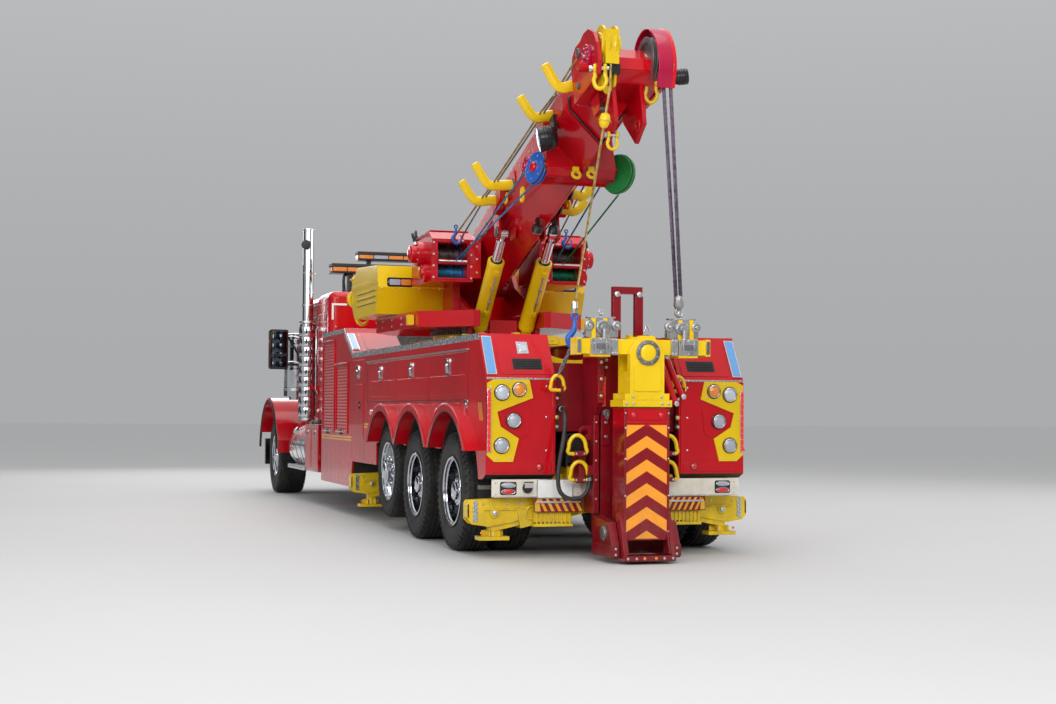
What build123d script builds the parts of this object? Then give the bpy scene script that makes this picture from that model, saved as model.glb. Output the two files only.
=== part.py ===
from build123d import *
import math
import os

os.makedirs("parts", exist_ok=True)

# ---------------------------------------------------------------------------
# Heavy sliding-rotator tow truck.  Millimetres, +X forward, +Y left, +Z up.
# Stations below are measured forward from the tail face of the body; XC moves
# the origin to the middle of the overall length, on the ground.
# ---------------------------------------------------------------------------
TAIL_X = -725.0            # rearmost face (folded underlift)
NOSE_X = 12160.0           # front face of the bumper
XC = 0.5 * (TAIL_X + NOSE_X)

BODY_HALF = 1170.0         # half width of the body sides
FLARE_HALF = 1290.0        # half width over the arch flares and fenders
BODY_TOP = 1887.0

# wheel stations: x, hub z, tyre radius
FRONT_X, FRONT_Z, FRONT_R = 11290.0, 555.0, 555.0
PUSH_X, PUSH_Z, PUSH_R = 3560.0, 600.0, 480.0
DRIVE2_X, DRIVE1_X, DRIVE_Z, DRIVE_R = 2262.0, 882.0, 520.0, 520.0
RIM_R = 300.0
SPINDLE_R, BORE_R = 45.0, 45.05
KINGPIN_Y = 860.0

# frame
RAIL_OUT, RAIL_IN, RAIL_Z0, RAIL_Z1 = 430.0, 345.0, 760.0, 1040.0

# turret and boom
SLEW_X = 4150.0
BOOM_DEG = 18.7
PIVOT_X, PIVOT_Z = 4450.0, 2560.0
BOOM_LEN = 4150.0          # pivot to the base section's collar
CYL_Y = 256.0
CYL_FOOT = (3470.0, 2075.0)
BARREL_END = 948.0         # foot pin to gland

# underlift
FOLD_X, FOLD_Z = -520.0, 240.0

# outriggers
LEG_DEG = 12.0


# ------------------------------ helpers ------------------------------------
def block(x0, x1, y0, y1, z0, z1, mode=Mode.ADD):
    with Locations((0.5 * (x0 + x1) - XC, 0.5 * (y0 + y1), 0.5 * (z0 + z1))):
        Box(x1 - x0, y1 - y0, z1 - z0, mode=mode)


def side_plate(points, y0, y1, mode=Mode.ADD):
    # points are (station x, z); the plate spans y0 to y1
    with BuildSketch(Plane(origin=(-XC, y1, 0), x_dir=(1, 0, 0), z_dir=(0, -1, 0))) as profile:
        with BuildLine():
            Polyline(*points, close=True)
        make_face()
    extrude(profile.sketch, amount=y1 - y0, mode=mode)


def plan_plate(points, z0, z1, mode=Mode.ADD):
    # points are (station x, y)
    with BuildSketch(Plane(origin=(-XC, 0, z0), x_dir=(1, 0, 0), z_dir=(0, 0, 1))) as profile:
        with BuildLine():
            Polyline(*points, close=True)
        make_face()
    extrude(profile.sketch, amount=z1 - z0, mode=mode)


def cross_plate(points, x0, x1, mode=Mode.ADD):
    # points are (y, z)
    with BuildSketch(Plane(origin=(x0 - XC, 0, 0), x_dir=(0, 1, 0), z_dir=(1, 0, 0))) as profile:
        with BuildLine():
            Polyline(*points, close=True)
        make_face()
    extrude(profile.sketch, amount=x1 - x0, mode=mode)


def rod_y(x, z, r, y0, y1, mode=Mode.ADD):
    with Locations(Location((x - XC, 0.5 * (y0 + y1), z), (90, 0, 0))):
        Cylinder(r, y1 - y0, mode=mode)


def rod_x(y, z, r, x0, x1, mode=Mode.ADD):
    with Locations(Location((0.5 * (x0 + x1) - XC, y, z), (0, 90, 0))):
        Cylinder(r, x1 - x0, mode=mode)


def rod_z(x, y, r, z0, z1, mode=Mode.ADD):
    with Locations((x - XC, y, 0.5 * (z0 + z1))):
        Cylinder(r, z1 - z0, mode=mode)


def bar(a, b, r, mode=Mode.ADD):
    # round bar between two (station x, y, z) points
    va = Vector(a[0] - XC, a[1], a[2])
    vb = Vector(b[0] - XC, b[1], b[2])
    with BuildSketch(Plane(origin=va, z_dir=vb - va)) as profile:
        Circle(r)
    extrude(profile.sketch, amount=(vb - va).length, mode=mode)


def ends(s, a, b):
    # a y-interval mirrored to side s, in rising order
    return (a, b) if s > 0 else (-b, -a)


def finish(builder, name):
    builder.part.label = name
    export_step(builder.part, "parts/" + name + ".step")


# ------------------------------ chassis -------------------------------------
with BuildPart() as frame_rails:
    for s in (1, -1):
        y0, y1 = ends(s, RAIL_IN, RAIL_OUT)
        block(62, 11920, y0, y1, RAIL_Z0, RAIL_Z1)
        block(62, 11920, *ends(s, RAIL_IN - 10, RAIL_OUT - 12), RAIL_Z0 + 12, RAIL_Z1 - 12, mode=Mode.SUBTRACT)
    # crossmember stations along the rails
    for x in (110, 1500, 2900, 4500, 5800, 7200, 8650, 11850):
        block(x - 40, x + 40, -RAIL_OUT + 6, RAIL_OUT - 6, RAIL_Z0 + 30, RAIL_Z1 - 30)
    # spring and axle hangers: station x, drop z
    for x, z in ((DRIVE1_X, 600), (DRIVE2_X, 600), (PUSH_X, 680)):
        for s in (1, -1):
            block(x - 90, x + 90, *ends(s, 360, 420), z, RAIL_Z0 + 20)
    for s in (1, -1):
        block(FRONT_X - 620, FRONT_X + 560, *ends(s, 350, 420), 520, 560)
        block(FRONT_X - 620, FRONT_X - 560, *ends(s, 350, 420), 540, RAIL_Z0 + 20)
        block(FRONT_X + 500, FRONT_X + 560, *ends(s, 350, 420), 540, RAIL_Z0 + 20)
finish(frame_rails, "frame_rails")

with BuildPart() as axle_beams:
    # front drop beam with kingpin eyes
    block(FRONT_X - 50, FRONT_X + 50, -700, 700, 400, 515)
    for s in (1, -1):
        block(FRONT_X - 45, FRONT_X + 45, *ends(s, 690, 860), 470, 640)
        rod_z(FRONT_X, s * KINGPIN_Y, 62, 470, 640)
        rod_z(FRONT_X, s * KINGPIN_Y, 28.05, 460, 650, mode=Mode.SUBTRACT)
    # steerable lift axle: straight beam with fixed spindles
    rod_y(PUSH_X, PUSH_Z, 62, -760, 760)
    rod_y(PUSH_X, PUSH_Z, SPINDLE_R, -1130, 1130)
    for s in (1, -1):
        block(PUSH_X - 60, PUSH_X + 60, *ends(s, 350, 430), PUSH_Z, 680)
    # drive axles: banjo housing, tube and spindles
    for x in (DRIVE1_X, DRIVE2_X):
        rod_y(x, DRIVE_Z, 78, -590, 590)
        rod_y(x, DRIVE_Z, SPINDLE_R, -1150, 1150)
        rod_x(0, DRIVE_Z, 190, x - 150, x + 150)
        rod_x(0, DRIVE_Z + 30, 70, x - 220, x + 260)
        for s in (1, -1):
            rod_y(x, DRIVE_Z, 200, *ends(s, 560, 850))
finish(axle_beams, "axle_beams")

with BuildPart() as engine_block:
    block(10150, 11650, -330, 330, 760, 1480)
    block(9000, 10150, -240, 240, 800, 1080)
    fillet(engine_block.edges().filter_by(Axis.X), 40)
finish(engine_block, "engine_block")


# ------------------------------ wheels --------------------------------------
def tyre(x, z, r, yc, width, bead=RIM_R):
    h = 0.5 * width
    with BuildSketch(Plane(origin=(x - XC, 0, z), x_dir=(0, 1, 0), z_dir=(1, 0, 0))) as profile:
        with BuildLine():
            Polyline((yc - h + 25, bead), (yc - h, bead + 70), (yc - h + 4, r - 40), (yc - h + 34, r - 6),
                     (yc - h + 60, r), (yc + h - 60, r), (yc + h - 34, r - 6), (yc + h - 4, r - 40),
                     (yc + h, bead + 70), (yc + h - 25, bead), close=True)
        make_face()
    revolve(profile.sketch, axis=Axis((x - XC, 0, z), (0, 1, 0)))


def rim(x, z, y0, y1, disc_y, hub_y0, hub_y1, side):
    # barrel open at both ends, a disc with hand holes and a bored hub
    rod_y(x, z, RIM_R, y0, y1)
    rod_y(x, z, RIM_R - 16, y0 - 5, y1 + 5, mode=Mode.SUBTRACT)
    rod_y(x, z, RIM_R - 10, disc_y - 16, disc_y + 16)
    rod_y(x, z, 120, hub_y0, hub_y1)
    with Locations(*[Location((x - XC + 205 * math.cos(math.radians(36 * i)), disc_y,
                               z + 205 * math.sin(math.radians(36 * i))), (90, 0, 0)) for i in range(10)]):
        Cylinder(32, 60, mode=Mode.SUBTRACT)
    rod_y(x, z, BORE_R, min(hub_y0, disc_y) - 40, max(hub_y1, disc_y) + 40, mode=Mode.SUBTRACT)


# name, station x, hub z, tyre radius, tyre centres, tyre width, rim span, disc y, hub span
WHEELS = (
    ("front_wheel", "front_tyre", FRONT_X, FRONT_Z, FRONT_R, (990,), 400, (805, 1175), 1080, (975, 1150)),
    ("lift_wheel", "lift_tyre", PUSH_X, PUSH_Z, PUSH_R, (1070,), 270, (945, 1195), 1120, (900, 1215)),
    ("mid_wheels", "mid_tyres", DRIVE2_X, DRIVE_Z, DRIVE_R, (744, 1084), 280, (610, 1218), 914, (870, 1165)),
    ("rear_wheels", "rear_tyres", DRIVE1_X, DRIVE_Z, DRIVE_R, (744, 1084), 280, (610, 1218), 914, (870, 1165)),
)
for side, s in (("left", 1), ("right", -1)):
    for rim_name, tyre_name, x, z, r, centres, width, span, disc_y, hub in WHEELS:
        with BuildPart() as wheel:
            rim(x, z, *ends(s, *span), s * disc_y, *ends(s, *hub), s)
        finish(wheel, rim_name + "_" + side)
        with BuildPart() as tyres:
            for c in centres:
                tyre(x, z, r, s * c, width)
        finish(tyres, tyre_name + "_" + side)

    # steering knuckle: yoke over the kingpin eye, kingpin and spindle
    with BuildPart() as knuckle:
        block(FRONT_X - 48, FRONT_X + 48, *ends(s, 815, 945), 646, 700)
        block(FRONT_X - 48, FRONT_X + 48, *ends(s, 815, 945), 410, 464)
        block(FRONT_X - 60, FRONT_X + 60, *ends(s, 928, 965), 410, 700)
        rod_z(FRONT_X, s * KINGPIN_Y, 28, 400, 712)
        rod_y(FRONT_X, FRONT_Z, SPINDLE_R, *ends(s, 950, 1135))
    finish(knuckle, "knuckle_" + side)


# ------------------------------ cab -----------------------------------------
CAB_HALF, SLEEP_HALF = 1000.0, 1060.0
CAB_FLOOR = 1100.0
DOOR = ((8850, 1150), (8850, 2590), (9520, 2590), (9850, 1960), (9850, 1150))


def inset(points, d):
    # shrink a convex profile about its middle by a clear margin d
    cx = sum(p[0] for p in points) / len(points)
    cz = sum(p[1] for p in points) / len(points)
    out = []
    for px, pz in points:
        out.append((px + (d if px < cx else -d), pz + (d if pz < cz else -d)))
    return out


CAB_SIDE = ((8500, CAB_FLOOR), (8500, 2700), (8640, 2760), (9430, 2760), (9600, 2690), (9960, 1960), (10060, 1900),
            (10060, CAB_FLOOR))
CAB_IN = ((8400, CAB_FLOOR + 50), (8400, 2660), (8660, 2710), (9410, 2710), (9555, 2660), (9905, 1935), (10010, 1860),
          (10010, CAB_FLOOR + 50))

with BuildPart() as cab_shell:
    side_plate(CAB_SIDE, -CAB_HALF, CAB_HALF)
    fillet(cab_shell.edges().group_by(Axis.Z)[-1].filter_by(Axis.X), 90)
    with BuildPart(mode=Mode.PRIVATE) as sleeper:
        block(7650, 8560, -SLEEP_HALF, SLEEP_HALF, CAB_FLOOR, 2760)
        fillet(sleeper.edges().filter_by(Axis.Z), 110)
        fillet(sleeper.faces().sort_by(Axis.Z)[-1].edges(), 90)
    add(sleeper.part)
    side_plate(CAB_IN, -CAB_HALF + 50, CAB_HALF - 50, mode=Mode.SUBTRACT)
    block(7700, 8511, -SLEEP_HALF + 50, SLEEP_HALF - 50, CAB_FLOOR + 50, 2655, mode=Mode.SUBTRACT)
    block(8500, 8700, -CAB_HALF + 50, CAB_HALF - 50, CAB_FLOOR + 50, 2655, mode=Mode.SUBTRACT)
    # door openings right through both sides
    side_plate(DOOR, -1100, -CAB_HALF + 60, mode=Mode.SUBTRACT)
    side_plate(DOOR, CAB_HALF - 60, 1100, mode=Mode.SUBTRACT)
    # two-pane windscreen opening
    for s in (1, -1):
        y0, y1 = ends(s, 35, 860)
        side_plate(((9560, 2610), (9780, 2610), (10000, 2040), (9780, 2040)), y0, y1, mode=Mode.SUBTRACT)
    # rear window of the sleeper
    block(7600, 7720, -330, 330, 2080, 2420, mode=Mode.SUBTRACT)
    # dashboard and steering column
    side_plate(((9640, 1760), (9640, 1960), (9700, 2000), (9890, 2000), (10020, 1860), (10020, 1700)), -945, 945)
    wheel_hub = (9590, 480, 1930)
    bar((9740, 480, 1828), (9576, 480, 1940), 22)
    bar((9602, 480, 1922), (9574, 480, 1941), 55)
    with Locations(Location((wheel_hub[0] - XC, wheel_hub[1], wheel_hub[2]), (0, -55.7, 0))):
        Torus(205, 15)
    for a in (90, 210, 330):
        ca, sa = math.cos(math.radians(a)), math.sin(math.radians(a))
        bar(wheel_hub, (wheel_hub[0] + 205 * 0.563 * sa, wheel_hub[1] + 205 * ca, wheel_hub[2] + 205 * 0.826 * sa), 11)
    # cab mounts down to the frame rails
    for x in (7900, 9000, 9950):
        for s in (1, -1):
            block(x - 60, x + 60, *ends(s, 350, 425), RAIL_Z1, CAB_FLOOR + 10)
finish(cab_shell, "cab_shell")

with BuildPart() as cab_glass:
    for s in (1, -1):
        y0, y1 = ends(s, 40, 855)
        side_plate(((9613, 2598), (9622, 2602), (9897, 2045), (9888, 2041)), y0, y1)
    block(7668, 7676, -328, 328, 2082, 2418)
finish(cab_glass, "cab_glass")

# two seats: cushion and backrest blocks on a pedestal height
with BuildPart() as seats:
    for s in (1, -1):
        block(8880, 9420, *ends(s, 230, 730), 1330, 1520)
        block(8760, 8878, *ends(s, 240, 720), 1400, 2230)
        block(8960, 9340, *ends(s, 320, 640), CAB_FLOOR + 51, 1329)
finish(seats, "seats")

for side, s in (("left", 1), ("right", -1)):
    with BuildPart() as door:
        y0, y1 = ends(s, CAB_HALF - 48, CAB_HALF + 4)
        side_plate(inset(DOOR, 7), y0, y1)
        side_plate(((8950, 1930), (8950, 2500), (9480, 2500), (9760, 1930)), *ends(s, 900, 1100), mode=Mode.SUBTRACT)
        side_plate(((8954, 1934), (8954, 2496), (9478, 2496), (9753, 1934)), *ends(s, CAB_HALF - 30, CAB_HALF - 24))
        side_plate(((8944, 1925), (8944, 2506), (9486, 2506), (9768, 1925)), *ends(s, CAB_HALF - 31, CAB_HALF - 23))
        # hinge barrels on the front edge
        for z in (1320, 1760):
            rod_z(9842, s * (CAB_HALF + 13), 12, z, z + 90)
    finish(door, "cab_door_" + side)

# long hood: hollow shell with domed nose, arched fenders and lamp pods
with BuildPart() as hood:
    # hood shell as a lofted box: rear section then nose section
    with BuildSketch(Plane(origin=(10085 - XC, 0, 1410), x_dir=(0, 1, 0), z_dir=(1, 0, 0))):
        RectangleRounded(1660, 1000, 150)
    with BuildSketch(Plane(origin=(11960 - XC, 0, 1320), x_dir=(0, 1, 0), z_dir=(1, 0, 0))):
        RectangleRounded(1120, 1060, 130)
    loft()
    with BuildSketch(Plane(origin=(10080 - XC, 0, 1390), x_dir=(0, 1, 0), z_dir=(1, 0, 0))):
        RectangleRounded(1580, 960, 115)
    with BuildSketch(Plane(origin=(11965 - XC, 0, 1300), x_dir=(0, 1, 0), z_dir=(1, 0, 0))):
        RectangleRounded(1040, 1020, 95)
    loft(mode=Mode.SUBTRACT)
    # open underneath, with the hood side cut back over the steered wheels
    block(10000, 12100, -1000, 1000, 700, 1020, mode=Mode.SUBTRACT)
    block(10640, 11900, -1000, 1000, 1000, 1150, mode=Mode.SUBTRACT)
    for s in (1, -1):
        y0, y1 = ends(s, 520, FLARE_HALF)
        with BuildSketch(Plane(origin=(FRONT_X - XC, y1, FRONT_Z), x_dir=(1, 0, 0), z_dir=(0, -1, 0))):
            with BuildLine():
                l1 = Polyline((660, 330), (700, 330), (715, 420))
                l2 = ThreePointArc((715, 420), (0, 850), (-800, 480))
                l3 = Polyline((-800, 480), (-960, 240), (-960, 60), (-925, 60), (-925, 225), (-755, 455))
                l4 = ThreePointArc((-755, 455), (-30, 800), (660, 400))
                l5 = Line((660, 400), (660, 330))
            make_face()
        extrude(amount=y1 - y0)
        # keep the fender outboard of the hood side, closed by the hood shell
        plan_plate(((10080, s * 520), (10080, s * 785), (11970, s * 515), (11970, s * 510)), 500, 1021, mode=Mode.SUBTRACT)
        plan_plate(((10060, s * 300), (10060, s * 786), (11965, s * 519), (11965, s * 300)), 1019, 1800, mode=Mode.SUBTRACT)
        # lamp pod at the fender front
        block(11860, 12010, *ends(s, 640, 1080), 960, 1240)
    # hinge arms down from the nose panel
    for s in (1, -1):
        side_plate(((11932, 1030), (11932, 960), (11965, 808), (11995, 808), (11995, 840), (11958, 1030)), *ends(s, 300, 330))
        rod_y(11980, 820, 12, *ends(s, 290, 340))
    # nose panel with the grille opening
    block(11930, 11960, -530, 530, 1021, 1822)
    block(11900, 12100, -420, 420, 1060, 1720, mode=Mode.SUBTRACT)
    # grille: frame, bars
    block(11930, 11975, -430, 430, 1050, 1080)
    block(11930, 11975, -430, 430, 1700, 1730)
    for i in range(13):
        y = -360 + 60 * i
        block(11938, 11962, y - 9, y + 9, 1070, 1710)
finish(hood, "hood")

with BuildPart() as front_bumper:
    plan_plate(((11985, -1230), (11985, 1230), (12060, 1230), (NOSE_X, 1000), (NOSE_X, -1000), (12060, -1230)), 400, 790)
    plan_plate(((11960, -1220), (11960, 1220), (12040, 1215), (12125, 990), (12125, -990), (12040, -1215)), 420, 770,
               mode=Mode.SUBTRACT)
    for s in (1, -1):
        block(11921, 12128, *ends(s, 350, 425), 640, 780)
        block(12040, 12128, *ends(s, 350, 425), 500, 700)
finish(front_bumper, "front_bumper")

with BuildPart() as fuel_tanks:
    for s in (1, -1):
        rod_x(s * 880, 720, 300, 8780, 10040)
        block(7720, 8680, *ends(s, 560, 1180), 430, 1040)
        side_plate(((8700, 420), (8700, 470), (10050, 470), (10050, 420)), *ends(s, 700, 1190))
        for x in (8900, 9850):
            block(x - 30, x + 30, *ends(s, 436, 700), 560, 1000)
        block(8000, 8060, *ends(s, 436, 600), 700, 1000)
finish(fuel_tanks, "fuel_tanks")

with BuildPart() as exhaust_and_intake:
    for s in (1, -1):
        # stack: muffler, tail pipe with turned-out tip, brackets to the cab corner
        rod_z(8740, s * 1155, 105, 1080, 2380)
        rod_z(8740, s * 1155, 72, 2370, 3660)
        block(8690, 8750, *ends(s, 1000, 1080), 1500, 1560)
        block(8690, 8750, *ends(s, 1000, 1080), 2280, 2340)
        # air cleaner canister on the cowl side with its inlet cap and bracket
        rod_z(10240, s * 1055, 175, 1420, 2230)
        rod_z(10240, s * 1055, 130, 2220, 2310)
        rod_z(10240, s * 1055, 100, 1370, 1430)
        block(10060, 10130, *ends(s, 870, 1000), 1560, 1610)
        block(10060, 10130, *ends(s, 870, 1000), 1820, 1870)
finish(exhaust_and_intake, "exhaust_and_intake")

with BuildPart() as mirrors:
    for s in (1, -1):
        block(9925, 10010, *ends(s, 1225, 1490), 1800, 2360)
        fillet([e for e in mirrors.edges().filter_by(Axis.X) if e.center().Y * s > 1200], 30)
        for z in (1870, 2290):
            bar((9985, s * 1012, z if z < 2000 else 1910), (9985, s * 1235, z), 14)
finish(mirrors, "mirrors")

with BuildPart() as light_bars:
    block(8060, 8300, -950, 950, 3030, 3150)
    block(8090, 8270, -600, 600, 3210, 3320)
    for y in (-700, 700):
        block(8120, 8240, y - 30, y + 30, 2760, 3040)
    for y in (-450, 450):
        block(8140, 8220, y - 25, y + 25, 3140, 3220)
finish(light_bars, "light_bars")


# ------------------------------ wrecker body ---------------------------------
# side panel outline: tail, sloped rear corner, top, step-up, tall locker
BODY_SIDE = ((-30, 700), (-30, 1500), (210, BODY_TOP), (5420, BODY_TOP), (5570, BODY_TOP), (6050, 2150), (6100, 2200),
             (7540, 2200), (7540, 340), (5640, 340), (5560, 640), (420, 640), (60, 660))
COMP = (560, 4730, 1350, 1722)          # side compartment: x0, x1, z0, z1
FLARE_R, FLARE_Z = 775.0, 372.0
FLARE_END = math.sqrt(FLARE_R ** 2 - FLARE_Z ** 2)
for side, s in (("left", 1), ("right", -1)):
    with BuildPart() as body:
        side_plate(BODY_SIDE, *ends(s, 560, BODY_HALF))
        # arch flares standing out from the side
        y0, y1 = ends(s, BODY_HALF - 40, FLARE_HALF)
        for x in (DRIVE1_X, DRIVE2_X, PUSH_X):
            with BuildSketch(Plane(origin=(x - XC, y1, DRIVE_Z), x_dir=(1, 0, 0), z_dir=(0, -1, 0))):
                with BuildLine():
                    ThreePointArc((-FLARE_END, FLARE_Z), (0, FLARE_R), (FLARE_END, FLARE_Z))
                    Line((FLARE_END, FLARE_Z), (-FLARE_END, FLARE_Z))
                make_face()
            extrude(amount=y1 - y0)
        # wheel arches, open to the ground
        for x, z in ((DRIVE1_X, DRIVE_Z), (DRIVE2_X, DRIVE_Z), (PUSH_X, DRIVE_Z)):
            rod_y(x, z, 700, *ends(s, 500, 1400), mode=Mode.SUBTRACT)
            block(x - 700, x + 700, *ends(s, 500, 1400), 300, z, mode=Mode.SUBTRACT)
        block(DRIVE1_X, PUSH_X + 690, *ends(s, 500, 1400), 300, 880, mode=Mode.SUBTRACT)
        # side compartment behind the long door, hollow lockers behind the shutters
        block(COMP[0], COMP[1], *ends(s, 760, 1300), COMP[2], COMP[3], mode=Mode.SUBTRACT)
        block(COMP[0] - 30, COMP[1] + 30, *ends(s, BODY_HALF - 34, 1300), COMP[2] - 30, COMP[3] + 30, mode=Mode.SUBTRACT)
        block(5850, 6560, *ends(s, 500, 1140), 480, 1800, mode=Mode.SUBTRACT)
        block(6680, 7440, *ends(s, 500, 1140), 480, 2080, mode=Mode.SUBTRACT)
        block(300, 5500, *ends(s, 500, 730), 1500, 1850, mode=Mode.SUBTRACT)
        # mounting feet onto the subframe
        for x in (700, 2000, 4000, 5200, 5740, 6620, 7490):
            block(x - 50, x + 50, *ends(s, 431, 570), 1400, 1480)
    finish(body, "body_" + side)

    with BuildPart() as side_door:
        y0, y1 = ends(s, BODY_HALF - 30, BODY_HALF - 2)
        block(COMP[0] - 24, COMP[1] + 24, y0, y1, COMP[2] - 24, COMP[3] + 24)
        rod_x(s * (BODY_HALF - 2), COMP[3] + 24, 5, COMP[0] - 10, COMP[1] + 10)
        for x in (1210, 2640, 4060):
            block(x - 45, x + 45, *ends(s, BODY_HALF - 4, BODY_HALF + 8), 1560, 1690)
    finish(side_door, "side_door_" + side)

with BuildPart() as deck:
    # deck plate, its side webs on the frame, and the two slide rails
    block(180, 7500, -555, 555, 1500, 1530)
    for s in (1, -1):
        block(180, 7500, *ends(s, 400, 430), RAIL_Z1, 1500)
        block(900, 6100, *ends(s, 440, 540), 1530, 1880)
        block(900, 6100, *ends(s, 400, 560), 1880, 1900)
    for x in (300, 3000, 5700, 7400):
        block(x - 20, x + 20, -400, 400, RAIL_Z1 + 10, 1505)
    # tail bulkhead with the hose gland
    block(60, 160, -555, 555, 1060, 1640)
    rod_x(505, 1250, 34, 30, 62)
finish(deck, "deck")

with BuildPart() as rear_bumper:
    for s in (1, -1):
        block(-70, 15, *ends(s, 330, 1105), 512, 660)
        block(-60, 0, *ends(s, 290, 335), 540, 640)
        # stepped tread below
        block(-60, 15, *ends(s, 330, 620), 420, 500)
        block(-20, 15, *ends(s, 340, 600), 498, 515)
finish(rear_bumper, "rear_bumper")

GUIDE_X = -228.0
with BuildPart() as underlift_guides:
    for s in (1, -1):
        side_plate(((GUIDE_X, 380), (GUIDE_X, 1200), (-330, 1300), (-330, 1700), (-200, 1860), (60, 1860), (60, 760),
                    (20, 760), (20, 380)), *ends(s, 240, 290))
        # tie-down lug with an eye, beside the guides
        cross_plate(((s * 290, 990), (s * 290, 1110), (s * 350, 1110), (s * 395, 1080), (s * 395, 1020), (s * 350, 990)),
                    -160, -130)
        rod_x(s * 345, 1050, 30, -200, -100, mode=Mode.SUBTRACT)
    block(30, 60, -245, 245, 760, 1500)
    # gland block that holds the hose's lower end
    block(-225, -165, 290, 335, 700, 780)
finish(underlift_guides, "underlift_guides")

# hose: free loop from the bulkhead gland down to the guide gland
HOSE_R = 18.0
HOSE = ((30, 505, 1250), (-90, 505, 1250), (-175, 520, 1165), (-190, 540, 1000), (-195, 550, 790), (-195, 550, 551),
        (-195, 430, 481), (-195, 310, 551), (-195, 310, 700))
hose_points = [Vector(x - XC, y, z) for x, y, z in HOSE]
hose_runs = [(b - a).length for a, b in zip(hose_points, hose_points[1:])]
hose_radii = []
for i in range(1, len(hose_points) - 1):
    turn = (hose_points[i] - hose_points[i - 1]).get_angle(hose_points[i + 1] - hose_points[i])
    hose_radii.append(0.45 * min(hose_runs[i - 1], hose_runs[i]) / math.tan(math.radians(turn) / 2))
with BuildPart() as hydraulic_hose:
    with BuildLine() as hose_path:
        FilletPolyline(*hose_points, radius=hose_radii)
    with BuildSketch(Plane(origin=hose_points[0], z_dir=hose_points[1] - hose_points[0])):
        Circle(HOSE_R)
    sweep()
hose_len = sum(e.length for e in hose_path.edges())
print("hose radii", [round(r) for r in hose_radii], "length", round(hose_len, 1), "volume ratio",
      round(hydraulic_hose.part.volume / (math.pi * HOSE_R ** 2 * hose_len), 4))
finish(hydraulic_hose, "hydraulic_hose")


# ------------------------------ underlift ------------------------------------
with BuildPart() as underlift_mast:
    # sliding column, top loop and the knuckle frame with its fold pins
    block(-228, 10, -225, 225, 330, 1800)
    block(-200, -20, -190, 190, 420, 1810, mode=Mode.SUBTRACT)
    for s in (1, -1):
        block(-260, -200, *ends(s, 70, 130), 1700, 2280)
        side_plate(((-690, 45), (-690, 150), (-600, 330), (-240, 370), (-240, 45)), *ends(s, 230, 300))
    block(-260, -200, -130, 130, 2220, 2280)
    block(-270, -235, -300, 300, 45, 330)
    block(-250, 0, -225, 225, 200, 340)
    rod_y(FOLD_X, FOLD_Z, 40, -295, 295)
finish(underlift_mast, "underlift_mast")

ST_X0, ST_X1 = -700.0, -430.0            # stinger outer tube, fore and aft
with BuildPart() as stinger:
    block(ST_X0, ST_X1, -195, 195, 190, 1260)
    block(ST_X0 + 22, ST_X1 - 22, -173, 173, 330, 1300, mode=Mode.SUBTRACT)
    rod_y(FOLD_X, FOLD_Z, 40.05, -300, 300, mode=Mode.SUBTRACT)
    block(ST_X1 - 5, -420, -120, 120, 500, 900)
    # foot frame under the fold pin
    for s in (1, -1):
        side_plate(((-780, 25), (-780, 80), (-700, 330), (-660, 420), (-600, 420), (-590, 25)), *ends(s, 190, 224))
    block(-780, -620, -224, 224, 25, 70)
finish(stinger, "stinger")

HEAD_Z = 1760.0
FORK_BORE = 22.0
with BuildPart() as stinger_extension:
    block(ST_X0 + 30, ST_X1 - 30, -165, 165, 420, 1330)
    block(-715, -425, -215, 215, 1270, 1325)
    block(-705, -435, -195, 195, 1325, 1380)
    cross_plate(((-150, 1370), (150, 1370), (150, 1700), (60, 1850), (-60, 1850), (-150, 1700)), -705, -640)
    cross_plate(((-150, 1370), (150, 1370), (150, 1700), (60, 1850), (-60, 1850), (-150, 1700)), -480, -430)
    block(-705, -430, -150, 150, 1375, 1560)
    rod_x(0, HEAD_Z, 38, -720, -430)
    rod_x(0, HEAD_Z - 50, 105, -725, -704)
finish(stinger_extension, "stinger_extension")

with BuildPart() as crossbar:
    block(-632, -488, -585, 585, HEAD_Z - 62, HEAD_Z + 62)
    rod_x(0, HEAD_Z, 38.05, -700, -400, mode=Mode.SUBTRACT)
    for s in (1, -1):
        rod_z(-560, s * 530, FORK_BORE, HEAD_Z - 80, HEAD_Z + 80, mode=Mode.SUBTRACT)
        block(-650, -470, *ends(s, 300, 470), HEAD_Z - 85, HEAD_Z + 70)
        # pivoting fork stubs above the receivers
        for y in (330, 430):
            block(-610, -510, *ends(s, y - 18, y + 18), HEAD_Z + 60, HEAD_Z + 230)
        rod_y(-560, HEAD_Z + 180, 28, *ends(s, 300, 470))
finish(crossbar, "crossbar")

# ------------------------------ outriggers -----------------------------------
# name, station x of the leg, side, height of the leg axis over the centreline
LEGS = (
    ("front_outrigger_left", 5000.0, 1, 545.0),
    ("front_outrigger_right", 5260.0, -1, 545.0),
    ("rear_outrigger_left", 105.0, 1, 515.0),
    ("rear_outrigger_right", 265.0, -1, 515.0),
)
COS, SIN = math.cos(math.radians(LEG_DEG)), math.sin(math.radians(LEG_DEG))


for name, x, s, z in LEGS:
    with BuildPart() as leg:
        with BuildSketch(Plane(origin=(x - XC, 0, z), x_dir=(1, 0, 0), z_dir=(0, s * COS, -SIN)).offset(-560)):
            Rectangle(104, 124)
        extrude(amount=560 + 1130)
        # foot under the outer end
        block(x - 40, x + 40, *ends(s, 1020, 1110), 175, 300)
        block(x - 75, x + 75, *ends(s, 940, 1200), 150, 182)
    finish(leg, name)

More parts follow.
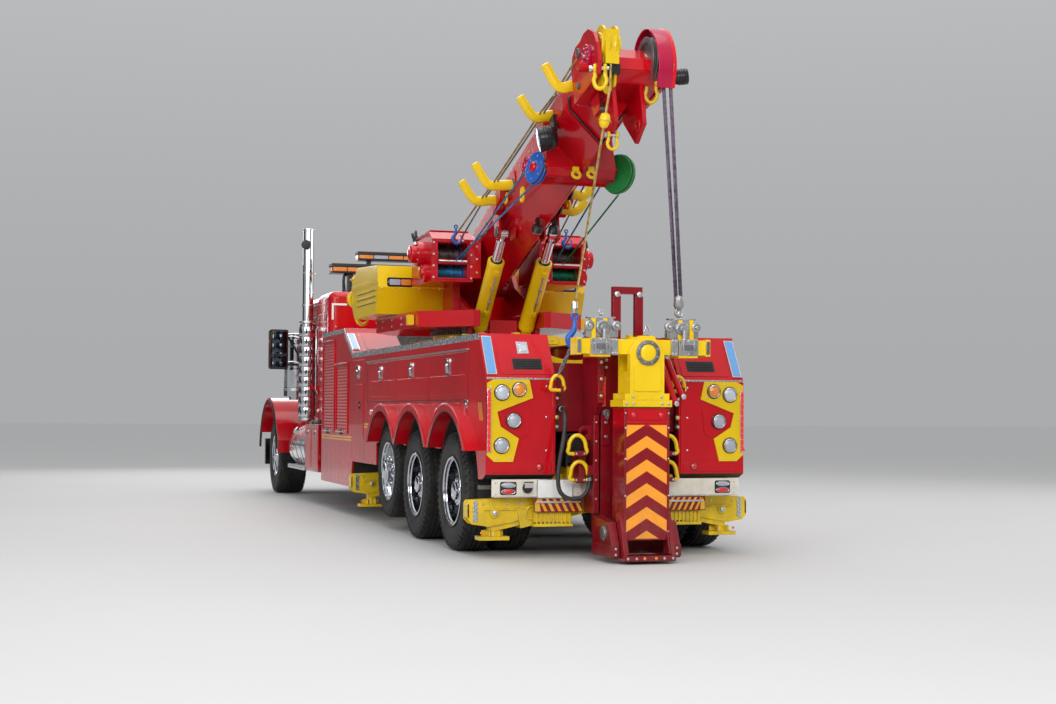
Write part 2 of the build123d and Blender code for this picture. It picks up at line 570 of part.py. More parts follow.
with BuildPart() as outrigger_housings:
    for name, x, s, z in LEGS:
        with BuildSketch(Plane(origin=(x - XC, 0, z), x_dir=(1, 0, 0), z_dir=(0, s * COS, -SIN)).offset(-500)):
            Rectangle(152, 172)
        extrude(amount=500 + 880)
    # hangers down from the frame rails
    for x0, x1 in ((4924, 5336), (62, 341)):
        for s in (1, -1):
            block(x0, x1, *ends(s, 352, 423), 470, RAIL_Z0)
    for name, x, s, z in LEGS:
        with BuildSketch(Plane(origin=(x - XC, 0, z), x_dir=(1, 0, 0), z_dir=(0, s * COS, -SIN)).offset(-700)):
            Rectangle(120, 140)
        extrude(amount=700 + 1300, mode=Mode.SUBTRACT)
finish(outrigger_housings, "outrigger_housings")

# ------------------------------ turret ---------------------------------------
with BuildPart() as slide_carriage:
    for s in (1, -1):
        block(3150, 5150, *ends(s, 400, 600), 1908, 1990)
        block(3150, 5150, *ends(s, 355, 392), 1800, 1912)
        block(3150, 5150, *ends(s, 355, 420), 1905, 1990)
    plan_plate(((3150, -600), (3150, 600), (5150, 600), (5150, -600)), 1950, 2000)
    rod_z(SLEW_X, 0, 560, 1990, 2045)
finish(slide_carriage, "slide_carriage")

with BuildPart() as turret:
    rod_z(SLEW_X, 0, 540, 2055, 2110)
    plan_plate(((3080, -420), (3080, 420), (3500, 900), (5100, 1000), (5600, 700), (5600, -700), (5100, -1000),
                (3500, -900)), 2100, 2270)
    # bay for the lift cylinders and a trough under the boom
    block(3000, 3640, -345, 345, 2050, 2300, mode=Mode.SUBTRACT)
    block(3640, 4900, -340, 340, 2190, 2300, mode=Mode.SUBTRACT)
    # centre web between the two cylinder feet, with the foot pins
    block(3400, 3580, -150, 150, 2015, 2185)
    block(3560, 3700, -150, 150, 2110, 2185)
    # boom cheeks, reaching down to the cylinder foot pins
    for s in (1, -1):
        side_plate(((3390, 2015), (3390, 2290), (4150, 2590), (4300, 2760), (4620, 2760), (5300, 2380), (5300, 2180),
                    (3560, 2180), (3560, 2015)), *ends(s, 345, 395))
        rod_y(PIVOT_X, PIVOT_Z, 95, *ends(s, 335, 420))
        rod_y(CYL_FOOT[0], CYL_FOOT[1], 28, *ends(s, 140, 350))
    rod_y(PIVOT_X, PIVOT_Z, 55, -345, 345)
    # faceted side covers over the counterweight and valves
    for s in (1, -1):
        side_plate(((4300, 2275), (4180, 2560), (4250, 2800), (5290, 2855), (5620, 2700), (5620, 2440), (5460, 2275)),
                   *ends(s, 430, 1180))
        block(4400, 5400, *ends(s, 440, 900), 2265, 2280)
    block(5200, 5600, -440, 440, 2260, 2620)
finish(turret, "turret")

with BuildPart() as winches:
    for s in (1, -1):
        # winch box with open top and lower drum windows, gearbox outboard
        with BuildPart(mode=Mode.PRIVATE) as box:
            side_plate(((3180, 2560), (3180, 3000), (3330, 3090), (3960, 3060), (4060, 2900), (4060, 2560)),
                       *ends(s, 400, 840))
            block(3100, 3560, *ends(s, 460, 780), 2790, 2960, mode=Mode.SUBTRACT)
            block(3100, 3560, *ends(s, 460, 780), 2600, 2740, mode=Mode.SUBTRACT)
        add(box.part)
        rod_y(3560, 2875, 78, *ends(s, 450, 790))
        rod_y(3420, 2672, 66, *ends(s, 450, 790))
        rod_y(3480, 2860, 130, *ends(s, 835, 930))
        rod_y(3480, 2860, 95, *ends(s, 925, 985))
        block(3700, 4100, *ends(s, 398, 480), 2300, 2600)
finish(winches, "winches")

# ------------------------------ boom -----------------------------------------
BC, BS = math.cos(math.radians(BOOM_DEG)), math.sin(math.radians(BOOM_DEG))
BDIR = (-BC, 0, BS)


def boom_at(d):
    # plane square to the boom at distance d from its pivot; sketch y stands up
    return Plane(origin=(PIVOT_X - BC * d - XC, 0, PIVOT_Z + BS * d), x_dir=(0, -1, 0), z_dir=BDIR)


def boom_section(d0, d1, shrink, mode=Mode.ADD):
    k = shrink
    with BuildSketch(boom_at(d0)) as profile:
        with BuildLine():
            Polyline((0, -340 + 1.25 * k), (300 - k, 20), (300 - k, 240 - k), (240 - k, 300 - k),
                     (-240 + k, 300 - k), (-300 + k, 240 - k), (-300 + k, 20), close=True)
        make_face()
    extrude(profile.sketch, amount=d1 - d0, mode=mode)


def inner_section(d0, d1, shrink, mode=Mode.ADD):
    # the lower, narrower section that slides in the base
    k = shrink
    with BuildSketch(boom_at(d0)) as profile:
        with BuildLine():
            Polyline((0, -300 + 1.25 * k), (248 - k, 20), (248 - k, 120 - k), (190 - k, 170 - k),
                     (-190 + k, 170 - k), (-248 + k, 120 - k), (-248 + k, 20), close=True)
        make_face()
    extrude(profile.sketch, amount=d1 - d0, mode=mode)


def boom_side(points, y0, y1, mode=Mode.ADD):
    # points are (distance along the boom, height over its axis)
    with BuildSketch(Plane(origin=(PIVOT_X - XC, y0, PIVOT_Z), x_dir=BDIR, z_dir=(0, 1, 0))) as profile:
        with BuildLine():
            Polyline(*points, close=True)
        make_face()
    extrude(profile.sketch, amount=y1 - y0, mode=mode)


ROD_PIN = (1930.0, -175.0)              # rod eye on the boom: along, above
with BuildPart() as boom_base:
    boom_section(-250, BOOM_LEN, 0)
    inner_section(520, BOOM_LEN + 20, -12, mode=Mode.SUBTRACT)
    boom_side(((-300, -400), (-300, -110), (-20, -190), (520, -400)), -320, 320, mode=Mode.SUBTRACT)
    rod_y(PIVOT_X, PIVOT_Z, 55.05, -400, 400, mode=Mode.SUBTRACT)
    # collar at the mouth
    boom_section(BOOM_LEN - 60, BOOM_LEN, -14)
    # square-bottomed collar that carries the side sheaves
    boom_side(((3400, -352), (3400, 80), (3620, 80), (3620, -290), (3560, -352)), -330, 330)
    inner_section(520, BOOM_LEN + 20, -12, mode=Mode.SUBTRACT)
    # sheave ears each side near the collar, and rod lugs underneath
    for s in (1, -1):
        boom_side(((3250, -60), (3250, 120), (3400, 230), (3620, 230), (3620, -60)), *ends(s, 296, 330))
        # pocket that lets the rod eye rise between its lugs
        boom_side(((ROD_PIN[0] - 190, 16), (ROD_PIN[0] + 190, 16), (ROD_PIN[0] + 190, -300), (ROD_PIN[0] - 190, -300)),
                  *ends(s, 198, 302), mode=Mode.SUBTRACT)
        for y, top, t in ((148, -130, 20), (299, 60, 21)):
            boom_side(((ROD_PIN[0] - 105, top), (ROD_PIN[0] + 105, top), (ROD_PIN[0] + 55, ROD_PIN[1] - 60),
                       (ROD_PIN[0] - 55, ROD_PIN[1] - 60)), *ends(s, y, y + t))
finish(boom_base, "boom_base")

CLEVIS = (4740.0, -440.0, 30.0)         # rope anchor bore in the hanging plates: along, above, radius
with BuildPart() as boom_extension:
    inner_section(900, 4560, 0)
    inner_section(880, 4400, 24, mode=Mode.SUBTRACT)
    # head: side cheeks, top bridge, hanging plates and sheave pins
    for s in (1, -1):
        boom_side(((4480, -120), (4480, 200), (4540, 300), (4640, 345), (4760, 330), (4860, 350), (4980, 325),
                   (5080, 240), (5130, 110), (5130, -60), (5060, -150), (4900, -150)), *ends(s, 300, 335))
        boom_side(((4440, -260), (4440, 120), (4700, 120), (4900, -40), (4860, -480), (4640, -560)), *ends(s, 110, 145))
        rod_y(PIVOT_X - BC * 4900, PIVOT_Z + BS * 4900, 42, *ends(s, 330, 430))
        rod_y(PIVOT_X - BC * CLEVIS[0] + BS * CLEVIS[1], PIVOT_Z + BS * CLEVIS[0] + BC * CLEVIS[1], CLEVIS[2],
              *ends(s, 100, 160), mode=Mode.SUBTRACT)
    boom_side(((4480, -120), (4480, 168), (4600, 225), (4860, 225), (5000, 60), (5000, -60), (4880, -120)), -302, 302)
finish(boom_extension, "boom_extension")

# lift cylinders: barrel from the foot pin to the gland, rod to the boom lug
pin_x = PIVOT_X - BC * ROD_PIN[0] + BS * ROD_PIN[1]
pin_z = PIVOT_Z + BS * ROD_PIN[0] + BC * ROD_PIN[1]
cyl_len = math.hypot(pin_x - CYL_FOOT[0], pin_z - CYL_FOOT[1])
ux, uz = (pin_x - CYL_FOOT[0]) / cyl_len, (pin_z - CYL_FOOT[1]) / cyl_len


def on_cyl(d, y):
    return (CYL_FOOT[0] + ux * d, y, CYL_FOOT[1] + uz * d)


print("cylinder pin to pin", round(cyl_len, 1), "lean", round(math.degrees(math.atan2(uz, -ux)), 2),
      "rod pin", round(pin_x, 1), round(pin_z, 1))

with BuildPart() as lift_barrels:
    for s in (1, -1):
        bar(on_cyl(60, s * CYL_Y), on_cyl(BARREL_END, s * CYL_Y), 84)
        bar(on_cyl(0, s * CYL_Y), on_cyl(70, s * CYL_Y), 50)
        rod_y(CYL_FOOT[0], CYL_FOOT[1], 60, *ends(s, CYL_Y - 50, CYL_Y + 50))
        bar(on_cyl(120, s * CYL_Y), on_cyl(BARREL_END + 10, s * CYL_Y), 48.05, mode=Mode.SUBTRACT)
        rod_y(CYL_FOOT[0], CYL_FOOT[1], 28.05, *ends(s, CYL_Y - 70, CYL_Y + 70), mode=Mode.SUBTRACT)
finish(lift_barrels, "lift_barrels")

with BuildPart() as lift_rods:
    for s in (1, -1):
        bar(on_cyl(385, s * CYL_Y), on_cyl(cyl_len - 78, s * CYL_Y), 48)
        bar(on_cyl(cyl_len - 90, s * CYL_Y), on_cyl(cyl_len - 12, s * CYL_Y), 31)
        rod_y(pin_x, pin_z, 42, *ends(s, CYL_Y - 38, CYL_Y + 38))
        rod_y(pin_x, pin_z, 22, *ends(s, CYL_Y - 60, CYL_Y + 60), mode=Mode.SUBTRACT)
finish(lift_rods, "lift_rods")
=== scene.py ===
import math
import random
import bpy
import bmesh
from mathutils import Matrix, Vector


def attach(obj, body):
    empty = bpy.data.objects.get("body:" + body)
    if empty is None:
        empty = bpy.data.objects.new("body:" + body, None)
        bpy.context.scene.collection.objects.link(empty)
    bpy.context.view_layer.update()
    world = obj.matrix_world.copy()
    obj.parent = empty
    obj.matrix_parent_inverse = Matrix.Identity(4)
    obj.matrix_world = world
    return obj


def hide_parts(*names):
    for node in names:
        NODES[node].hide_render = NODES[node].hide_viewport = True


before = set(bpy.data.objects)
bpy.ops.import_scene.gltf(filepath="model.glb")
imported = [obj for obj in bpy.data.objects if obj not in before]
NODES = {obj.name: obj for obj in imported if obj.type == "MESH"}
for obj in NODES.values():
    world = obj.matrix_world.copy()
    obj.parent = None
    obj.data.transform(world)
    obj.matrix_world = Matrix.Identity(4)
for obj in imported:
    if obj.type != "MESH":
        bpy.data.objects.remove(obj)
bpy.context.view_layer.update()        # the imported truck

random.seed(11)
SC = bpy.context.scene
SC.view_settings.view_transform = "Standard"
XC = 5.7175              # station of the origin, m; stations run forward from the tail face
SIDES = (("left", 1), ("right", -1))


# ----------------------------------------------------------------- camera ---
def make_camera():
    yaw, pitch, roll = (math.radians(a) for a in (17.4602, 2.0793, 0.3665))
    fwd = Vector((math.cos(yaw) * math.cos(pitch), -math.sin(yaw) * math.cos(pitch), math.sin(pitch)))
    right = Vector((-math.sin(yaw), -math.cos(yaw), 0))
    up = right.cross(fwd)
    r2 = right * math.cos(roll) + up * math.sin(roll)
    u2 = up * math.cos(roll) - right * math.sin(roll)
    cam = bpy.data.cameras.new("camera")
    cam.sensor_width = 36.0
    cam.lens = 1637.04 / 1056 * 36.0
    cam.clip_end = 400
    o = bpy.data.objects.new("camera", cam)
    SC.collection.objects.link(o)
    m = Matrix((r2, u2, -fwd)).transposed().to_4x4()
    m.translation = Vector((-13.1215 - XC, 4.9245, 1.2272))
    o.matrix_world = m
    SC.camera = o


make_camera()


# -------------------------------------------------------------- materials ---
class Mat:
    """A small builder for node materials."""

    def __init__(s, name):
        s.m = bpy.data.materials.new(name)
        s.m.use_nodes = True
        s.t = s.m.node_tree
        s.t.nodes.clear()
        s.o = s.t.nodes.new("ShaderNodeOutputMaterial")
        s.b = s.t.nodes.new("ShaderNodeBsdfPrincipled")
        s.t.links.new(s.b.outputs["BSDF"], s.o.inputs["Surface"])
        s.c = s.t.nodes.new("ShaderNodeTexCoord").outputs["Object"]
        s.geo = s.t.nodes.new("ShaderNodeNewGeometry")

    def put(s, a, sock):
        if isinstance(a, (int, float)):
            sock.default_value = a
        elif isinstance(a, (tuple, list)):
            n = len(sock.default_value)
            sock.default_value = tuple(a) + (1.0,) if n == 4 and len(a) == 3 else tuple(a)
        else:
            s.t.links.new(a, sock)

    def math(s, op, a, b=0.0, c=0.0, clamp=False):
        n = s.t.nodes.new("ShaderNodeMath")
        n.operation = op
        n.use_clamp = clamp
        for v, i in ((a, 0), (b, 1), (c, 2)):
            s.put(v, n.inputs[i])
        return n.outputs[0]

    def mul(s, a, b):
        return s.math("MULTIPLY", a, b)

    def add(s, a, b):
        return s.math("ADD", a, b)

    def mix(s, f, a, b):
        n = s.t.nodes.new("ShaderNodeMix")
        n.data_type = "RGBA"
        s.put(f, n.inputs[0])
        s.put(a, n.inputs[6])
        s.put(b, n.inputs[7])
        return n.outputs[2]

    def noise(s, scale, detail=3.0, rough=0.55, coord=None, dist=0.0):
        n = s.t.nodes.new("ShaderNodeTexNoise")
        s.put(coord or s.c, n.inputs["Vector"])
        n.inputs["Scale"].default_value = scale
        n.inputs["Detail"].default_value = detail
        n.inputs["Roughness"].default_value = rough
        n.inputs["Distortion"].default_value = dist
        return n.outputs["Fac"]

    def vor(s, scale, coord=None, feature="F1", out="Distance"):
        n = s.t.nodes.new("ShaderNodeTexVoronoi")
        n.feature = feature
        s.put(coord or s.c, n.inputs["Vector"])
        n.inputs["Scale"].default_value = scale
        return n.outputs[out]

    def smooth(s, v, a, b, lo=0.0, hi=1.0):
        n = s.t.nodes.new("ShaderNodeMapRange")
        n.interpolation_type = "SMOOTHSTEP"
        s.put(v, n.inputs[0])
        for i, k in ((1, a), (2, b), (3, lo), (4, hi)):
            n.inputs[i].default_value = k
        return n.outputs[0]

    def sep(s, v=None):
        n = s.t.nodes.new("ShaderNodeSeparateXYZ")
        s.put(v or s.c, n.inputs[0])
        return n.outputs[0], n.outputs[1], n.outputs[2]

    def comb(s, x, y, z):
        n = s.t.nodes.new("ShaderNodeCombineXYZ")
        for v, i in ((x, 0), (y, 1), (z, 2)):
            s.put(v, n.inputs[i])
        return n.outputs[0]

    def scaled(s, k):
        n = s.t.nodes.new("ShaderNodeMapping")
        s.put(s.c, n.inputs["Vector"])
        n.inputs["Scale"].default_value = k
        return n.outputs[0]

    def bump(s, h, strength, dist, normal=None, invert=False):
        n = s.t.nodes.new("ShaderNodeBump")
        n.inputs["Strength"].default_value = strength
        n.inputs["Distance"].default_value = dist
        n.invert = invert
        s.put(h, n.inputs["Height"])
        if normal is not None:
            s.put(normal, n.inputs["Normal"])
        return n.outputs[0]

    def bevel(s, r, samples=4):
        n = s.t.nodes.new("ShaderNodeBevel")
        n.samples = samples
        n.inputs["Radius"].default_value = r
        return n.outputs[0]

    def edge(s, r):
        # 1 along sharp edges, 0 on flats
        d = s.t.nodes.new("ShaderNodeVectorMath")
        d.operation = "DOT_PRODUCT"
        s.put(s.bevel(r), d.inputs[0])
        s.put(s.geo.outputs["True Normal"], d.inputs[1])
        return s.smooth(d.outputs["Value"], 0.985, 0.86)

    def set(s, **k):
        names = {"color": "Base Color", "rough": "Roughness", "metal": "Metallic", "normal": "Normal",
                 "coat": "Coat Weight", "coat_rough": "Coat Roughness", "spec": "Specular IOR Level",
                 "trans": "Transmission Weight", "ior": "IOR", "emit": "Emission Color",
                 "emit_s": "Emission Strength", "sheen": "Sheen Weight", "alpha": "Alpha",
                 "aniso": "Anisotropic", "coat_normal": "Coat Normal"}
        for key, v in k.items():
            s.put(v, s.b.inputs[names[key]])
        return s.m


def shade(c, k):
    return tuple(min(1.0, x * k) for x in c)


def paint(name, col, dirt=0.14, wear=0.0, rough=0.20, bevel=0.0, coat=0.38, inner=None, pattern=None, film=(0.10, 0.075, 0.062)):
    """Coated vehicle paint: tone drift, road film low down, fine orange peel, chipped edges where it works hard."""
    m = Mat(name)
    x, y, z = m.sep()
    big, mid, fine = m.noise(0.9, 3), m.noise(11, 4, 0.6), m.noise(60, 3, 0.6)
    base = col if pattern is None else pattern(m, x, y, z)
    if pattern is None:
        base = m.mix(m.smooth(big, 0.3, 0.7), shade(col, 0.84), shade(col, 1.12))
    low = m.smooth(z, 1.25, 0.2)
    streak = m.noise(1.0, 4, 0.6, m.scaled((9.0, 9.0, 0.9)))
    f = m.mul(m.mul(low, m.smooth(m.add(m.mul(mid, 0.6), m.mul(streak, 0.5)), 0.42, 0.78)), dirt)
    f = m.math("MAXIMUM", f, m.mul(m.smooth(fine, 0.66, 0.8), dirt * 0.12))
    # dust lies on what faces up
    up = m.sep(m.geo.outputs["Normal"])[2]
    f = m.math("MAXIMUM", f, m.mul(m.mul(m.smooth(up, 0.6, 1.0), m.smooth(mid, 0.35, 0.75)), dirt * 0.22))
    color = m.mix(f, base, film)
    r = m.add(m.add(m.mul(f, 0.5), rough), m.mul(m.math("SUBTRACT", mid, 0.5), 0.10))
    metal = 0.0
    nrm = m.bevel(bevel) if bevel else None
    if wear:
        e = m.mul(m.edge(0.010), m.smooth(m.noise(28, 5, 0.7), 0.52 - 0.1 * wear, 0.62))
        sc = m.smooth(m.noise(1.0, 5, 0.75, m.scaled((70.0, 70.0, 6.0))), 0.69, 0.72)
        w = m.mul(m.math("MAXIMUM", e, m.mul(sc, m.smooth(mid, 0.5, 0.7))), min(1.0, wear))
        color = m.mix(w, color, (0.16, 0.13, 0.115))
        r = m.add(r, m.mul(w, 0.35))
        metal = m.mul(w, 0.6)
    if inner is not None:
        k = inner(m, x, y, z)
        color = m.mix(k, color, m.mix(mid, (0.010, 0.009, 0.009), (0.045, 0.038, 0.032)))
        r = m.math("MAXIMUM", r, m.mul(k, 0.75))
    bump = m.bump(m.noise(240, 2), 0.045, 0.002, nrm)
    bump = m.bump(m.noise(5.0, 2), 0.10, 0.004, bump)
    return m.set(color=color, rough=r, metal=metal, normal=bump, coat=coat, coat_rough=0.03, spec=0.22)


def metal(name, col, rough=0.12, var=0.10, brush=None, tarnish=0.2, bevel=0.0, bump=0.05, dark=(0.08, 0.075, 0.07)):
    m = Mat(name)
    mid, fine = m.noise(14, 4, 0.65), m.noise(90, 3, 0.6)
    z = m.sep()[2]
    low = m.smooth(z, 1.0, 0.2)
    f = m.mul(m.math("MAXIMUM", m.mul(low, m.smooth(mid, 0.45, 0.8)), m.mul(m.smooth(fine, 0.62, 0.78), 0.5)), tarnish)
    color = m.mix(f, m.mix(mid, shade(col, 0.9), shade(col, 1.06)), dark)
    r = m.add(rough, m.add(m.mul(f, 0.45), m.mul(m.smooth(mid, 0.35, 0.75), var)))
    nrm = m.bevel(bevel) if bevel else None
    h = m.noise(1.0, 3, 0.6, m.scaled(brush)) if brush else m.noise(120, 2)
    return m.set(color=color, rough=r, metal=m.math("SUBTRACT", 1.0, m.mul(f, 0.5)), normal=m.bump(h, bump, 0.002, nrm))


def plain_coords(m):
    """Two coordinates in the plane of the face, chosen by which way the face looks."""
    x, y, z = m.sep()
    nx, ny, nz = (m.math("ABSOLUTE", v) for v in m.sep(m.geo.outputs["True Normal"]))
    top, side = m.smooth(nz, 0.6, 0.7), m.smooth(ny, 0.6, 0.7)
    u = m.add(m.mul(x, m.math("MAXIMUM", top, side)), m.mul(y, m.math("SUBTRACT", 1.0, m.math("MAXIMUM", top, side))))
    v = m.add(m.mul(y, top), m.mul(z, m.math("SUBTRACT", 1.0, top)))
    return u, v


def lozenges(m, pitch):
    u, v = plain_coords(m)
    out = None
    for k, off in ((1.0, 0.0), (-1.0, 0.5)):
        a = m.math("MULTIPLY", m.add(u, m.mul(v, k)), 0.7071 / pitch)
        b = m.math("MULTIPLY", m.math("SUBTRACT", m.mul(u, k), v), 0.7071 / pitch)
        a = m.math("SUBTRACT", m.math("FRACT", m.add(a, off)), 0.5)
        b = m.math("SUBTRACT", m.math("FRACT", m.add(b, off)), 0.5)
        e = m.add(m.math("POWER", m.math("DIVIDE", a, 0.42), 2.0), m.math("POWER", m.math("DIVIDE", b, 0.13), 2.0))
        e = m.smooth(e, 1.0, 0.35)
        out = e if out is None else m.math("MAXIMUM", out, e)
    return out


def treadplate(name, pitch=0.026):
    m = Mat(name)
    h = lozenges(m, pitch)
    mid = m.noise(16, 4, 0.6)
    grime = m.mul(m.math("SUBTRACT", 1.0, h), m.smooth(mid, 0.35, 0.75))
    color = m.mix(m.mul(grime, 0.45), m.mix(h, (0.52, 0.53, 0.55), (0.80, 0.81, 0.83)), (0.11, 0.10, 0.09))
    r = m.add(0.17, m.mul(grime, 0.3))
    nrm = m.bump(h, 0.9, 0.003)
    return m.set(color=color, rough=r, metal=0.95, normal=m.bump(m.noise(200, 2), 0.05, 0.001, nrm))


def lens(name, col, glow=0.0, pitch=0.006, trans=0.0, rough=0.08):
    m = Mat(name)
    u, v = plain_coords(m)
    w = m.math("MULTIPLY", m.math("SINE", m.math("MULTIPLY", u, 6.2832 / pitch)),
               m.math("SINE", m.math("MULTIPLY", v, 6.2832 / pitch)))
    mid = m.noise(30, 3)
    k = m.smooth(w, -0.6, 0.8)
    color = m.mix(k, shade(col, 0.62), shade(col, 1.15))
    color = m.mix(m.mul(m.smooth(mid, 0.55, 0.8), 0.25), color, (0.25, 0.23, 0.2))
    return m.set(color=color, rough=m.add(rough, m.mul(mid, 0.08)), normal=m.bump(w, 0.25, 0.001), coat=1.0,
                 coat_rough=0.02, emit=color, emit_s=glow, trans=trans, spec=0.5)


def rubber(name):
    m = Mat(name)
    mid, fine = m.noise(7, 5, 0.65), m.noise(160, 3)
    dust = m.mul(m.smooth(mid, 0.42, 0.72), 0.55)
    color = m.mix(dust, (0.014, 0.014, 0.015), (0.075, 0.066, 0.056))
    return m.set(color=color, rough=m.add(0.58, m.mul(dust, 0.3)), normal=m.bump(fine, 0.25, 0.001), spec=0.4)


def plastic(name, col, rough=0.42, grain=320, bevel=0.0):
    m = Mat(name)
    mid = m.noise(9, 4, 0.6)
    color = m.mix(mid, shade(col, 0.75), shade(col, 1.3))
    color = m.mix(m.mul(m.smooth(mid, 0.55, 0.8), 0.2), color, (0.12, 0.105, 0.09))
    nrm = m.bevel(bevel) if bevel else None
    return m.set(color=color, rough=m.add(rough, m.mul(mid, 0.18)), normal=m.bump(m.noise(grain, 2), 0.18, 0.001, nrm))


def steel_work(name, col, rough=0.42, rust=0.3, bevel=0.004, metal_k=0.85):
    """Bare or worn working steel: rubbed bright at edges, grease and rust in the hollows."""
    m = Mat(name)
    mid, fine = m.noise(9, 6, 0.7), m.noise(55, 5, 0.7)
    e = m.edge(0.012)
    color = m.mix(m.smooth(mid, 0.3, 0.7), shade(col, 0.6), shade(col, 1.15))
    r1 = m.mul(m.smooth(m.add(m.mul(mid, 0.6), m.mul(fine, 0.4)), 0.5, 0.66), rust)
    color = m.mix(r1, color, (0.10, 0.045, 0.022))
    color = m.mix(m.mul(e, m.smooth(fine, 0.35, 0.6)), color, shade(col, 1.7))
    r = m.math("SUBTRACT", m.add(rough, m.mul(r1, 0.35)), m.mul(e, 0.15))
    return m.set(color=color, rough=r, metal=m.math("SUBTRACT", metal_k, m.mul(r1, 0.7)),
                 normal=m.bump(fine, 0.22, 0.002, m.bevel(bevel)))


def glass(name, col, rough=0.015, trans=0.92):
    m = Mat(name)
    mid = m.noise(6, 4, 0.6)
    color = m.mix(m.smooth(mid, 0.4, 0.8), col, shade(col, 0.8))
    return m.set(color=color, rough=m.add(rough, m.mul(m.smooth(mid, 0.5, 0.85), 0.06)), trans=trans, ior=1.45,
                 coat=0.6, coat_rough=0.02, normal=m.bump(m.noise(3, 1), 0.02, 0.002))


def cloth(name, col):
    m = Mat(name)
    x, y, z = m.sep()
    w = None
    for v, k in ((m.add(x, z), 900.0), (y, 900.0)):
        s1 = m.math("SINE", m.math("MULTIPLY", v, k))
        w = s1 if w is None else m.math("MULTIPLY", w, s1)
    mid = m.noise(22, 4, 0.6)
    color = m.mix(m.smooth(w, -0.5, 0.7), shade(col, 0.7), shade(col, 1.25))
    color = m.mix(m.mul(m.smooth(mid, 0.5, 0.8), 0.3), color, shade(col, 0.5))
    return m.set(color=color, rough=m.add(0.78, m.mul(mid, 0.1)), sheen=0.35, normal=m.bump(w, 0.35, 0.001))


def strand_metal(name, col, rough=0.38):
    m = Mat(name)
    mid, fine = m.noise(20, 4, 0.7), m.noise(400, 3)
    color = m.mix(m.smooth(mid, 0.4, 0.7), col, shade(col, 0.45))
    color = m.mix(m.mul(m.smooth(fine, 0.5, 0.7), 0.5), color, (0.03, 0.026, 0.02))
    return m.set(color=color, rough=m.add(rough, m.mul(fine, 0.2)), metal=0.75, normal=m.bump(fine, 0.3, 0.001))


RED = (0.500, 0.0016, 0.0080)
# a darker, more magenta copy of the truck red, the tone it takes in shade: painted shade on the underlift, mast, deck,
# keepers, step bases and lower stinger
SHADED_RED = (0.205, 0.0016, 0.0070)
YEL = (0.770, 0.520, 0.0050)
GOLD = (0.75, 0.42, 0.03)


def under_arch(m, x, y, z):
    # near-black inside the wheel arches and behind the side skins, and on faces looking down below 0.95 m
    ay = m.math("ABSOLUTE", y)
    k = m.mul(m.smooth(ay, 1.158, 1.146), m.smooth(z, 1.30, 1.28))
    k = m.mul(k, m.smooth(x, 0.035 - XC, 0.05 - XC))
    low = m.smooth(m.sep(m.geo.outputs["True Normal"])[2], -0.5, -0.7)
    return m.math("MAXIMUM", k, m.mul(low, m.smooth(z, 0.95, 0.9)))


def cab_inside(m, x, y, z):
    # trim colour on everything inside the cab walls
    ay = m.math("ABSOLUTE", y)
    inside = m.mul(m.smooth(ay, 0.985, 0.970), m.smooth(x, 7.672 - XC, 7.690 - XC))
    roof = m.smooth(z, 2.735, 2.722)
    # the windscreen plane leans back
    wind = m.smooth(m.add(m.mul(m.add(x, XC), 0.8944), m.mul(z, 0.4472)), 9.78, 9.76)
    cowl = m.smooth(x, 10.045 - XC, 10.035 - XC)
    floor = m.smooth(z, 1.11, 1.13)
    k = m.mul(m.mul(m.mul(inside, roof), m.mul(wind, cowl)), floor)
    under = m.smooth(z, 1.105, 1.100)
    return m.math("MAXIMUM", k, under)


def chevrons(m, x, y, z):
    # orange chevrons up the folded underlift's tail face
    t = m.add(z, m.mul(m.math("ABSOLUTE", y), 0.62))
    b = m.math("FRACT", m.math("DIVIDE", m.add(t, 0.02), 0.192))
    on = m.mul(m.smooth(b, 0.0, 0.012), m.smooth(b, 0.50, 0.488))
    on = m.mul(on, m.mul(m.smooth(m.math("ABSOLUTE", y), 0.178, 0.176), m.smooth(z, 1.125, 1.12)))
    on = m.mul(on, m.mul(m.smooth(z, 0.20, 0.205), m.smooth(x, -0.694 - XC, -0.697 - XC)))
    hexes = m.smooth(m.vor(260), 0.1, 0.5)
    org = m.mix(hexes, (0.80, 0.24, 0.012), (0.95, 0.36, 0.03))
    # below 1.10 m the face is the shaded copy of the red, above it the lit red: painted shade on the lower stinger
    drift = m.mix(m.smooth(m.noise(0.9, 3), 0.3, 0.7), shade(SHADED_RED, 0.9), shade(SHADED_RED, 1.25))
    top = m.mix(m.smooth(z, 1.10, 1.12), drift, shade(RED, 0.9))
    return m.mix(on, top, org)


def turret_tones(m, x, y, z):
    # yellow faceted covers over a red base
    on = m.mul(m.smooth(z, 2.272, 2.274), m.smooth(m.math("ABSOLUTE", y), 0.425, 0.428))
    drift = m.noise(0.9, 3)
    red = m.mix(drift, shade(RED, 0.8), shade(RED, 1.1))
    yel = m.mix(drift, shade(YEL, 0.9), shade(YEL, 1.08))
    return m.mix(on, red, yel)


def tank_tones(m, x, y, z):
    return m.mix(m.noise(0.9, 3), shade(RED, 0.85), shade(RED, 1.1))


R = {}
R["red"] = paint("truck_red", RED, bevel=0.0)
R["red_cad"] = paint("truck_red_panels", RED, bevel=0.006)
R["red_body"] = paint("truck_red_body", RED, bevel=0.006, inner=under_arch)
R["red_cab"] = paint("truck_red_cab", RED, bevel=0.004, dirt=0.12, inner=cab_inside)
R["red_boom"] = paint("boom_red", shade(RED, 0.95), bevel=0.008, dirt=0.12, wear=0.25, rough=0.24)
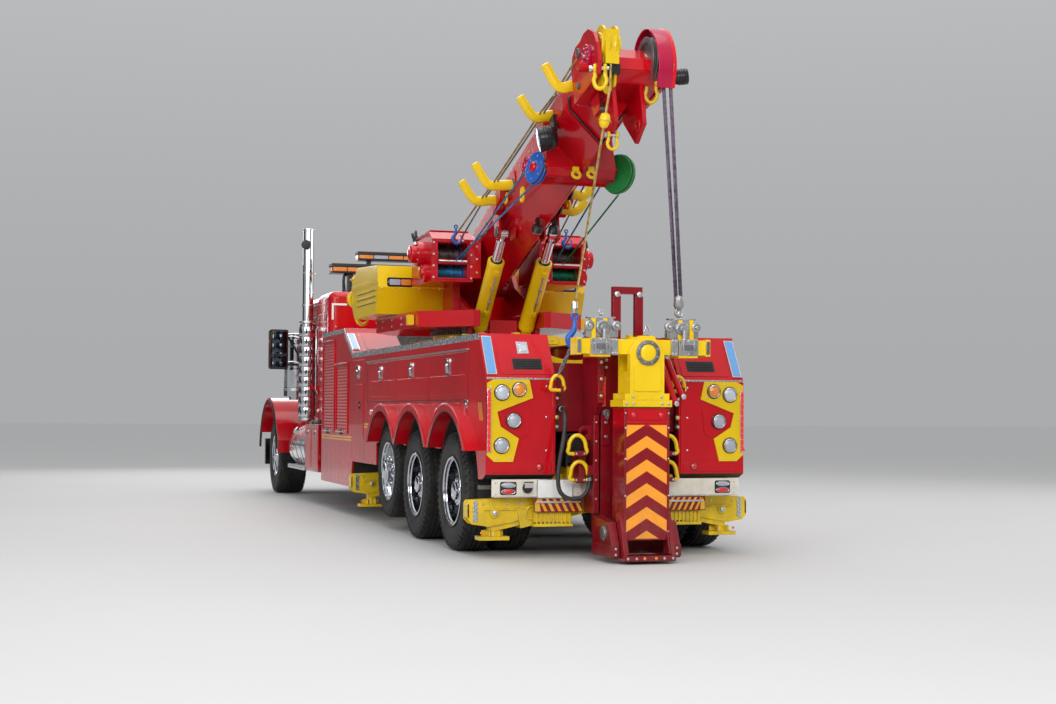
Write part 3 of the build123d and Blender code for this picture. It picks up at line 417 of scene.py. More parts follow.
# the shaded copy of the truck red, with real dirt and edge wear on top: painted shade
R["red_in_shade"] = paint("frame_red", SHADED_RED, bevel=0.006, dirt=0.25, wear=0.45, rough=0.32)
R["yellow"] = paint("signal_yellow", YEL, dirt=0.15)
R["yellow_work"] = paint("worked_yellow", YEL, dirt=0.35, wear=0.7, rough=0.30, bevel=0.006)
R["turret"] = paint("turret_paint", RED, bevel=0.008, pattern=turret_tones, dirt=0.14, wear=0.15)
R["stinger"] = paint("stinger_paint", RED, bevel=0.008, pattern=chevrons, dirt=0.25, wear=0.25)
R["magenta"] = paint("guard_red", (0.42, 0.004, 0.045), dirt=0.2)
R["blue"] = paint("hook_blue", (0.015, 0.10, 0.42), dirt=0.3, wear=0.8, rough=0.32)
R["green"] = paint("guard_green", (0.01, 0.22, 0.05), dirt=0.3, wear=0.6, rough=0.32)
R["black"] = paint("satin_black", (0.012, 0.012, 0.013), dirt=0.3, rough=0.36, coat=0.3, bevel=0.003)
R["frame"] = paint("chassis_black", (0.016, 0.015, 0.015), dirt=0.9, rough=0.5, coat=0.1, bevel=0.005, wear=0.3,
                   film=(0.16, 0.13, 0.105))
R["cream"] = paint("bumper_cream", (0.72, 0.68, 0.58), dirt=0.35, rough=0.3)
R["gold"] = paint("stripe_gold", GOLD, dirt=0.2, rough=0.25)
R["orange"] = paint("stripe_orange", (0.82, 0.32, 0.006), dirt=0.2, rough=0.3)
R["white"] = paint("marking_white", (0.78, 0.78, 0.76), dirt=0.25, rough=0.35)
R["grey_paint"] = paint("engine_paint", (0.10, 0.105, 0.11), dirt=0.9, rough=0.5, coat=0.1, bevel=0.01)
R["chrome"] = metal("chrome", (0.66, 0.68, 0.71), rough=0.045, var=0.05, tarnish=0.14, bevel=0.004, bump=0.02)
R["alu"] = metal("polished_aluminium", (0.82, 0.83, 0.85), rough=0.10, var=0.10, tarnish=0.25, bevel=0.004, bump=0.05)
R["brushed"] = metal("brushed_steel", (0.62, 0.62, 0.63), rough=0.28, var=0.12, brush=(8.0, 200.0, 200.0), tarnish=0.3,
                     bump=0.12)
R["rod"] = metal("rod_chrome", (0.80, 0.81, 0.84), rough=0.05, var=0.05, tarnish=0.06, bump=0.01)
R["receiver"] = steel_work("worn_receiver_steel", (0.40, 0.40, 0.41), rough=0.36, rust=0.25)
R["cast"] = steel_work("cast_steel", (0.20, 0.20, 0.205), rough=0.5, rust=0.4)
R["tread"] = treadplate("tread_plate")
R["rubber"] = rubber("tyre_rubber")
R["seal"] = plastic("rubber_seal", (0.012, 0.012, 0.012), 0.6)
R["plastic"] = plastic("black_plastic", (0.018, 0.018, 0.019), 0.4, bevel=0.004)
R["trim"] = plastic("cab_trim", (0.06, 0.055, 0.05), 0.6)
R["glass"] = glass("cab_glass_tint", (0.42, 0.48, 0.47))
R["lens_red"] = lens("lens_red", (0.60, 0.006, 0.010), 0.10)
R["lens_red_lit"] = lens("lens_red_lit", (0.80, 0.006, 0.010), 0.35)
R["red_strip"] = paint("bright_red_strip", (0.62, 0.004, 0.012), dirt=0.1)
R["lens_amber"] = lens("lens_amber", (0.80, 0.24, 0.010), 0.06)
R["lens_clear"] = lens("lens_clear", (0.40, 0.43, 0.50), 0.04, rough=0.04)
R["lens_white_lit"] = lens("lens_white_lit", (0.52, 0.55, 0.62), 0.10)
R["lens_blue"] = lens("lens_pale_blue", (0.10, 0.30, 0.62), 0.16, pitch=0.012)
R["cloth"] = cloth("seat_cloth_grey", (0.10, 0.095, 0.09))
R["rope"] = strand_metal("wire_rope", (0.34, 0.32, 0.29))
R["rope_gold"] = strand_metal("wire_rope_golden", (0.50, 0.36, 0.13))
R["rope_dark"] = strand_metal("wire_rope_dark", (0.13, 0.10, 0.14))
R["rope_blue"] = strand_metal("wire_rope_coated_blue", (0.06, 0.36, 0.66))
R["rope_green"] = strand_metal("wire_rope_coated_green", (0.03, 0.42, 0.22))
R["mirror_face"] = metal("mirror_glass", (0.16, 0.19, 0.22), rough=0.01, var=0.01, tarnish=0.02, bump=0.004)


def floor_mat():
    m = Mat("studio_floor")
    n = m.noise(0.35, 4, 0.6)
    return m.set(color=m.mix(n, (0.47, 0.468, 0.465), (0.50, 0.498, 0.495)), rough=0.75, spec=0.3,
                 normal=m.bump(m.noise(40, 3), 0.03, 0.002))


# ------------------------------------------------------------ mesh pieces ---
def ground(p):
    return Vector((p[0] - XC, p[1], p[2]))


PIV, DEG = (4.45, 2.56), math.radians(18.7)


def on_boom(p):
    # p: distance out along the boom, y, height over its axis
    d, y, w = p
    c, s = math.cos(DEG), math.sin(DEG)
    return Vector((PIV[0] - c * d + s * w - XC, y, PIV[1] + s * d + c * w))


def basis(axis):
    a = Vector(axis).normalized()
    ref = Vector((0, 0, 1)) if abs(a.z) < 0.9 else Vector((1, 0, 0))
    u = a.cross(ref).normalized()
    return a, u, a.cross(u)


def curve(pts, n=8, closed=False):
    """Points of a smooth line through pts."""
    P = [Vector(p) for p in pts]
    out, L = [], len(P)
    for i in range(L if closed else L - 1):
        p1, p2 = P[i], P[(i + 1) % L]
        p0 = P[i - 1] if i or closed else p1 * 2 - p2
        p3 = P[(i + 2) % L] if i + 2 < L or closed else p2 * 2 - p1
        for k in range(n):
            t = k / n
            out.append(0.5 * (2 * p1 + (p2 - p0) * t + (2 * p0 - 5 * p1 + 4 * p2 - p3) * t * t
                              + (3 * p1 - p0 - 3 * p2 + p3) * t ** 3))
    if not closed:
        out.append(P[-1])
    return out


class Piece:
    """Collects closed shapes into one mesh that rides on a body."""

    def __init__(s, name, body, mat, xf=ground, bevel=0.002, seg=2, slot=None, sharp=32):
        s.name, s.body, s.xf, s.bev, s.seg, s.slotname, s.sharp = name, body, xf, bevel, seg, slot, sharp
        s.v, s.f, s.fm, s.mats, s.cur = [], [], [], [], 0
        s.mat(mat)

    def mat(s, key):
        m = R[key]
        if m not in s.mats:
            s.mats.append(m)
        s.cur = s.mats.index(m)
        return s

    def shape(s, verts, faces):
        k = len(s.v)
        s.v += [s.xf(p) for p in verts]
        s.f += [tuple(k + i for i in f) for f in faces]
        s.fm += [s.cur] * len(faces)
        return s

    def prism(s, pts, ext):
        """A closed outline pushed along ext."""
        e, n = Vector(ext), len(pts)
        a = [Vector(p) for p in pts]
        return s.shape(a + [p + e for p in a],
                       [tuple(range(n - 1, -1, -1)), tuple(range(n, 2 * n))]
                       + [(i, (i + 1) % n, n + (i + 1) % n, n + i) for i in range(n)])

    def box(s, x0, x1, y0, y1, z0, z1):
        return s.prism([(x0, y0, z0), (x1, y0, z0), (x1, y1, z0), (x0, y1, z0)], (0, 0, z1 - z0))

    def xz(s, pts, y0, y1):
        return s.prism([(x, y0, z) for x, z in pts], (0, y1 - y0, 0))

    def xy(s, pts, z0, z1):
        return s.prism([(x, y, z0) for x, y in pts], (0, 0, z1 - z0))

    def yz(s, pts, x0, x1):
        return s.prism([(x0, y, z) for y, z in pts], (x1 - x0, 0, 0))

    def lathe(s, o, axis, prof, seg=28, scale=(1, 1), phase=0.0):
        """prof: (distance along axis, radius) pairs; a radius of 0 at an end closes it in a point."""
        a, u, v = basis(axis)
        o = Vector(o)
        verts, rows = [], []
        for t, r in prof:
            if r <= 1e-6:
                rows.append([len(verts)])
                verts.append(o + a * t)
            else:
                rows.append(list(range(len(verts), len(verts) + seg)))
                verts += [o + a * t + (u * math.cos(q) * scale[0] + v * math.sin(q) * scale[1]) * r
                          for q in (phase + 2 * math.pi * i / seg for i in range(seg))]
        faces = []
        for p, q in zip(rows, rows[1:]):
            if len(p) == 1 and len(q) == 1:
                continue
            for i in range(seg):
                j = (i + 1) % seg
                if len(p) == 1:
                    faces.append((p[0], q[j], q[i]))
                elif len(q) == 1:
                    faces.append((p[i], p[j], q[0]))
                else:
                    faces.append((p[i], p[j], q[j], q[i]))
        if len(rows[0]) > 1:
            faces.append(tuple(reversed(rows[0])))
        if len(rows[-1]) > 1:
            faces.append(tuple(rows[-1]))
        return s.shape(verts, faces)

    def loop_lathe(s, o, axis, prof, seg=48):
        """A closed ring: prof is a closed outline of (along, radius)."""
        a, u, v = basis(axis)
        o, n = Vector(o), len(prof)
        verts = [o + a * t + (u * math.cos(q) + v * math.sin(q)) * r
                 for q in (2 * math.pi * i / seg for i in range(seg)) for t, r in prof]
        return s.shape(verts, [(i * n + k, i * n + (k + 1) % n, ((i + 1) % seg) * n + (k + 1) % n, ((i + 1) % seg) * n + k)
                               for i in range(seg) for k in range(n)])

    def cyl(s, a, b, r, r2=None, seg=24):
        a, b = Vector(a), Vector(b)
        return s.lathe(a, b - a, [(0, r), ((b - a).length, r if r2 is None else r2)], seg)

    def bolt(s, o, axis, r, h):
        return s.lathe(o, axis, [(0, r), (h * 0.8, r), (h, r * 0.82)], 6)

    def dome(s, o, axis, r, h, seg=24, n=5, scale=(1, 1)):
        return s.lathe(o, axis, [(0, r)] + [(h * math.sin(q), r * math.cos(q)) for q in
                                          (math.pi / 2 * i / n for i in range(1, n))] + [(h, 0)], seg, scale)

    def torus(s, o, axis, R0, r, seg=32, k=10, arc=None):
        a, u, v = basis(axis)
        o = Vector(o)
        if arc is None:
            pts = [o + (u * math.cos(q) + v * math.sin(q)) * R0 for q in (2 * math.pi * i / seg for i in range(seg))]
            return s.tube(pts, r, k, closed=True)
        q0, q1 = arc
        pts = [o + (u * math.cos(q) + v * math.sin(q)) * R0 for q in (q0 + (q1 - q0) * i / seg for i in range(seg + 1))]
        return s.tube(pts, r, k)

    def tube(s, pts, r, k=10, closed=False, scale=(1, 1)):
        P = [Vector(p) for p in pts]
        n = len(P)
        tang = []
        for i in range(n):
            a = P[i - 1] if (i or closed) else P[i]
            b = P[(i + 1) % n] if (i < n - 1 or closed) else P[i]
            tang.append((b - a).normalized())
        _, u, _ = basis(tang[0])
        verts = []
        rad = r if isinstance(r, (list, tuple)) else [r] * n
        for i in range(n):
            u = (u - tang[i] * u.dot(tang[i])).normalized()
            v = tang[i].cross(u)
            verts += [P[i] + (u * math.cos(q) * scale[0] + v * math.sin(q) * scale[1]) * rad[i]
                      for q in (2 * math.pi * j / k for j in range(k))]
        faces = [(i * k + j, i * k + (j + 1) % k, ((i + 1) % n) * k + (j + 1) % k, ((i + 1) % n) * k + j)
                 for i in range(n if closed else n - 1) for j in range(k)]
        if not closed:
            faces += [tuple(range(k - 1, -1, -1)), tuple(range((n - 1) * k, n * k))]
        return s.shape(verts, faces)

    def rope(s, pts, r, pitch=None, strands=6, k=5):
        """Laid wire rope: strands that wind round the line pts."""
        P = [Vector(p) for p in pts]
        step = (pitch or r * 13) / 6
        line, acc = [P[0]], 0.0
        for a, b in zip(P, P[1:]):
            L = (b - a).length
            t = step - acc
            while t < L:
                line.append(a + (b - a) * (t / L))
                t += step
            acc = L - (t - step)
        line.append(P[-1])
        n = len(line)
        tang = [(line[min(i + 1, n - 1)] - line[max(i - 1, 0)]).normalized() for i in range(n)]
        _, u, _ = basis(tang[0])
        frames = []
        for i in range(n):
            u = (u - tang[i] * u.dot(tang[i])).normalized()
            frames.append((u.copy(), tang[i].cross(u)))
        for q in range(strands):
            path = []
            for i in range(n):
                a = 2 * math.pi * (q / strands + i / 8)
                path.append(line[i] + (frames[i][0] * math.cos(a) + frames[i][1] * math.sin(a)) * r * 0.62)
            s.tube(path, r * 0.42, k)
        return s

    def done(s):
        me = bpy.data.meshes.new(s.name)
        me.from_pydata([tuple(p) for p in s.v], [], s.f)
        for m in s.mats:
            me.materials.append(m)
        me.polygons.foreach_set("material_index", s.fm)
        bm = bmesh.new()
        bm.from_mesh(me)
        bmesh.ops.recalc_face_normals(bm, faces=bm.faces)
        bm.to_mesh(me)
        bm.free()
        me.polygons.foreach_set("use_smooth", [True] * len(me.polygons))
        me.set_sharp_from_angle(angle=math.radians(s.sharp))
        me.update()
        o = bpy.data.objects.new(s.name, me)
        SC.collection.objects.link(o)
        if s.bev:
            b = o.modifiers.new("rounded", "BEVEL")
            b.width = s.bev
            b.segments = s.seg
            b.limit_method = "ANGLE"
            b.angle_limit = math.radians(38)
            b.harden_normals = False
            b.use_clamp_overlap = True
        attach(o, s.body)
        return o


def ends(s, a, b):
    return (a, b) if s > 0 else (-b, -a)


def rounded(pts, r, n=3):
    """A 2-D outline with its corners rounded."""
    out, L = [], len(pts)
    for i in range(L):
        p = Vector((*pts[i], 0))
        a = Vector((*pts[i - 1], 0)) - p
        b = Vector((*pts[(i + 1) % L], 0)) - p
        d = min(r, a.length * 0.45, b.length * 0.45)
        p0, p1 = p + a.normalized() * d, p + b.normalized() * d
        for k in range(n + 1):
            t = k / n
            q = p0 * (1 - t) ** 2 + p * 2 * t * (1 - t) + p1 * t * t
            out.append((q.x, q.y))
    return out


def hide_for(o, *nodes):
    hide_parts(*nodes)
    return o


# ------------------------------------------------- hydraulic hose (a cord) ---
HOSE_ROUTE = [(0.030, 0.505, 1.250), (-0.090, 0.505, 1.250), (-0.175, 0.520, 1.165), (-0.190, 0.540, 1.000),
              (-0.198, 0.584, 0.800), (-0.198, 0.596, 0.582), (-0.198, 0.518, 0.502), (-0.198, 0.392, 0.500),
              (-0.195, 0.312, 0.580), (-0.195, 0.310, 0.700)]
HOSE_D = 0.036


def nurbs(name, pts, radius):
    cu = bpy.data.curves.new(name, "CURVE")
    cu.dimensions = "3D"
    sp = cu.splines.new("NURBS")
    sp.points.add(len(pts) - 1)
    for q, p in zip(sp.points, pts):
        q.co = (*ground(p), 1.0)
    sp.order_u = 3
    sp.use_endpoint_u = True
    sp.resolution_u = 16
    cu.bevel_depth = radius
    cu.bevel_resolution = 6
    cu.use_fill_caps = True
    o = bpy.data.objects.new(name, cu)
    SC.collection.objects.link(o)
    return o


def hose_cover():
    m = Mat("hose_cover")
    mid, fine = m.noise(9, 4, 0.6), m.noise(300, 2)
    dust = m.smooth(mid, 0.45, 0.75)
    return m.set(color=m.mix(m.mul(dust, 0.5), (0.016, 0.016, 0.017), (0.08, 0.07, 0.06)), rough=m.add(0.42, m.mul(dust, 0.3)),
                 normal=m.bump(m.math("SINE", m.math("MULTIPLY", m.sep()[2], 2600.0)), 0.12, 0.001, m.bump(fine, 0.1, 0.001)))


def make_hose():
    o = nurbs("hydraulic_hose_line", HOSE_ROUTE, HOSE_D / 2)
    o.data.materials.append(hose_cover())
    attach(o, "chassis")
    # sleeves and crimped fittings at both ends
    p = Piece("hose_sleeves", "chassis", "seal", bevel=0.001, seg=1)
    p.lathe((-0.002, 0.505, 1.250), (-1, 0, 0), [(0, 0.0275), (0.014, 0.0275), (0.020, 0.0245), (0.050, 0.0205), (0.056, 0.019)], 24)
    p.lathe((-0.195, 0.310, 0.699), (0, 0, -1), [(0, 0.0275), (0.014, 0.0275), (0.020, 0.0245), (0.050, 0.0205), (0.056, 0.019)], 24)
    p.mat("brushed")
    for i in range(3):
        p.torus((-0.026 - 0.009 * i, 0.505, 1.250), (1, 0, 0), 0.0225, 0.003, 24, 6)
        p.torus((-0.195, 0.310, 0.675 - 0.009 * i), (0, 0, 1), 0.0225, 0.003, 24, 6)
    sleeves = p.done()
    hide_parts("hydraulic_hose")


make_hose()


# ---------------------------------------------------------- studio and floor ---
def studio():
    w = bpy.data.worlds.new("studio")
    SC.world = w
    w.use_nodes = True
    t = w.node_tree
    bg = t.nodes["Background"]
    # a soft overhead glow falling off to a paler horizon
    tc = t.nodes.new("ShaderNodeTexCoord")
    sx = t.nodes.new("ShaderNodeSeparateXYZ")
    t.links.new(tc.outputs["Generated"], sx.inputs[0])
    def math_node(op, a_, b_):
        n_ = t.nodes.new("ShaderNodeMath")
        n_.operation = op
        for i_, v_ in enumerate((a_, b_)):
            if hasattr(v_, "node"):
                t.links.new(v_, n_.inputs[i_])
            else:
                n_.inputs[i_].default_value = v_
        return n_.outputs[0]
    def ramp(v_, a_, b_):
        n_ = t.nodes.new("ShaderNodeMapRange")
        n_.interpolation_type = "SMOOTHSTEP"
        n_.inputs[1].default_value, n_.inputs[2].default_value = a_, b_
        t.links.new(v_, n_.inputs[0])
        return n_.outputs[0]
    # paler overhead; a dark flag stands off the left flank, so that the paint there reflects it
    up = ramp(sx.outputs[2], 0.0, 0.9)
    flag = ramp(math_node("ADD", math_node("MULTIPLY", sx.outputs[0], 0.72), math_node("MULTIPLY", sx.outputs[1], 0.69)), 0.74, 0.86)
    flag = math_node("MULTIPLY", flag, math_node("SUBTRACT", 1.0, t.nodes.new("ShaderNodeLightPath").outputs["Is Camera Ray"]))
    level = math_node("MULTIPLY", math_node("ADD", math_node("MULTIPLY", up, 0.50), 0.42),
                      math_node("SUBTRACT", 1.0, math_node("MULTIPLY", flag, 0.86)))
    t.links.new(level, bg.inputs[1])
    bg.inputs[0].default_value = (0.97, 0.98, 1.0, 1.0)
    def lamp(name, at, to, size, power, col=(1, 1, 1)):
        l = bpy.data.lights.new(name, "AREA")
        l.shape = "RECTANGLE"
        l.size, l.size_y = size
        l.energy = power
        l.color = col
        o = bpy.data.objects.new(name, l)
        SC.collection.objects.link(o)
        at, to = Vector(at), Vector(to)
        o.location = at
        o.rotation_euler = (at - to).to_track_quat("Z", "Y").to_euler()
    lamp("top", (-1.0, 0.5, 11.0), (-1.0, 0, 0), (16, 7), 760)
    lamp("tail", (-17.0, 2.0, 6.5), (-5.5, 0, 1.4), (7, 5), 620)
    lamp("left", (-13.0, 13.0, 6.0), (-1.0, 0, 1.4), (9, 5), 760)
    lamp("right", (-3.0, -12.0, 6.0), (-1.5, 0, 1.2), (14, 5), 380)
    lamp("nose", (14.0, 1.0, 6.0), (5.0, 0, 1.4), (7, 4), 320)


def floor():
    me = bpy.data.meshes.new("studio_floor")
    n, half = 24, 120.0
    vs = [(-half + 2 * half * i / n, -half + 2 * half * j / n, 0.0) for i in range(n + 1) for j in range(n + 1)]
    fs = [(i * (n + 1) + j, (i + 1) * (n + 1) + j, (i + 1) * (n + 1) + j + 1, i * (n + 1) + j + 1)
          for i in range(n) for j in range(n)]
    me.from_pydata(vs, [], fs)
    me.materials.append(floor_mat())
    me.update()
    o = bpy.data.objects.new("studio_floor", me)
    SC.collection.objects.link(o)


studio()
floor()


# ------------------------------------------------ finishes of the CAD nodes ---
def tank_mat():
    # bright round tanks forward, red lockers behind them
    m = Mat("tanks_and_lockers")
    x, y, z = m.sep()
    mid, fine = m.noise(12, 4, 0.6), m.noise(70, 3)
    k = m.smooth(x, 8.688 - XC, 8.692 - XC)
    low = m.mul(m.smooth(z, 0.9, 0.42), m.smooth(mid, 0.4, 0.75))
    color = m.mix(k, m.mix(mid, shade(RED, 0.8), shade(RED, 1.05)), m.mix(mid, (0.74, 0.75, 0.77), (0.84, 0.85, 0.87)))
    color = m.mix(m.mul(low, 0.5), color, (0.17, 0.15, 0.13))
    return m.set(color=color, metal=m.mul(k, 0.97), rough=m.add(0.13, m.add(m.mul(low, 0.4), m.mul(fine, 0.06))),
                 coat=0.5, coat_rough=0.05, normal=m.bump(m.noise(1, 3, 0.6, m.scaled((3, 160, 160))), 0.05, 0.001, m.bevel(0.006)))


R["tanks"] = tank_mat()
FINISH = {
    "frame_rails": "frame", "axle_beams": "frame", "engine_block": "grey_paint", "cab_shell": "red_cab",
    "cab_glass": "glass", "front_bumper": "chrome", "fuel_tanks": "tanks", "exhaust_and_intake": "chrome",
    # deck, underlift guides and mast take the shaded copy of the red: painted shade
    "mirrors": "black", "light_bars": "plastic", "body_left": "red_body", "body_right": "red_body", "deck": "red_in_shade",
    "rear_bumper": "cream", "underlift_guides": "red_in_shade", "outrigger_housings": "yellow_work",
    "hood": "red_cad", "slide_carriage": "yellow_work", "turret": "turret", "winches": "red_boom",
    "boom_base": "red_boom", "boom_extension": "red_boom", "lift_barrels": "yellow_work", "lift_rods": "rod",
    "underlift_mast": "red_in_shade", "stinger": "stinger", "stinger_extension": "yellow_work", "crossbar": "yellow_work",
}
for side, s in SIDES:
    FINISH.update({"knuckle_" + side: "cast", "front_wheel_" + side: "chrome", "lift_wheel_" + side: "chrome",
                   "mid_wheels_" + side: "chrome", "rear_wheels_" + side: "chrome", "side_door_" + side: "red_cad",
                   "front_outrigger_" + side: "yellow_work", "rear_outrigger_" + side: "yellow_work"})
for name, o in NODES.items():
    if name in FINISH:
        if not o.data.materials:
            o.data.materials.append(None)
        for i in range(len(o.material_slots)):
            o.material_slots[i].link = "OBJECT"
            o.material_slots[i].material = R[FINISH[name]]


def door_mat():
    # cab door: paint outside, trim inside, a tinted pane in the window
    m = Mat("cab_door_paint")
    x, y, z = m.sep()
    ay = m.math("ABSOLUTE", y)
    sx = m.add(x, XC)
    # window area in side view
    win = m.mul(m.smooth(z, 1.9295, 1.9300), m.smooth(z, 2.5005, 2.5000))
    win = m.mul(win, m.smooth(sx, 8.9495, 8.9500))
    win = m.mul(win, m.smooth(m.add(m.mul(sx, 0.8976), m.mul(z, 0.4409)), 9.6125, 9.6120))
    win = m.mul(win, m.smooth(ay, 0.979, 0.978))
    mid = m.noise(0.9, 3)
    inside = m.smooth(ay, 0.962, 0.958)
    col = m.mix(inside, m.mix(mid, shade(RED, 0.85), shade(RED, 1.1)), (0.05, 0.045, 0.04))
    col = m.mix(win, col, (0.40, 0.46, 0.45))
    return m.set(color=col, rough=m.mix(win, m.mix(inside, (0.24,) * 3, (0.7,) * 3), (0.02,) * 3), trans=m.mul(win, 0.9),
                 coat=1.0, coat_rough=0.03, ior=1.45, normal=m.bump(m.noise(240, 2), 0.03, 0.001))


R["door"] = door_mat()
for side, s in SIDES:
    o = NODES["cab_door_" + side]
    for i in range(len(o.material_slots)):
        o.material_slots[i].link = "OBJECT"
        o.material_slots[i].material = R["door"]


# ------------------------------------------------------------------ wheels ---
def arcblock(p, o, s, t0, t1, a0, a1, r0, r1, skew=0.0):
    vs = []
    for r in (r0, r1):
        for t, k in ((t0, 0.0), (t1, skew)):
            for a in (a0 + k, a1 + k):
                vs.append((o[0] + r * math.cos(a), o[1] + s * t, o[2] + r * math.sin(a)))
    p.shape(vs, [(0, 1, 3, 2), (4, 6, 7, 5), (0, 4, 5, 1), (2, 3, 7, 6), (0, 2, 6, 4), (1, 5, 7, 3)])


def tyre_outline(h, r, bead=0.301):
    half = [(h - 0.030, bead), (h - 0.014, bead + 0.022), (h - 0.004, bead + 0.05), (h, bead + 0.085),
            (h + 0.001, (bead + r) / 2 + 0.02), (h - 0.004, r - 0.075), (h - 0.002, r - 0.070), (h - 0.004, r - 0.064),
            (h - 0.010, r - 0.045), (h - 0.020, r - 0.026), (h - 0.034, r - 0.0145), (h - 0.055, r - 0.0125)]
    return half + [(-t, q) for t, q in reversed(half)]


def build_tyre(name, body, node, s, x, z, r, centres, width, steer):
    p = Piece(name, body, "rubber", bevel=0, sharp=28)
    h = width / 2
    for yc in centres:
        o = (x, s * yc, z)
        p.loop_lathe(o, (0, 1, 0), tyre_outline(h, r), 72)
        # tread: ribs of blocks with slanted gaps
        tw = h - 0.030
        ribs = 5 if not steer else 6
        n = 64
        step = 2 * math.pi / n
        w = 2 * tw / ribs
        for i in range(ribs):
            t0, t1 = -tw + i * w + 0.0045, -tw + (i + 1) * w - 0.0045
            mid = abs((t0 + t1) / 2) / tw
            top = r - 0.0045 * mid ** 2
            cut = 0.10 if 0 < i < ribs - 1 else 0.05
            for k in range(n):
                a = (k + 0.37 * (i % 2)) * step
                arcblock(p, o, 1, t0, t1, a, a + step * (1 - cut), r - 0.016, top, skew=(0.25 if i % 2 else -0.25) * step)
        # shoulder lugs
        for sgn in (1, -1):
            for k in range(48):
                a = k * 2 * math.pi / 48
                da = 2 * math.pi / 48 * 0.55
                vs = []
                for (t, q) in ((h - 0.004, r - 0.058), (h - 0.0095, r - 0.020), (h - 0.030, r - 0.014)):
                    for aa in (a, a + da):
                        for lift in (0.0, 0.0035):
                            vs.append((o[0] + (q + lift * 0.6) * math.cos(aa), o[1] + sgn * (t + lift - 0.001),
                                       o[2] + (q + lift * 0.6) * math.sin(aa)))
                p.shape(vs, [(0, 1, 3, 2), (8, 10, 11, 9), (1, 5, 7, 3), (5, 9, 11, 7), (0, 2, 6, 4), (4, 6, 10, 8),
                             (0, 4, 5, 1), (4, 8, 9, 5), (2, 3, 7, 6), (6, 7, 11, 10)])
    return hide_for(p.done(), node)


def wheel_detail(name, body, s, x, z, disc, lip, hub, kind):
    p = Piece(name, body, "chrome", bevel=0.0012, seg=1)
    ax = (0, s, 0)
    # rolled lip, drop-centre step and disc dish
    p.loop_lathe((x, s * lip, z), ax, [(-0.014, 0.2835), (-0.014, 0.301), (0.0, 0.3055), (0.005, 0.300), (0.003, 0.290),
                                     (-0.002, 0.2835)], 64)
    p.loop_lathe((x, s * (lip - 0.030), z), ax, [(0, 0.270), (0, 0.2845), (0.012, 0.2845), (0.009, 0.276)], 64)
    p.loop_lathe((x, s * disc, z), ax, [(0.014, 0.118), (0.014, 0.176), (0.020, 0.174), (0.024, 0.168), (0.024, 0.128),
                                      (0.020, 0.120)], 48)
    for i in range(10):
        a = math.radians(36 * i + 18)
        c = (x + 0.148 * math.cos(a), s * (disc + 0.022), z + 0.148 * math.sin(a))
        p.bolt(c, ax, 0.0185, 0.012)
        p.lathe(c, ax, [(0.010, 0.0155), (0.030, 0.0150), (0.042, 0.011), (0.047, 0.005), (0.048, 0)], 12)
        # rolled rims of the hand holes
        b = math.radians(36 * i)
        p.torus((x + 0.205 * math.cos(b), s * (disc + 0.0155), z + 0.205 * math.sin(b)), ax, 0.0335, 0.0035, 20, 6)
    if kind == "steer":
        p.lathe((x, s * hub, z), ax, [(-0.010, 0.1225), (0.004, 0.1225), (0.009, 0.114), (0.010, 0.090), (0.022, 0.086),
                                    (0.028, 0.074), (0.031, 0.04), (0.032, 0)], 40)
        for i in range(6):
            a = math.radians(60 * i)
            p.bolt((x + 0.102 * math.cos(a), s * (hub + 0.008), z + 0.102 * math.sin(a)), ax, 0.009, 0.006)
    else:
        p.lathe((x, s * (hub - 0.006), z), ax, [(0, 0.1225), (0.008, 0.1225), (0.012, 0.112), (0.012, 0.080), (0.040, 0.077),
                                              (0.047, 0.066), (0.049, 0.03), (0.050, 0)], 40)
        for i in range(8):
            a = math.radians(45 * i)
            p.bolt((x + 0.097 * math.cos(a), s * (hub + 0.006), z + 0.097 * math.sin(a)), ax, 0.010, 0.012)
    # valve stem
    p.mat("brushed").cyl((x + 0.24, s * (disc + 0.016), z), (x + 0.24, s * (disc + 0.075), z), 0.004, seg=8)
    # wheel hub barrel, dark between the twins
    p.mat("frame").loop_lathe((x, s * disc, z), ax, [(-0.10, 0.122), (-0.10, 0.170), (-0.018, 0.170), (-0.018, 0.122)], 32)
    return p.done()


for side, s in SIDES:
    for key, tyre_key, x, z, r, centres, width, disc, lip, hub, kind in (
            ("front_wheel", "front_tyre", 11.290, 0.555, 0.555, (0.990,), 0.400, 1.080, 1.175, 1.150, "steer"),
            ("lift_wheel", "lift_tyre", 3.560, 0.600, 0.480, (1.070,), 0.270, 1.120, 1.195, 1.215, "steer"),
            ("mid_wheels", "mid_tyres", 2.262, 0.520, 0.520, (0.744, 1.084), 0.280, 0.914, 1.218, 1.165, "drive"),
            ("rear_wheels", "rear_tyres", 0.882, 0.520, 0.520, (0.744, 1.084), 0.280, 0.914, 1.218, 1.165, "drive")):
        body = key + "_" + side
        build_tyre(tyre_key + "_treaded_" + side, body, tyre_key + "_" + side, s, x, z, r, centres, width, kind == "steer")
        wheel_detail(key + "_detail_" + side, body, s, x, z, disc, lip, hub, kind)


# ------------------------------------------------------- wrecker body sides ---
def slab(p, a, b, t, y0, y1):
    """A flat bar on a sloping edge in side view, from a to b, standing t proud of it (up and outward)."""
    d = Vector((b[0] - a[0], b[1] - a[1], 0)).normalized()
    n = (-d.y * t, d.x * t)
    return p.xz([a, b, (b[0] + n[0], b[1] + n[1]), (a[0] + n[0], a[1] + n[1])], y0, y1)


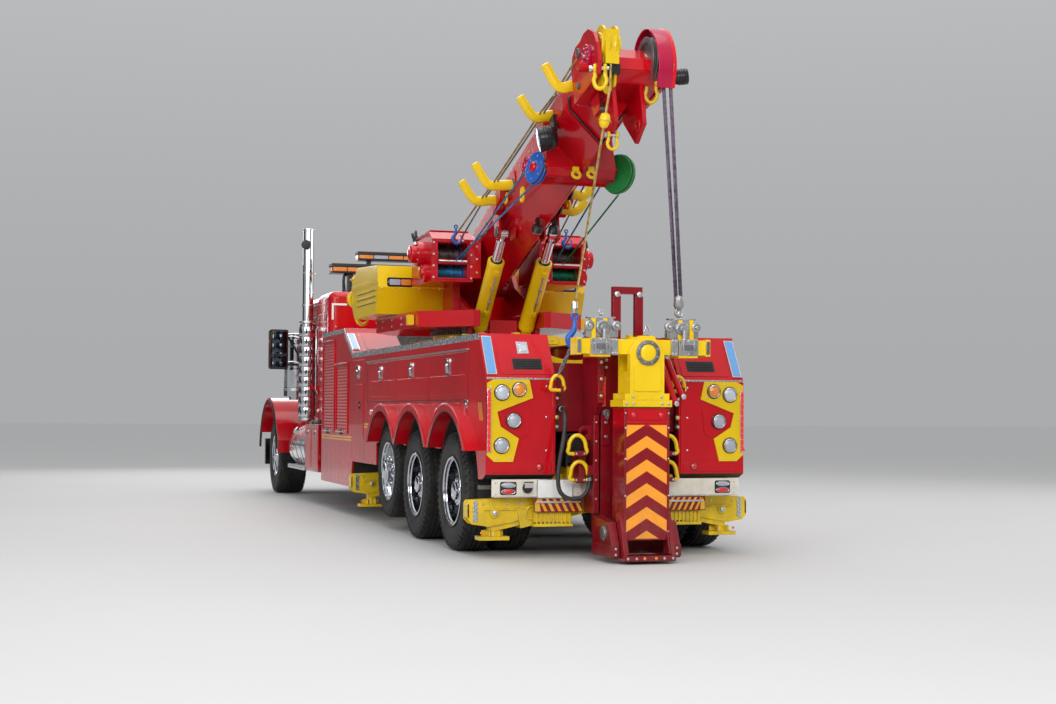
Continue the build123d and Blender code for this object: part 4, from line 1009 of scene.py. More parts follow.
def oval_lamp(p, c, axis, w, h, bezel="chrome", face="lens_red", depth=0.014, up=(0, 0, 1)):
    """A lamp with its long side level: bezel ring and a crowned lens."""
    a, u, v = basis(axis)
    c = Vector(c)
    n = 28
    ring = lambda k, t: [c + a * t + (u * math.cos(q) * w / 2 + v * math.sin(q) * h / 2) * k
                         for q in (2 * math.pi * i / n for i in range(n))]
    rows = [ring(1.0, 0), ring(1.0, depth * 0.5), ring(0.93, depth * 0.75), ring(0.86, depth * 0.5), ring(0.86, 0)]
    vs = [q for r_ in rows for q in r_]
    L = len(rows)
    p.mat(bezel).shape(vs, [(k * n + i, k * n + (i + 1) % n, ((k + 1) % L) * n + (i + 1) % n, ((k + 1) % L) * n + i)
                            for k in range(L) for i in range(n)])
    rows = [ring(0.86, 0.0), ring(0.86, depth * 0.35), ring(0.70, depth * 0.75), ring(0.35, depth * 0.98)]
    vs = [q for r_ in rows for q in r_] + [c, c + a * depth]
    f = [(k * n + i, k * n + (i + 1) % n, (k + 1) * n + (i + 1) % n, (k + 1) * n + i) for k in range(3) for i in range(n)]
    f += [(4 * n, (i + 1) % n, i) for i in range(n)] + [(3 * n + i, 3 * n + (i + 1) % n, 4 * n + 1) for i in range(n)]
    return p.mat(face).shape(vs, f)


for side, s in SIDES:
    # tread-plate edging along the top, up the step and round the locker tower
    p = Piece("top_edging_" + side, "chassis", "tread", bevel=0.001, seg=1)
    y0, y1 = ends(s, 1.168, 1.1728)
    p.xz([(0.190, 1.833), (0.214, 1.8905), (5.572, 1.8905), (5.604, 1.833)], y0, y1)
    p.xz([(5.575, 1.8905), (6.052, 2.1525), (6.098, 2.2035), (7.542, 2.2035), (7.542, 2.147), (6.122, 2.147),
          (6.085, 2.106), (5.606, 1.8335)], y0, y1)
    p.box(0.212, 5.572, *ends(s, 1.100, 1.1728), 1.8870, 1.8905)
    p.box(6.100, 7.542, *ends(s, 0.62, 1.1728), 2.1995, 2.2035)
    p.mat("red")
    slab(p, (5.585, 1.8940), (6.042, 2.1465), 0.003, *ends(s, 0.60, 1.05))
    slab(p, (5.660, 1.9380), (5.960, 2.1040), 0.004, *ends(s, 0.66, 0.99))
    p.mat("brushed")
    for q in (.12, .88):
        for y in (.63, 1.02):
            p.dome((5.585 + .457 * q, s * y, 1.8970 + .2525 * q), (-.48, 0, .88), .008, .005, 12, 3)
    p.mat("tread")
    p.done()

    # side door leaves with their paddle latches
    p = Piece("door_leaves_" + side, "side_door_" + side, "red", bevel=0.0022)
    for a, b in ((0.545, 1.932), (1.942, 3.338), (3.348, 4.745)):
        p.xz(rounded([(a, 1.333), (b, 1.333), (b, 1.738), (a, 1.738)], 0.02), *ends(s, 1.1660, 1.1712))
        p.xz(rounded([(a + 0.05, 1.375), (b - 0.05, 1.375), (b - 0.05, 1.545), (a + 0.05, 1.545)], 0.03), *ends(s, 1.170, 1.1728))
    p.done()
    p = Piece("paddle_latches_" + side, "side_door_" + side, "chrome", bevel=0.0015)
    for x in (1.210, 2.640, 4.060):
        p.mat("chrome").xz(rounded([(x - 0.062, 1.548), (x + 0.062, 1.548), (x + 0.062, 1.700), (x - 0.062, 1.700)], 0.018),
                           *ends(s, 1.1700, 1.1806))
        p.mat("seal").xz(rounded([(x - 0.046, 1.562), (x + 0.046, 1.562), (x + 0.046, 1.655), (x - 0.046, 1.655)], 0.012),
                         *ends(s, 1.1785, 1.1815))
        p.mat("chrome").prism([(x - 0.038, s * 1.180, 1.570), (x - 0.038, s * 1.1845, 1.570), (x - 0.038, s * 1.1905, 1.640),
                               (x - 0.038, s * 1.1850, 1.648)], (0.076, 0, 0))
        p.cyl((x, s * 1.180, 1.678), (x, s * 1.1865, 1.678), 0.0125, seg=18)
        p.mat("seal").box(x - 0.0015, x + 0.0015, *ends(s, 1.1860, 1.1870), 1.671, 1.685)
    p.done()

    # drip rails, seams, stripes, small hardware
    p = Piece("side_hardware_" + side, "chassis", "brushed", bevel=0.0012, seg=1)
    p.xz([(0.53, 1.757), (4.76, 1.757), (4.76, 1.769), (0.53, 1.769)], *ends(s, 1.168, 1.184))
    p.mat("seal").box(0.528, 0.534, *ends(s, 1.1690, 1.1712), 1.322, 1.750)
    p.box(4.756, 4.762, *ends(s, 1.1690, 1.1712), 1.322, 1.750)
    p.box(0.534, 4.756, *ends(s, 1.1690, 1.1712), 1.320, 1.326)
    p.mat("chrome")
    for x in (0.590, 5.150):
        p.xz(rounded([(x - 0.045, 1.285 - 0.04), (x + 0.045, 1.285 - 0.04), (x + 0.045, 1.285 + 0.04), (x - 0.045, 1.285 + 0.04)],
                     0.015), *ends(s, 1.1695, 1.1755))
        p.cyl((x, s * 1.174, 1.285), (x, s * 1.181, 1.285), 0.013, seg=16)
    p.mat("seal")
    for x in (4.90, 5.60):
        p.box(x - 0.0015, x + 0.0015, *ends(s, 1.1690, 1.1706), 0.66, 1.80)
    p.mat("brushed")
    for a, b in ((5.00, 5.52),):
        p.xz(rounded([(a, 0.93), (b, 0.93), (b, 1.74), (a, 1.74)], 0.02), *ends(s, 1.1690, 1.1700))
    p.done()

    p = Piece("corner_locker_" + side, "chassis", "red", bevel=0.002)
    p.xz(rounded([(4.93, 0.90), (5.57, 0.90), (5.57, 1.80), (4.93, 1.80)], 0.02), *ends(s, 1.1685, 1.1735))
    p.xz(rounded([(4.98, 0.95), (5.52, 0.95), (5.52, 1.52), (4.98, 1.52)], 0.03), *ends(s, 1.1730, 1.1755))
    p.mat("chrome").xz(rounded([(5.188, 1.585), (5.312, 1.585), (5.312, 1.735), (5.188, 1.735)], 0.018), *ends(s, 1.173, 1.1835))
    p.mat("seal").xz(rounded([(5.204, 1.60), (5.296, 1.60), (5.296, 1.69), (5.204, 1.69)], 0.012), *ends(s, 1.1825, 1.1845))
    p.mat("chrome").prism([(5.212, s * 1.184, 1.607), (5.212, s * 1.188, 1.607), (5.212, s * 1.1935, 1.675),
                           (5.212, s * 1.189, 1.683)], (0.076, 0, 0))
    p.done()

    # roll-up shutters of the locker tower
    p = Piece("roll_shutters_" + side, "chassis", "red", bevel=0, sharp=50)
    for a, b, z0, z1 in ((5.865, 6.545, 0.985, 1.735), (6.695, 7.425, 0.985, 2.035)):
        n = int((z1 - z0) / 0.0375)
        pitch = (z1 - z0) / n
        front = []
        for i in range(n):
            zz = z0 + i * pitch
            front += [(1.1705, zz), (1.1713, zz + 0.1 * pitch), (1.1732, zz + 0.45 * pitch), (1.1730, zz + 0.80 * pitch),
                      (1.1708, zz + 0.92 * pitch)]
        front.append((1.1705, z1))
        # a strip of quads with a flat back
        m_ = len(front)
        vs, fs = [], []
        for (yy, zz) in front:
            vs += [(a, s * yy, zz), (b, s * yy, zz), (a, s * 1.168, zz), (b, s * 1.168, zz)]
        for i in range(m_ - 1):
            k, j = 4 * i, 4 * (i + 1)
            fs += [(k, k + 1, j + 1, j), (k + 2, j + 2, j + 3, k + 3), (k, j, j + 2, k + 2), (k + 1, k + 3, j + 3, j + 1)]
        fs += [(0, 2, 3, 1), (4 * m_ - 4, 4 * m_ - 3, 4 * m_ - 1, 4 * m_ - 2)]
        p.shape(vs, fs)
    p.done()
    p = Piece("shutter_frames_" + side, "chassis", "red", bevel=0.0015, seg=1)
    for a, b, z0, z1 in ((5.865, 6.545, 0.985, 1.735), (6.695, 7.425, 0.985, 2.035)):
        for xx in (a - 0.034, b + 0.004):
            p.box(xx, xx + 0.030, *ends(s, 1.168, 1.1815), z0 - 0.035, z1 + 0.006)
        p.box(a - 0.034, b + 0.034, *ends(s, 1.168, 1.1830), z1 + 0.004, z1 + 0.040)
        # drip rail with a turned-up lip
        p.prism([(a - 0.05, s * 1.168, z1 + 0.046), (a - 0.05, s * 1.198, z1 + 0.040), (a - 0.05, s * 1.200, z1 + 0.052),
                 (a - 0.05, s * 1.168, z1 + 0.064)], (b - a + 0.10, 0, 0))
        p.box(a - 0.004, b + 0.004, *ends(s, 1.168, 1.1820), z0 - 0.036, z0 + 0.010)
        p.mat("chrome").cyl((a + 0.10, s * 1.197, z0 - 0.010), (b - 0.10, s * 1.197, z0 - 0.010), 0.0095, seg=14)
        for xx in (a + 0.11, b - 0.11):
            p.cyl((xx, s * 1.178, z0 - 0.010), (xx, s * 1.197, z0 - 0.010), 0.008, seg=10)
        p.mat("seal").xz(rounded([((a + b) / 2 - 0.05, z0 - 0.045), ((a + b) / 2 + 0.05, z0 - 0.045),
                                  ((a + b) / 2 + 0.05, z0 + 0.014), ((a + b) / 2 - 0.05, z0 + 0.014)], 0.01), *ends(s, 1.178, 1.190))
        p.mat("red")
    p.done()

    # stripes
    p = Piece("side_stripes_" + side, "chassis", "gold", bevel=0)
    for za, zb, k in ((0.905, 0.925, "gold"), (0.872, 0.892, "orange")):
        p.mat(k).box(5.62, 7.535, *ends(s, 1.1695, 1.1708), za, zb)
        p.box(4.28, 4.90, *ends(s, 1.1695, 1.1708), za + 0.16, zb + 0.16)
    for x0 in (0.06, 0.10, 0.14):
        p.mat("gold").xz([(x0, 1.15), (x0 + 0.016, 1.15), (x0 + 0.072, 1.30), (x0 + 0.056, 1.30)], *ends(s, 1.1695, 1.1708))
    p.done()

    # arch lips: rolled edge and a dark inner seal
    p = Piece("arch_lips_" + side, "chassis", "red", bevel=0)
    q0 = math.asin(0.372 / 0.775)
    for x in (0.882, 2.262, 3.560):
        for rr, q_, rad, k in ((0.7710, q0, 0.0085, "red"), (0.7045, math.asin(0.372 / 0.7045), 0.0065, "seal")):
            pts = []
            for i in range(41):
                q = q_ + (math.pi - 2 * q_) * i / 40
                px, pz = x + rr * math.cos(q), 0.52 + rr * math.sin(q)
                # neighbours overlap between the arches: stop at the valley
                if x == 2.262 and px > (2.262 + 3.560) / 2 + 0.004:
                    continue
                if x == 3.560 and px < (2.262 + 3.560) / 2 - 0.004:
                    continue
                pts.append((px, s * 1.2865, pz))
            p.mat(k).tube(pts, rad, 8)
    p.done()

    # marker lamps over and between the arches
    p = Piece("side_markers_" + side, "chassis", "chrome", bevel=0)
    for x, zz in ((1.572, 1.225), (2.911, 1.240), (4.480, 1.205)):
        p.mat("chrome").lathe((x, s * 1.168, zz), (0, s, 0), [(0, 0.052), (0.010, 0.050), (0.020, 0.041), (0.026, 0.030),
                                                            (0.020, 0.029)], 32, scale=(1.25, 0.62))
        p.mat("lens_amber").dome((x, s * 1.184, zz), (0, s, 0), 0.030, 0.014, 24, 4, scale=(1.25, 0.62))
    for a, b, y_ in (((-0.012, 1.532), (0.190, 1.858), 0), ((5.640, 1.925), (6.010, 2.130), 0)):
        slab(p.mat("chrome"), a, b, 0.010, *ends(s, 1.072, 1.160))
        d = Vector((b[0] - a[0], b[1] - a[1]))
        k = 0.03
        a2, b2 = (a[0] + d.x * k, a[1] + d.y * k), (b[0] - d.x * k, b[1] - d.y * k)
        n_ = Vector((-d.y, d.x)).normalized() * 0.009
        slab(p.mat("lens_blue"), (a2[0] + n_.x, a2[1] + n_.y), (b2[0] + n_.x, b2[1] + n_.y), 0.006, *ends(s, 1.082, 1.150))
    p.done()

    # sloped rear top: slot panel and latch
    p = Piece("rear_slope_" + side, "chassis", "red", bevel=0.002)
    t = Vector((0.24, 0.387)).normalized()
    at = lambda q, h: (-0.03 + t.x * q - t.y * h, 1.50 + t.y * q + t.x * h)
    p.mat("red").xz([at(0.045, 0), at(0.41, 0), at(0.41, 0.005), at(0.045, 0.005)], *ends(s, 0.60, 1.04))
    p.mat("black").xz([at(0.09, 0.004), at(0.20, 0.004), at(0.20, 0.007), at(0.09, 0.007)], *ends(s, 0.66, 0.92))
    p.mat("frame")
    for k in range(5):
        q = 0.10 + 0.018 * k
        p.xz([at(q, 0.006), at(q + 0.008, 0.006), at(q + 0.008, 0.0105), at(q, 0.0105)], *ends(s, 0.68, 0.90))
    p.mat("chrome").xz([at(0.25, 0.004), at(0.37, 0.004), at(0.37, 0.010), at(0.25, 0.010)], *ends(s, 0.76, 0.86))
    p.mat("alu").xz([at(0.27, 0.009), at(0.34, 0.009), at(0.335, 0.020), at(0.275, 0.016)], *ends(s, 0.775, 0.845))
    p.done()


# ------------------------------------------------------------- rear corners ---
def lamp_round(p, c, axis, r, face="lens_clear", bezel="chrome", depth=0.022, seg=32):
    """Round lamp: stepped bezel ring and a crowned lens over a dark seat."""
    p.mat(bezel).loop_lathe(c, axis, [(0, r * 0.80), (0, r), (depth * 0.5, r), (depth * 0.85, r * 0.95), (depth, r * 0.88),
                                    (depth * 0.7, r * 0.80)], seg)
    p.mat("black").lathe(c, axis, [(0, r * 0.84), (depth * 0.22, r * 0.84)], seg)
    p.mat(face).lathe(c, axis, [(depth * 0.15, r * 0.80), (depth * 0.50, r * 0.80), (depth * 0.80, r * 0.60),
                                (depth * 0.95, r * 0.30), (depth, 0)], seg)
    return p


def mirrored(pts, s):
    return [(s * y, z) for y, z in pts]


def d_ring(p, c, w, h, r, axis="x"):
    """Forged D ring: straight foot, round bow, lying in the y-z plane."""
    x, y, z = c
    pts = [(x, y - w / 2, z - h / 2), (x, y + w / 2, z - h / 2)]
    k = 14
    for i in range(k + 1):
        q = math.pi * i / k
        pts.append((x, y + w / 2 * math.cos(q), z - h / 2 + h * 0.35 + h * 0.65 * math.sin(q)))
    return p.tube(curve(pts, 3, closed=True), r, 10, closed=True)


for side, s in SIDES:
    p = Piece("lamp_panel_" + side, "chassis", "yellow", bevel=0.003)
    outline = [(1.163, .862), (1.163, 1.462), (1.105, 1.494), (.795, 1.494), (.762, 1.34), (1.075, 1.222), (1.045, 1.10),
               (.885, 1.0), (.935, .806), (1.10, .806)]
    p.yz(mirrored(outline, s), -0.0415, -0.0290)
    # raised red field in the notch, seams and screws
    p.mat("red").yz(mirrored(rounded([(.80, 1.035), (.875, 1.005), (1.03, 1.105), (1.055, 1.205), (.84, 1.29), (.775, 1.26)], .02), s),
                    -0.0360, -0.0290)
    for y, z, r, face in ((1.035, 1.383, .063, "lens_white_lit"), (.885, 1.41, .058, "lens_amber"),
                          (.931, 1.15, .062, "lens_clear"), (1.036, .942, .063, "lens_clear")):
        p.mat("black").lathe((-0.0405, s * y, z), (-1, 0, 0), [(0, r * 1.12), (0.004, r * 1.12), (0.006, r * 1.06)], 32)
        lamp_round(p, (-0.0430, s * y, z), (-1, 0, 0), r, face)
    p.mat("brushed")
    for y, z in ((1.13, .89), (1.13, 1.17), (1.13, 1.43), (.82, 1.46), (.81, 1.36), (.96, .83), (1.08, .83), (.98, 1.47)):
        p.bolt((-0.0410, s * y, z), (-1, 0, 0), 0.0075, 0.005)
    p.done()

    p = Piece("outer_lens_bar_" + side, "chassis", "chrome", bevel=0.0015)
    p.box(-0.052, -0.030, *ends(s, 1.132, 1.1645), 0.885, 1.415)
    p.mat("lens_red_lit")
    for i in range(10):
        z0 = 0.893 + i * 0.0518
        p.yz(mirrored(rounded([(1.1365, z0), (1.1605, z0), (1.1605, z0 + 0.047), (1.1365, z0 + 0.047)], 0.004), s), -0.0575, -0.050)
    p.done()

    # sheet seams and rear face trims on the body ends
    p = Piece("rear_face_trim_" + side, "chassis", "red", bevel=0.0022)
    p.yz(mirrored(rounded([(.60, .72), (1.12, .72), (1.12, .80), (.60, .80)], .02), s), -0.0355, -0.029)
    p.yz(mirrored([(.575, .70), (.592, .70), (.592, 1.49), (.575, 1.49)], s), -0.0370, -0.029)
    p.mat("tread").yz(mirrored([(.56, 1.493), (1.168, 1.493), (1.168, 1.508), (.56, 1.508)], s), -0.0365, -0.029)
    p.mat("chrome")
    for y, z in ((.64, 1.44), (.64, 1.18), (.64, .90)):
        p.dome((-0.0295, s * y, z), (-1, 0, 0), 0.010, 0.006, 16, 4)
    p.mat("lens_red").lathe((-0.0295, s * .70, .76), (-1, 0, 0), [(0, .028), (.010, .028), (.016, .018), (.018, 0)], 24)
    p.mat("seal").loop_lathe((-0.0295, s * .70, .76), (-1, 0, 0), [(0, .028), (0, .034), (.008, .034), (.010, .028)], 24)
    p.done()

    # inner well walls of the tail with hose brackets, couplings
    p = Piece("tail_valves_" + side, "chassis", "brushed", bevel=0.0015)
    for i, z in enumerate((1.42, 1.34, 1.18, 1.10)):
        p.mat("black").box(-0.020, 0.030, *ends(s, .535, .560), z - .026, z + .026)
        p.mat("brushed").lathe((-0.018, s * .548, z), (-1, 0, 0), [(0, .016), (.010, .016), (.012, .012), (.030, .012), (.033, .009)], 18)
        # the first collar takes the pale-blue lens finish and glows faintly, though it is no lamp: painted glow
        p.mat(("lens_blue", "red", "yellow", "green")[i]).loop_lathe((-0.030, s * .548, z), (-1, 0, 0), [(0, .012), (0, .0175), (.008, .0175), (.008, .012)], 18)
    p.done()

    # D rings beside the mast
    p = Piece("tie_rings_" + side, "chassis", "yellow_work", bevel=0)
    d_ring(p, (-0.185, s * .418 if s > 0 else -.40, .955), .150, .150, .017)
    d_ring(p, (-0.185, s * .400 if s > 0 else -.40, .735), .150, .150, .017)
    p.done()
    # keeper blocks in the shaded copy of the red: painted shade
    p = Piece("ring_keepers_" + side, "chassis", "red_in_shade", bevel=0.003)
    for z in (.885, .665):
        p.box(-0.215, -0.150, *ends(s, .352, .448), z - .026, z + .012)
        p.mat("brushed").bolt((-0.214, s * .366, z - .008), (-1, 0, 0), .010, .008)
        p.bolt((-0.214, s * .434, z - .008), (-1, 0, 0), .010, .008)
        p.mat("red_in_shade")
    p.box(-0.160, 0.0, *ends(s, .335, .395), .63, .90)
    p.done()

# upper rings: one each side, at their own heights
p = Piece("upper_rings", "chassis", "yellow_work", bevel=0)
for y, z in ((.585, 1.470), (-.505, 1.470)):
    d_ring(p, (-0.150, y, z), .110, .120, .015)
# keeper blocks in the shaded copy of the red: painted shade
p.mat("red_in_shade").box(-0.170, -0.02, .535, .560, 1.385, 1.440).box(-0.170, -0.02, -.560, -.535, 1.385, 1.440)
p.done()


# ---------------------------------------------------------- rear bumper ---
for side, s in SIDES:
    y_in, y_out = (.285, 1.128) if s > 0 else (.395, 1.090)
    p = Piece("bumper_skin_" + side, "chassis", "cream", bevel=0.004)
    y0, y1 = ends(s, y_in + .06, y_out)
    p.box(-0.0765, -0.069, y0, y1, .520, .653)
    # stacked oval lamps on a dark seat
    yl = (.986 if s > 0 else .950)
    p.mat("black").yz(rounded([(s * yl - .072, .532), (s * yl + .072, .532), (s * yl + .072, .642), (s * yl - .072, .642)], .02),
                      -0.0795, -0.076)
    for z in (.560, .614):
        oval_lamp(p, (-0.0790, s * yl, z), (-1, 0, 0), .128, .047, face="lens_red" if z < .6 else "lens_clear")
    p.mat("brushed")
    for y in (y_in + .09, y_out - .03):
        for z in (.540, .634):
            p.dome((-0.0762, s * y, z), (-1, 0, 0), .009, .006, 14, 4)
    p.done()

    # steps with chevrons and a grey tread bar
    a, b = (.325, .755) if s > 0 else (.425, .795)
    # the step's backing plate is in the shaded copy of the red: painted shade
    p = Piece("step_chevrons_" + side, "chassis", "red_in_shade", bevel=0.002)
    p.box(-0.0665, -0.058, *ends(s, a, b), .385, .508)
    n = 7
    w = (b - a) / n
    for i in range(n):
        p.mat("orange" if i % 2 else "gold")
        q0 = a + i * w
        p.yz(mirrored([(q0 + .004, .392), (q0 + w * .52, .392), (q0 + w * .52 + .055, .500), (q0 + .059, .500)]
                      if q0 + w * .52 + .055 < b else [(q0 + .004, .392), (b - .006, .392), (b - .006, .46), (b - .03, .500),
                                                       (min(q0 + .059, b - .04), .500)], s), -0.0690, -0.066)
    p.mat("tread").box(-0.072, 0.020, *ends(s, a, b), .508, .5165)
    p.mat("brushed").box(-0.076, -0.066, *ends(s, a + .02, b - .02), .462, .476)
    p.done()

    # ribbed yellow pads under the steps
    p = Piece("pads_" + side, "chassis", "yellow_work", bevel=0.003)
    a, b = (.413, .74) if s > 0 else (.44, .76)
    p.box(-0.030, 0.020, *ends(s, a, b), .300, .385)
    for i in range(9):
        y = a + (b - a) * (i + .5) / 9
        p.box(-0.040, -0.028, *ends(s, y - .008, y + .008), .285, .385)
    p.box(-0.045, 0.025, *ends(s, a - .01, b + .01), .262, .288)
    p.done()

# seven-pin socket and the blank plate on the left
p = Piece("trailer_socket", "chassis", "black", bevel=0.002)
p.lathe((-0.0765, .820, .589), (-1, 0, 0), [(0, .043), (.012, .043), (.014, .036), (.040, .036), (.044, .032)], 28)
p.mat("brushed").prism([(-0.119, .785, .592), (-0.124, .785, .592), (-0.124, .785, .634), (-0.119, .785, .634)], (0, .07, 0))
p.mat("black").cyl((-0.118, .780, .637), (-0.118, .860, .637), .006, seg=12)
p.mat("brushed")
for y, z in ((.785, .553), (.855, .553), (.785, .626), (.855, .626)):
    p.bolt((-0.0765, y, z), (-1, 0, 0), .006, .004)
p.done()
p = Piece("blank_plate", "chassis", "white", bevel=0.0008)
p.yz(rounded([(.425, .508), (.730, .508), (.730, .655), (.425, .655)], .012), -0.0800, -0.0785)
p.mat("chrome")
pts = rounded([(.420, .503), (.735, .503), (.735, .660), (.420, .660)], .014)
p.tube([(-0.0800, y, z) for y, z in pts], .0035, 8, closed=True)
for y, z in ((.50, .640), (.655, .640)):
    p.dome((-0.0800, y, z), (-1, 0, 0), .006, .004, 12, 3)
p.mat("black").box(-0.0790, -0.0765, .418, .737, .500, .662)
p.done()


# -------------------------------------------------------------- outriggers ---
for side, s in SIDES:
    for where, x, z0 in (("rear", .105 if s > 0 else .265, .515), ("front", 5.000 if s > 0 else 5.260, .545)):
        body = where + "_outrigger_" + side
        t = math.tan(math.radians(12))
        p = Piece(body + "_leg", body, "yellow_work", bevel=0.004)
        dz = z0 - .515
        leg = [(.66, .395), (.66, .500), (.90, .505), (1.285, .485), (1.305, .455), (1.305, .330), (1.265, .285), (1.12, .262),
               (.90, .300)]
        for xa, xb in ((x - .066, x - .052), (x + .052, x + .066)):
            p.yz([(s * y, z + dz) for y, z in leg], xa, xb)
        # end plate, ribs and pin
        p.box(x - .066, x + .066, *ends(s, 1.290, 1.303), .340 + dz, .452 + dz)
        p.mat("tread").yz([(s * y, z + dz) for y, z in [(1.215, .305), (1.255, .305), (1.255, .478), (1.215, .478)]], x - .0705, x - .0655)
        p.mat("yellow_work").box(x - .078, x - .066, *ends(s, .80, 1.16), .400 + dz, .412 + dz)
        p.lathe((x - .066, s * 1.07, .375 + dz), (-1, 0, 0), [(0, .040), (.012, .040), (.014, .032)], 28)
        p.mat("brushed").lathe((x - .078, s * 1.07, .375 + dz), (-1, 0, 0), [(0, .022), (.014, .022), (.017, .016)], 24)
        for y in (.84, .96, 1.17):
            p.bolt((x - .066, s * y, .455 + dz), (-1, 0, 0), .010, .008)
        # D lug
        p.mat("yellow_work")
        ring = [(.70, .325), (.78, .325), (.80, .36), (.78, .43), (.70, .43), (.68, .38)]
        p.tube([(x - .078, s * y, z + dz) for y, z in rounded(ring, .03)], .011, 10, closed=True)
        p.done()
        # foot: ribbed edge, ball socket and cleats
        p = Piece(body + "_foot", body, "yellow_work", bevel=0.003)
        zf = (.150, .182)
        yc = 1.07
        p.lathe((x, s * yc, zf[1] - .002), (0, 0, 1), [(0, .060), (.030, .055), (.060, .044), (.085, .044)], 28)
        for q in range(6):
            a = math.radians(60 * q + 30)
            dx, dy = math.cos(a), math.sin(a)
            p.prism([(x + dx * .05 - dy * .005, s * yc + dy * .05 + dx * .005, zf[1] - .001),
                     (x + dx * .05 + dy * .005, s * yc + dy * .05 - dx * .005, zf[1] - .001),
                     (x + dx * .05 + dy * .005, s * yc + dy * .05 - dx * .005, zf[1] + .05),
                     (x + dx * .05 - dy * .005, s * yc + dy * .05 + dx * .005, zf[1] + .05)],
                    (dx * .045, dy * .045, 0))
        p.mat("lens_amber").dome((x - .062, s * 1.18, zf[1] + .03), (-1, 0, 0), .014, .010, 16, 4)
        p.done()


# ------------------------------------------------------ underlift and bars ---
# mast, loop, guide, stinger, foot and knuckle plates below are in the shaded copy of the red: painted shade
p = Piece("mast_plates", "underlift_mast", "red_in_shade", bevel=0.004)
for side, s in SIDES:
    # stiffened side plates with pins and handles
    p.mat("red_in_shade").yz(mirrored(rounded([(.150, .95), (.222, .95), (.222, 1.70), (.150, 1.70)], .02), s), -0.2400, -0.2275)
    p.mat("brushed")
    for z in (1.02, 1.14, 1.60, 1.66):
        p.bolt((-0.240, s * .186, z), (-1, 0, 0), .014, .011)
    p.mat("cast").lathe((-0.240, s * .186, 1.22), (-1, 0, 0), [(0, .030), (.020, .030), (.024, .024), (.024, 0)], 24)
    p.mat("brushed").torus((-0.268, s * .186, 1.192), (0, 1, 0), .026, .0035, 20, 8)
p.done()
p = Piece("mast_lamp", "underlift_mast", "chrome", bevel=0.002)
for s in (1, -1):
    p.mat("chrome").box(-0.262, -0.238, *ends(s, .196, .2225), 1.268, 1.520)
    p.mat("lens_red_lit")
    for i in range(6):
        z0 = 1.276 + i * .0395
        p.yz(mirrored(rounded([(.2000, z0), (.2185, z0), (.2185, z0 + .0355), (.2000, z0 + .0355)], .004), s), -0.2670, -0.260)
p.done()
# red loop above the mast, faced with plates and pins
p = Piece("loop_trim", "underlift_mast", "red_in_shade", bevel=0.003)
for s in (1, -1):
    p.mat("red_in_shade").box(-0.268, -0.258, *ends(s, .066, .134), 1.72, 2.20)
    p.mat("brushed").lathe((-0.266, s * .100, 2.215), (-1, 0, 0), [(0, .024), (.012, .024), (.014, .018)], 24)
    p.mat("cast").cyl((-0.230, s * .128, 1.86), (-0.230, s * .200, 1.86), .022, seg=20)
    p.mat("chrome").tube(curve([(-0.262, s * .14, 1.90), (-0.262, s * .17, 1.955), (-0.262, s * .20, 1.90)], 6), .006, 8)
p.done()

p = Piece("guide_trim", "chassis", "red_in_shade", bevel=0.003)
for s in (1, -1):
    for z in (1.36, 1.50, 1.64):
        p.mat("red_in_shade").box(-0.338, -0.322, *ends(s, .236, .294), z - .03, z + .03)
        p.mat("brushed").bolt((-0.337, s * .265, z), (-1, 0, 0), .015, .012)
    p.mat("red_in_shade").box(-0.3325, -0.3290, *ends(s, .243, .287), 1.305, 1.695)
    p.box(-0.2308, -0.2270, *ends(s, .243, .287), .390, 1.195)
    p.mat("brushed")
    for z in (.50, .66, .82, .98, 1.14):
        p.dome((-0.2308, s * .265, z), (-1, 0, 0), .009, .0022, 14, 3)
p.done()

# slanting red arms beside the mast, right: folded wheel-lift stays
p = Piece("stay_arms", "chassis", "red", bevel=0.004)
for a, b, r in (((-0.24, -.300, 1.66), (-0.20, -.452, 1.30), .034), ((-0.24, -.352, 1.70), (-0.20, -.520, 1.36), .026)):
    p.mat("red").tube([a, b], r, 14)
    p.mat("brushed").lathe((a[0] - r, a[1], a[2]), (-1, 0, 0), [(0, .024), (.010, .024), (.012, .018)], 20)
    p.lathe((b[0] - r, b[1], b[2]), (-1, 0, 0), [(0, .024), (.010, .024), (.012, .018)], 20)
p.done()

# stinger: edge strips and fasteners, top cap plates
p = Piece("stinger_trim", "stinger", "red_in_shade", bevel=0.003)
for s in (1, -1):
    p.mat("red_in_shade").box(-0.7075, -0.699, *ends(s, .180, .196), .20, 1.255)
    p.mat("brushed")
    for z in (.26, .55, .85, 1.10, 1.22):
        p.dome((-0.7070, s * .188, z), (-1, 0, 0), .0075, .006, 14, 4)
p.mat("red").box(-0.7070, -0.699, -.180, .180, 1.135, 1.150)
p.mat("red").yz(rounded([(-.165, 1.165), (.165, 1.165), (.165, 1.245), (-.165, 1.245)], .015), -0.7060, -0.699)
p.mat("lens_red")
for s in (1, -1):
    p.lathe((-0.706, s * .120, 1.205), (-1, 0, 0), [(0, .020), (.008, .019), (.012, .010), (.013, 0)], 22)
p.done()
# foot frame below the stinger: lip, gussets and fasteners
p = Piece("foot_trim", "stinger", "red_in_shade", bevel=0.004)
p.mat("red_in_shade").box(-0.7915, -0.779, -.224, .224, .030, .066)
for s in (1, -1):
    p.mat("red_in_shade").xz([(-.768, .078), (-.640, .078), (-.640, .235), (-.690, .300)], *ends(s, .1755, .1895))
    p.mat("brushed").bolt((-0.7915, s * .195, .048), (-1, 0, 0), .012, .009)
    p.bolt((-0.7915, s * .120, .048), (-1, 0, 0), .012, .009)
    p.mat("lens_amber").lathe((-0.7915, s * .050, .048), (-1, 0, 0), [(0, .013), (.005, .012), (.008, .006), (.009, 0)], 18)
p.done()
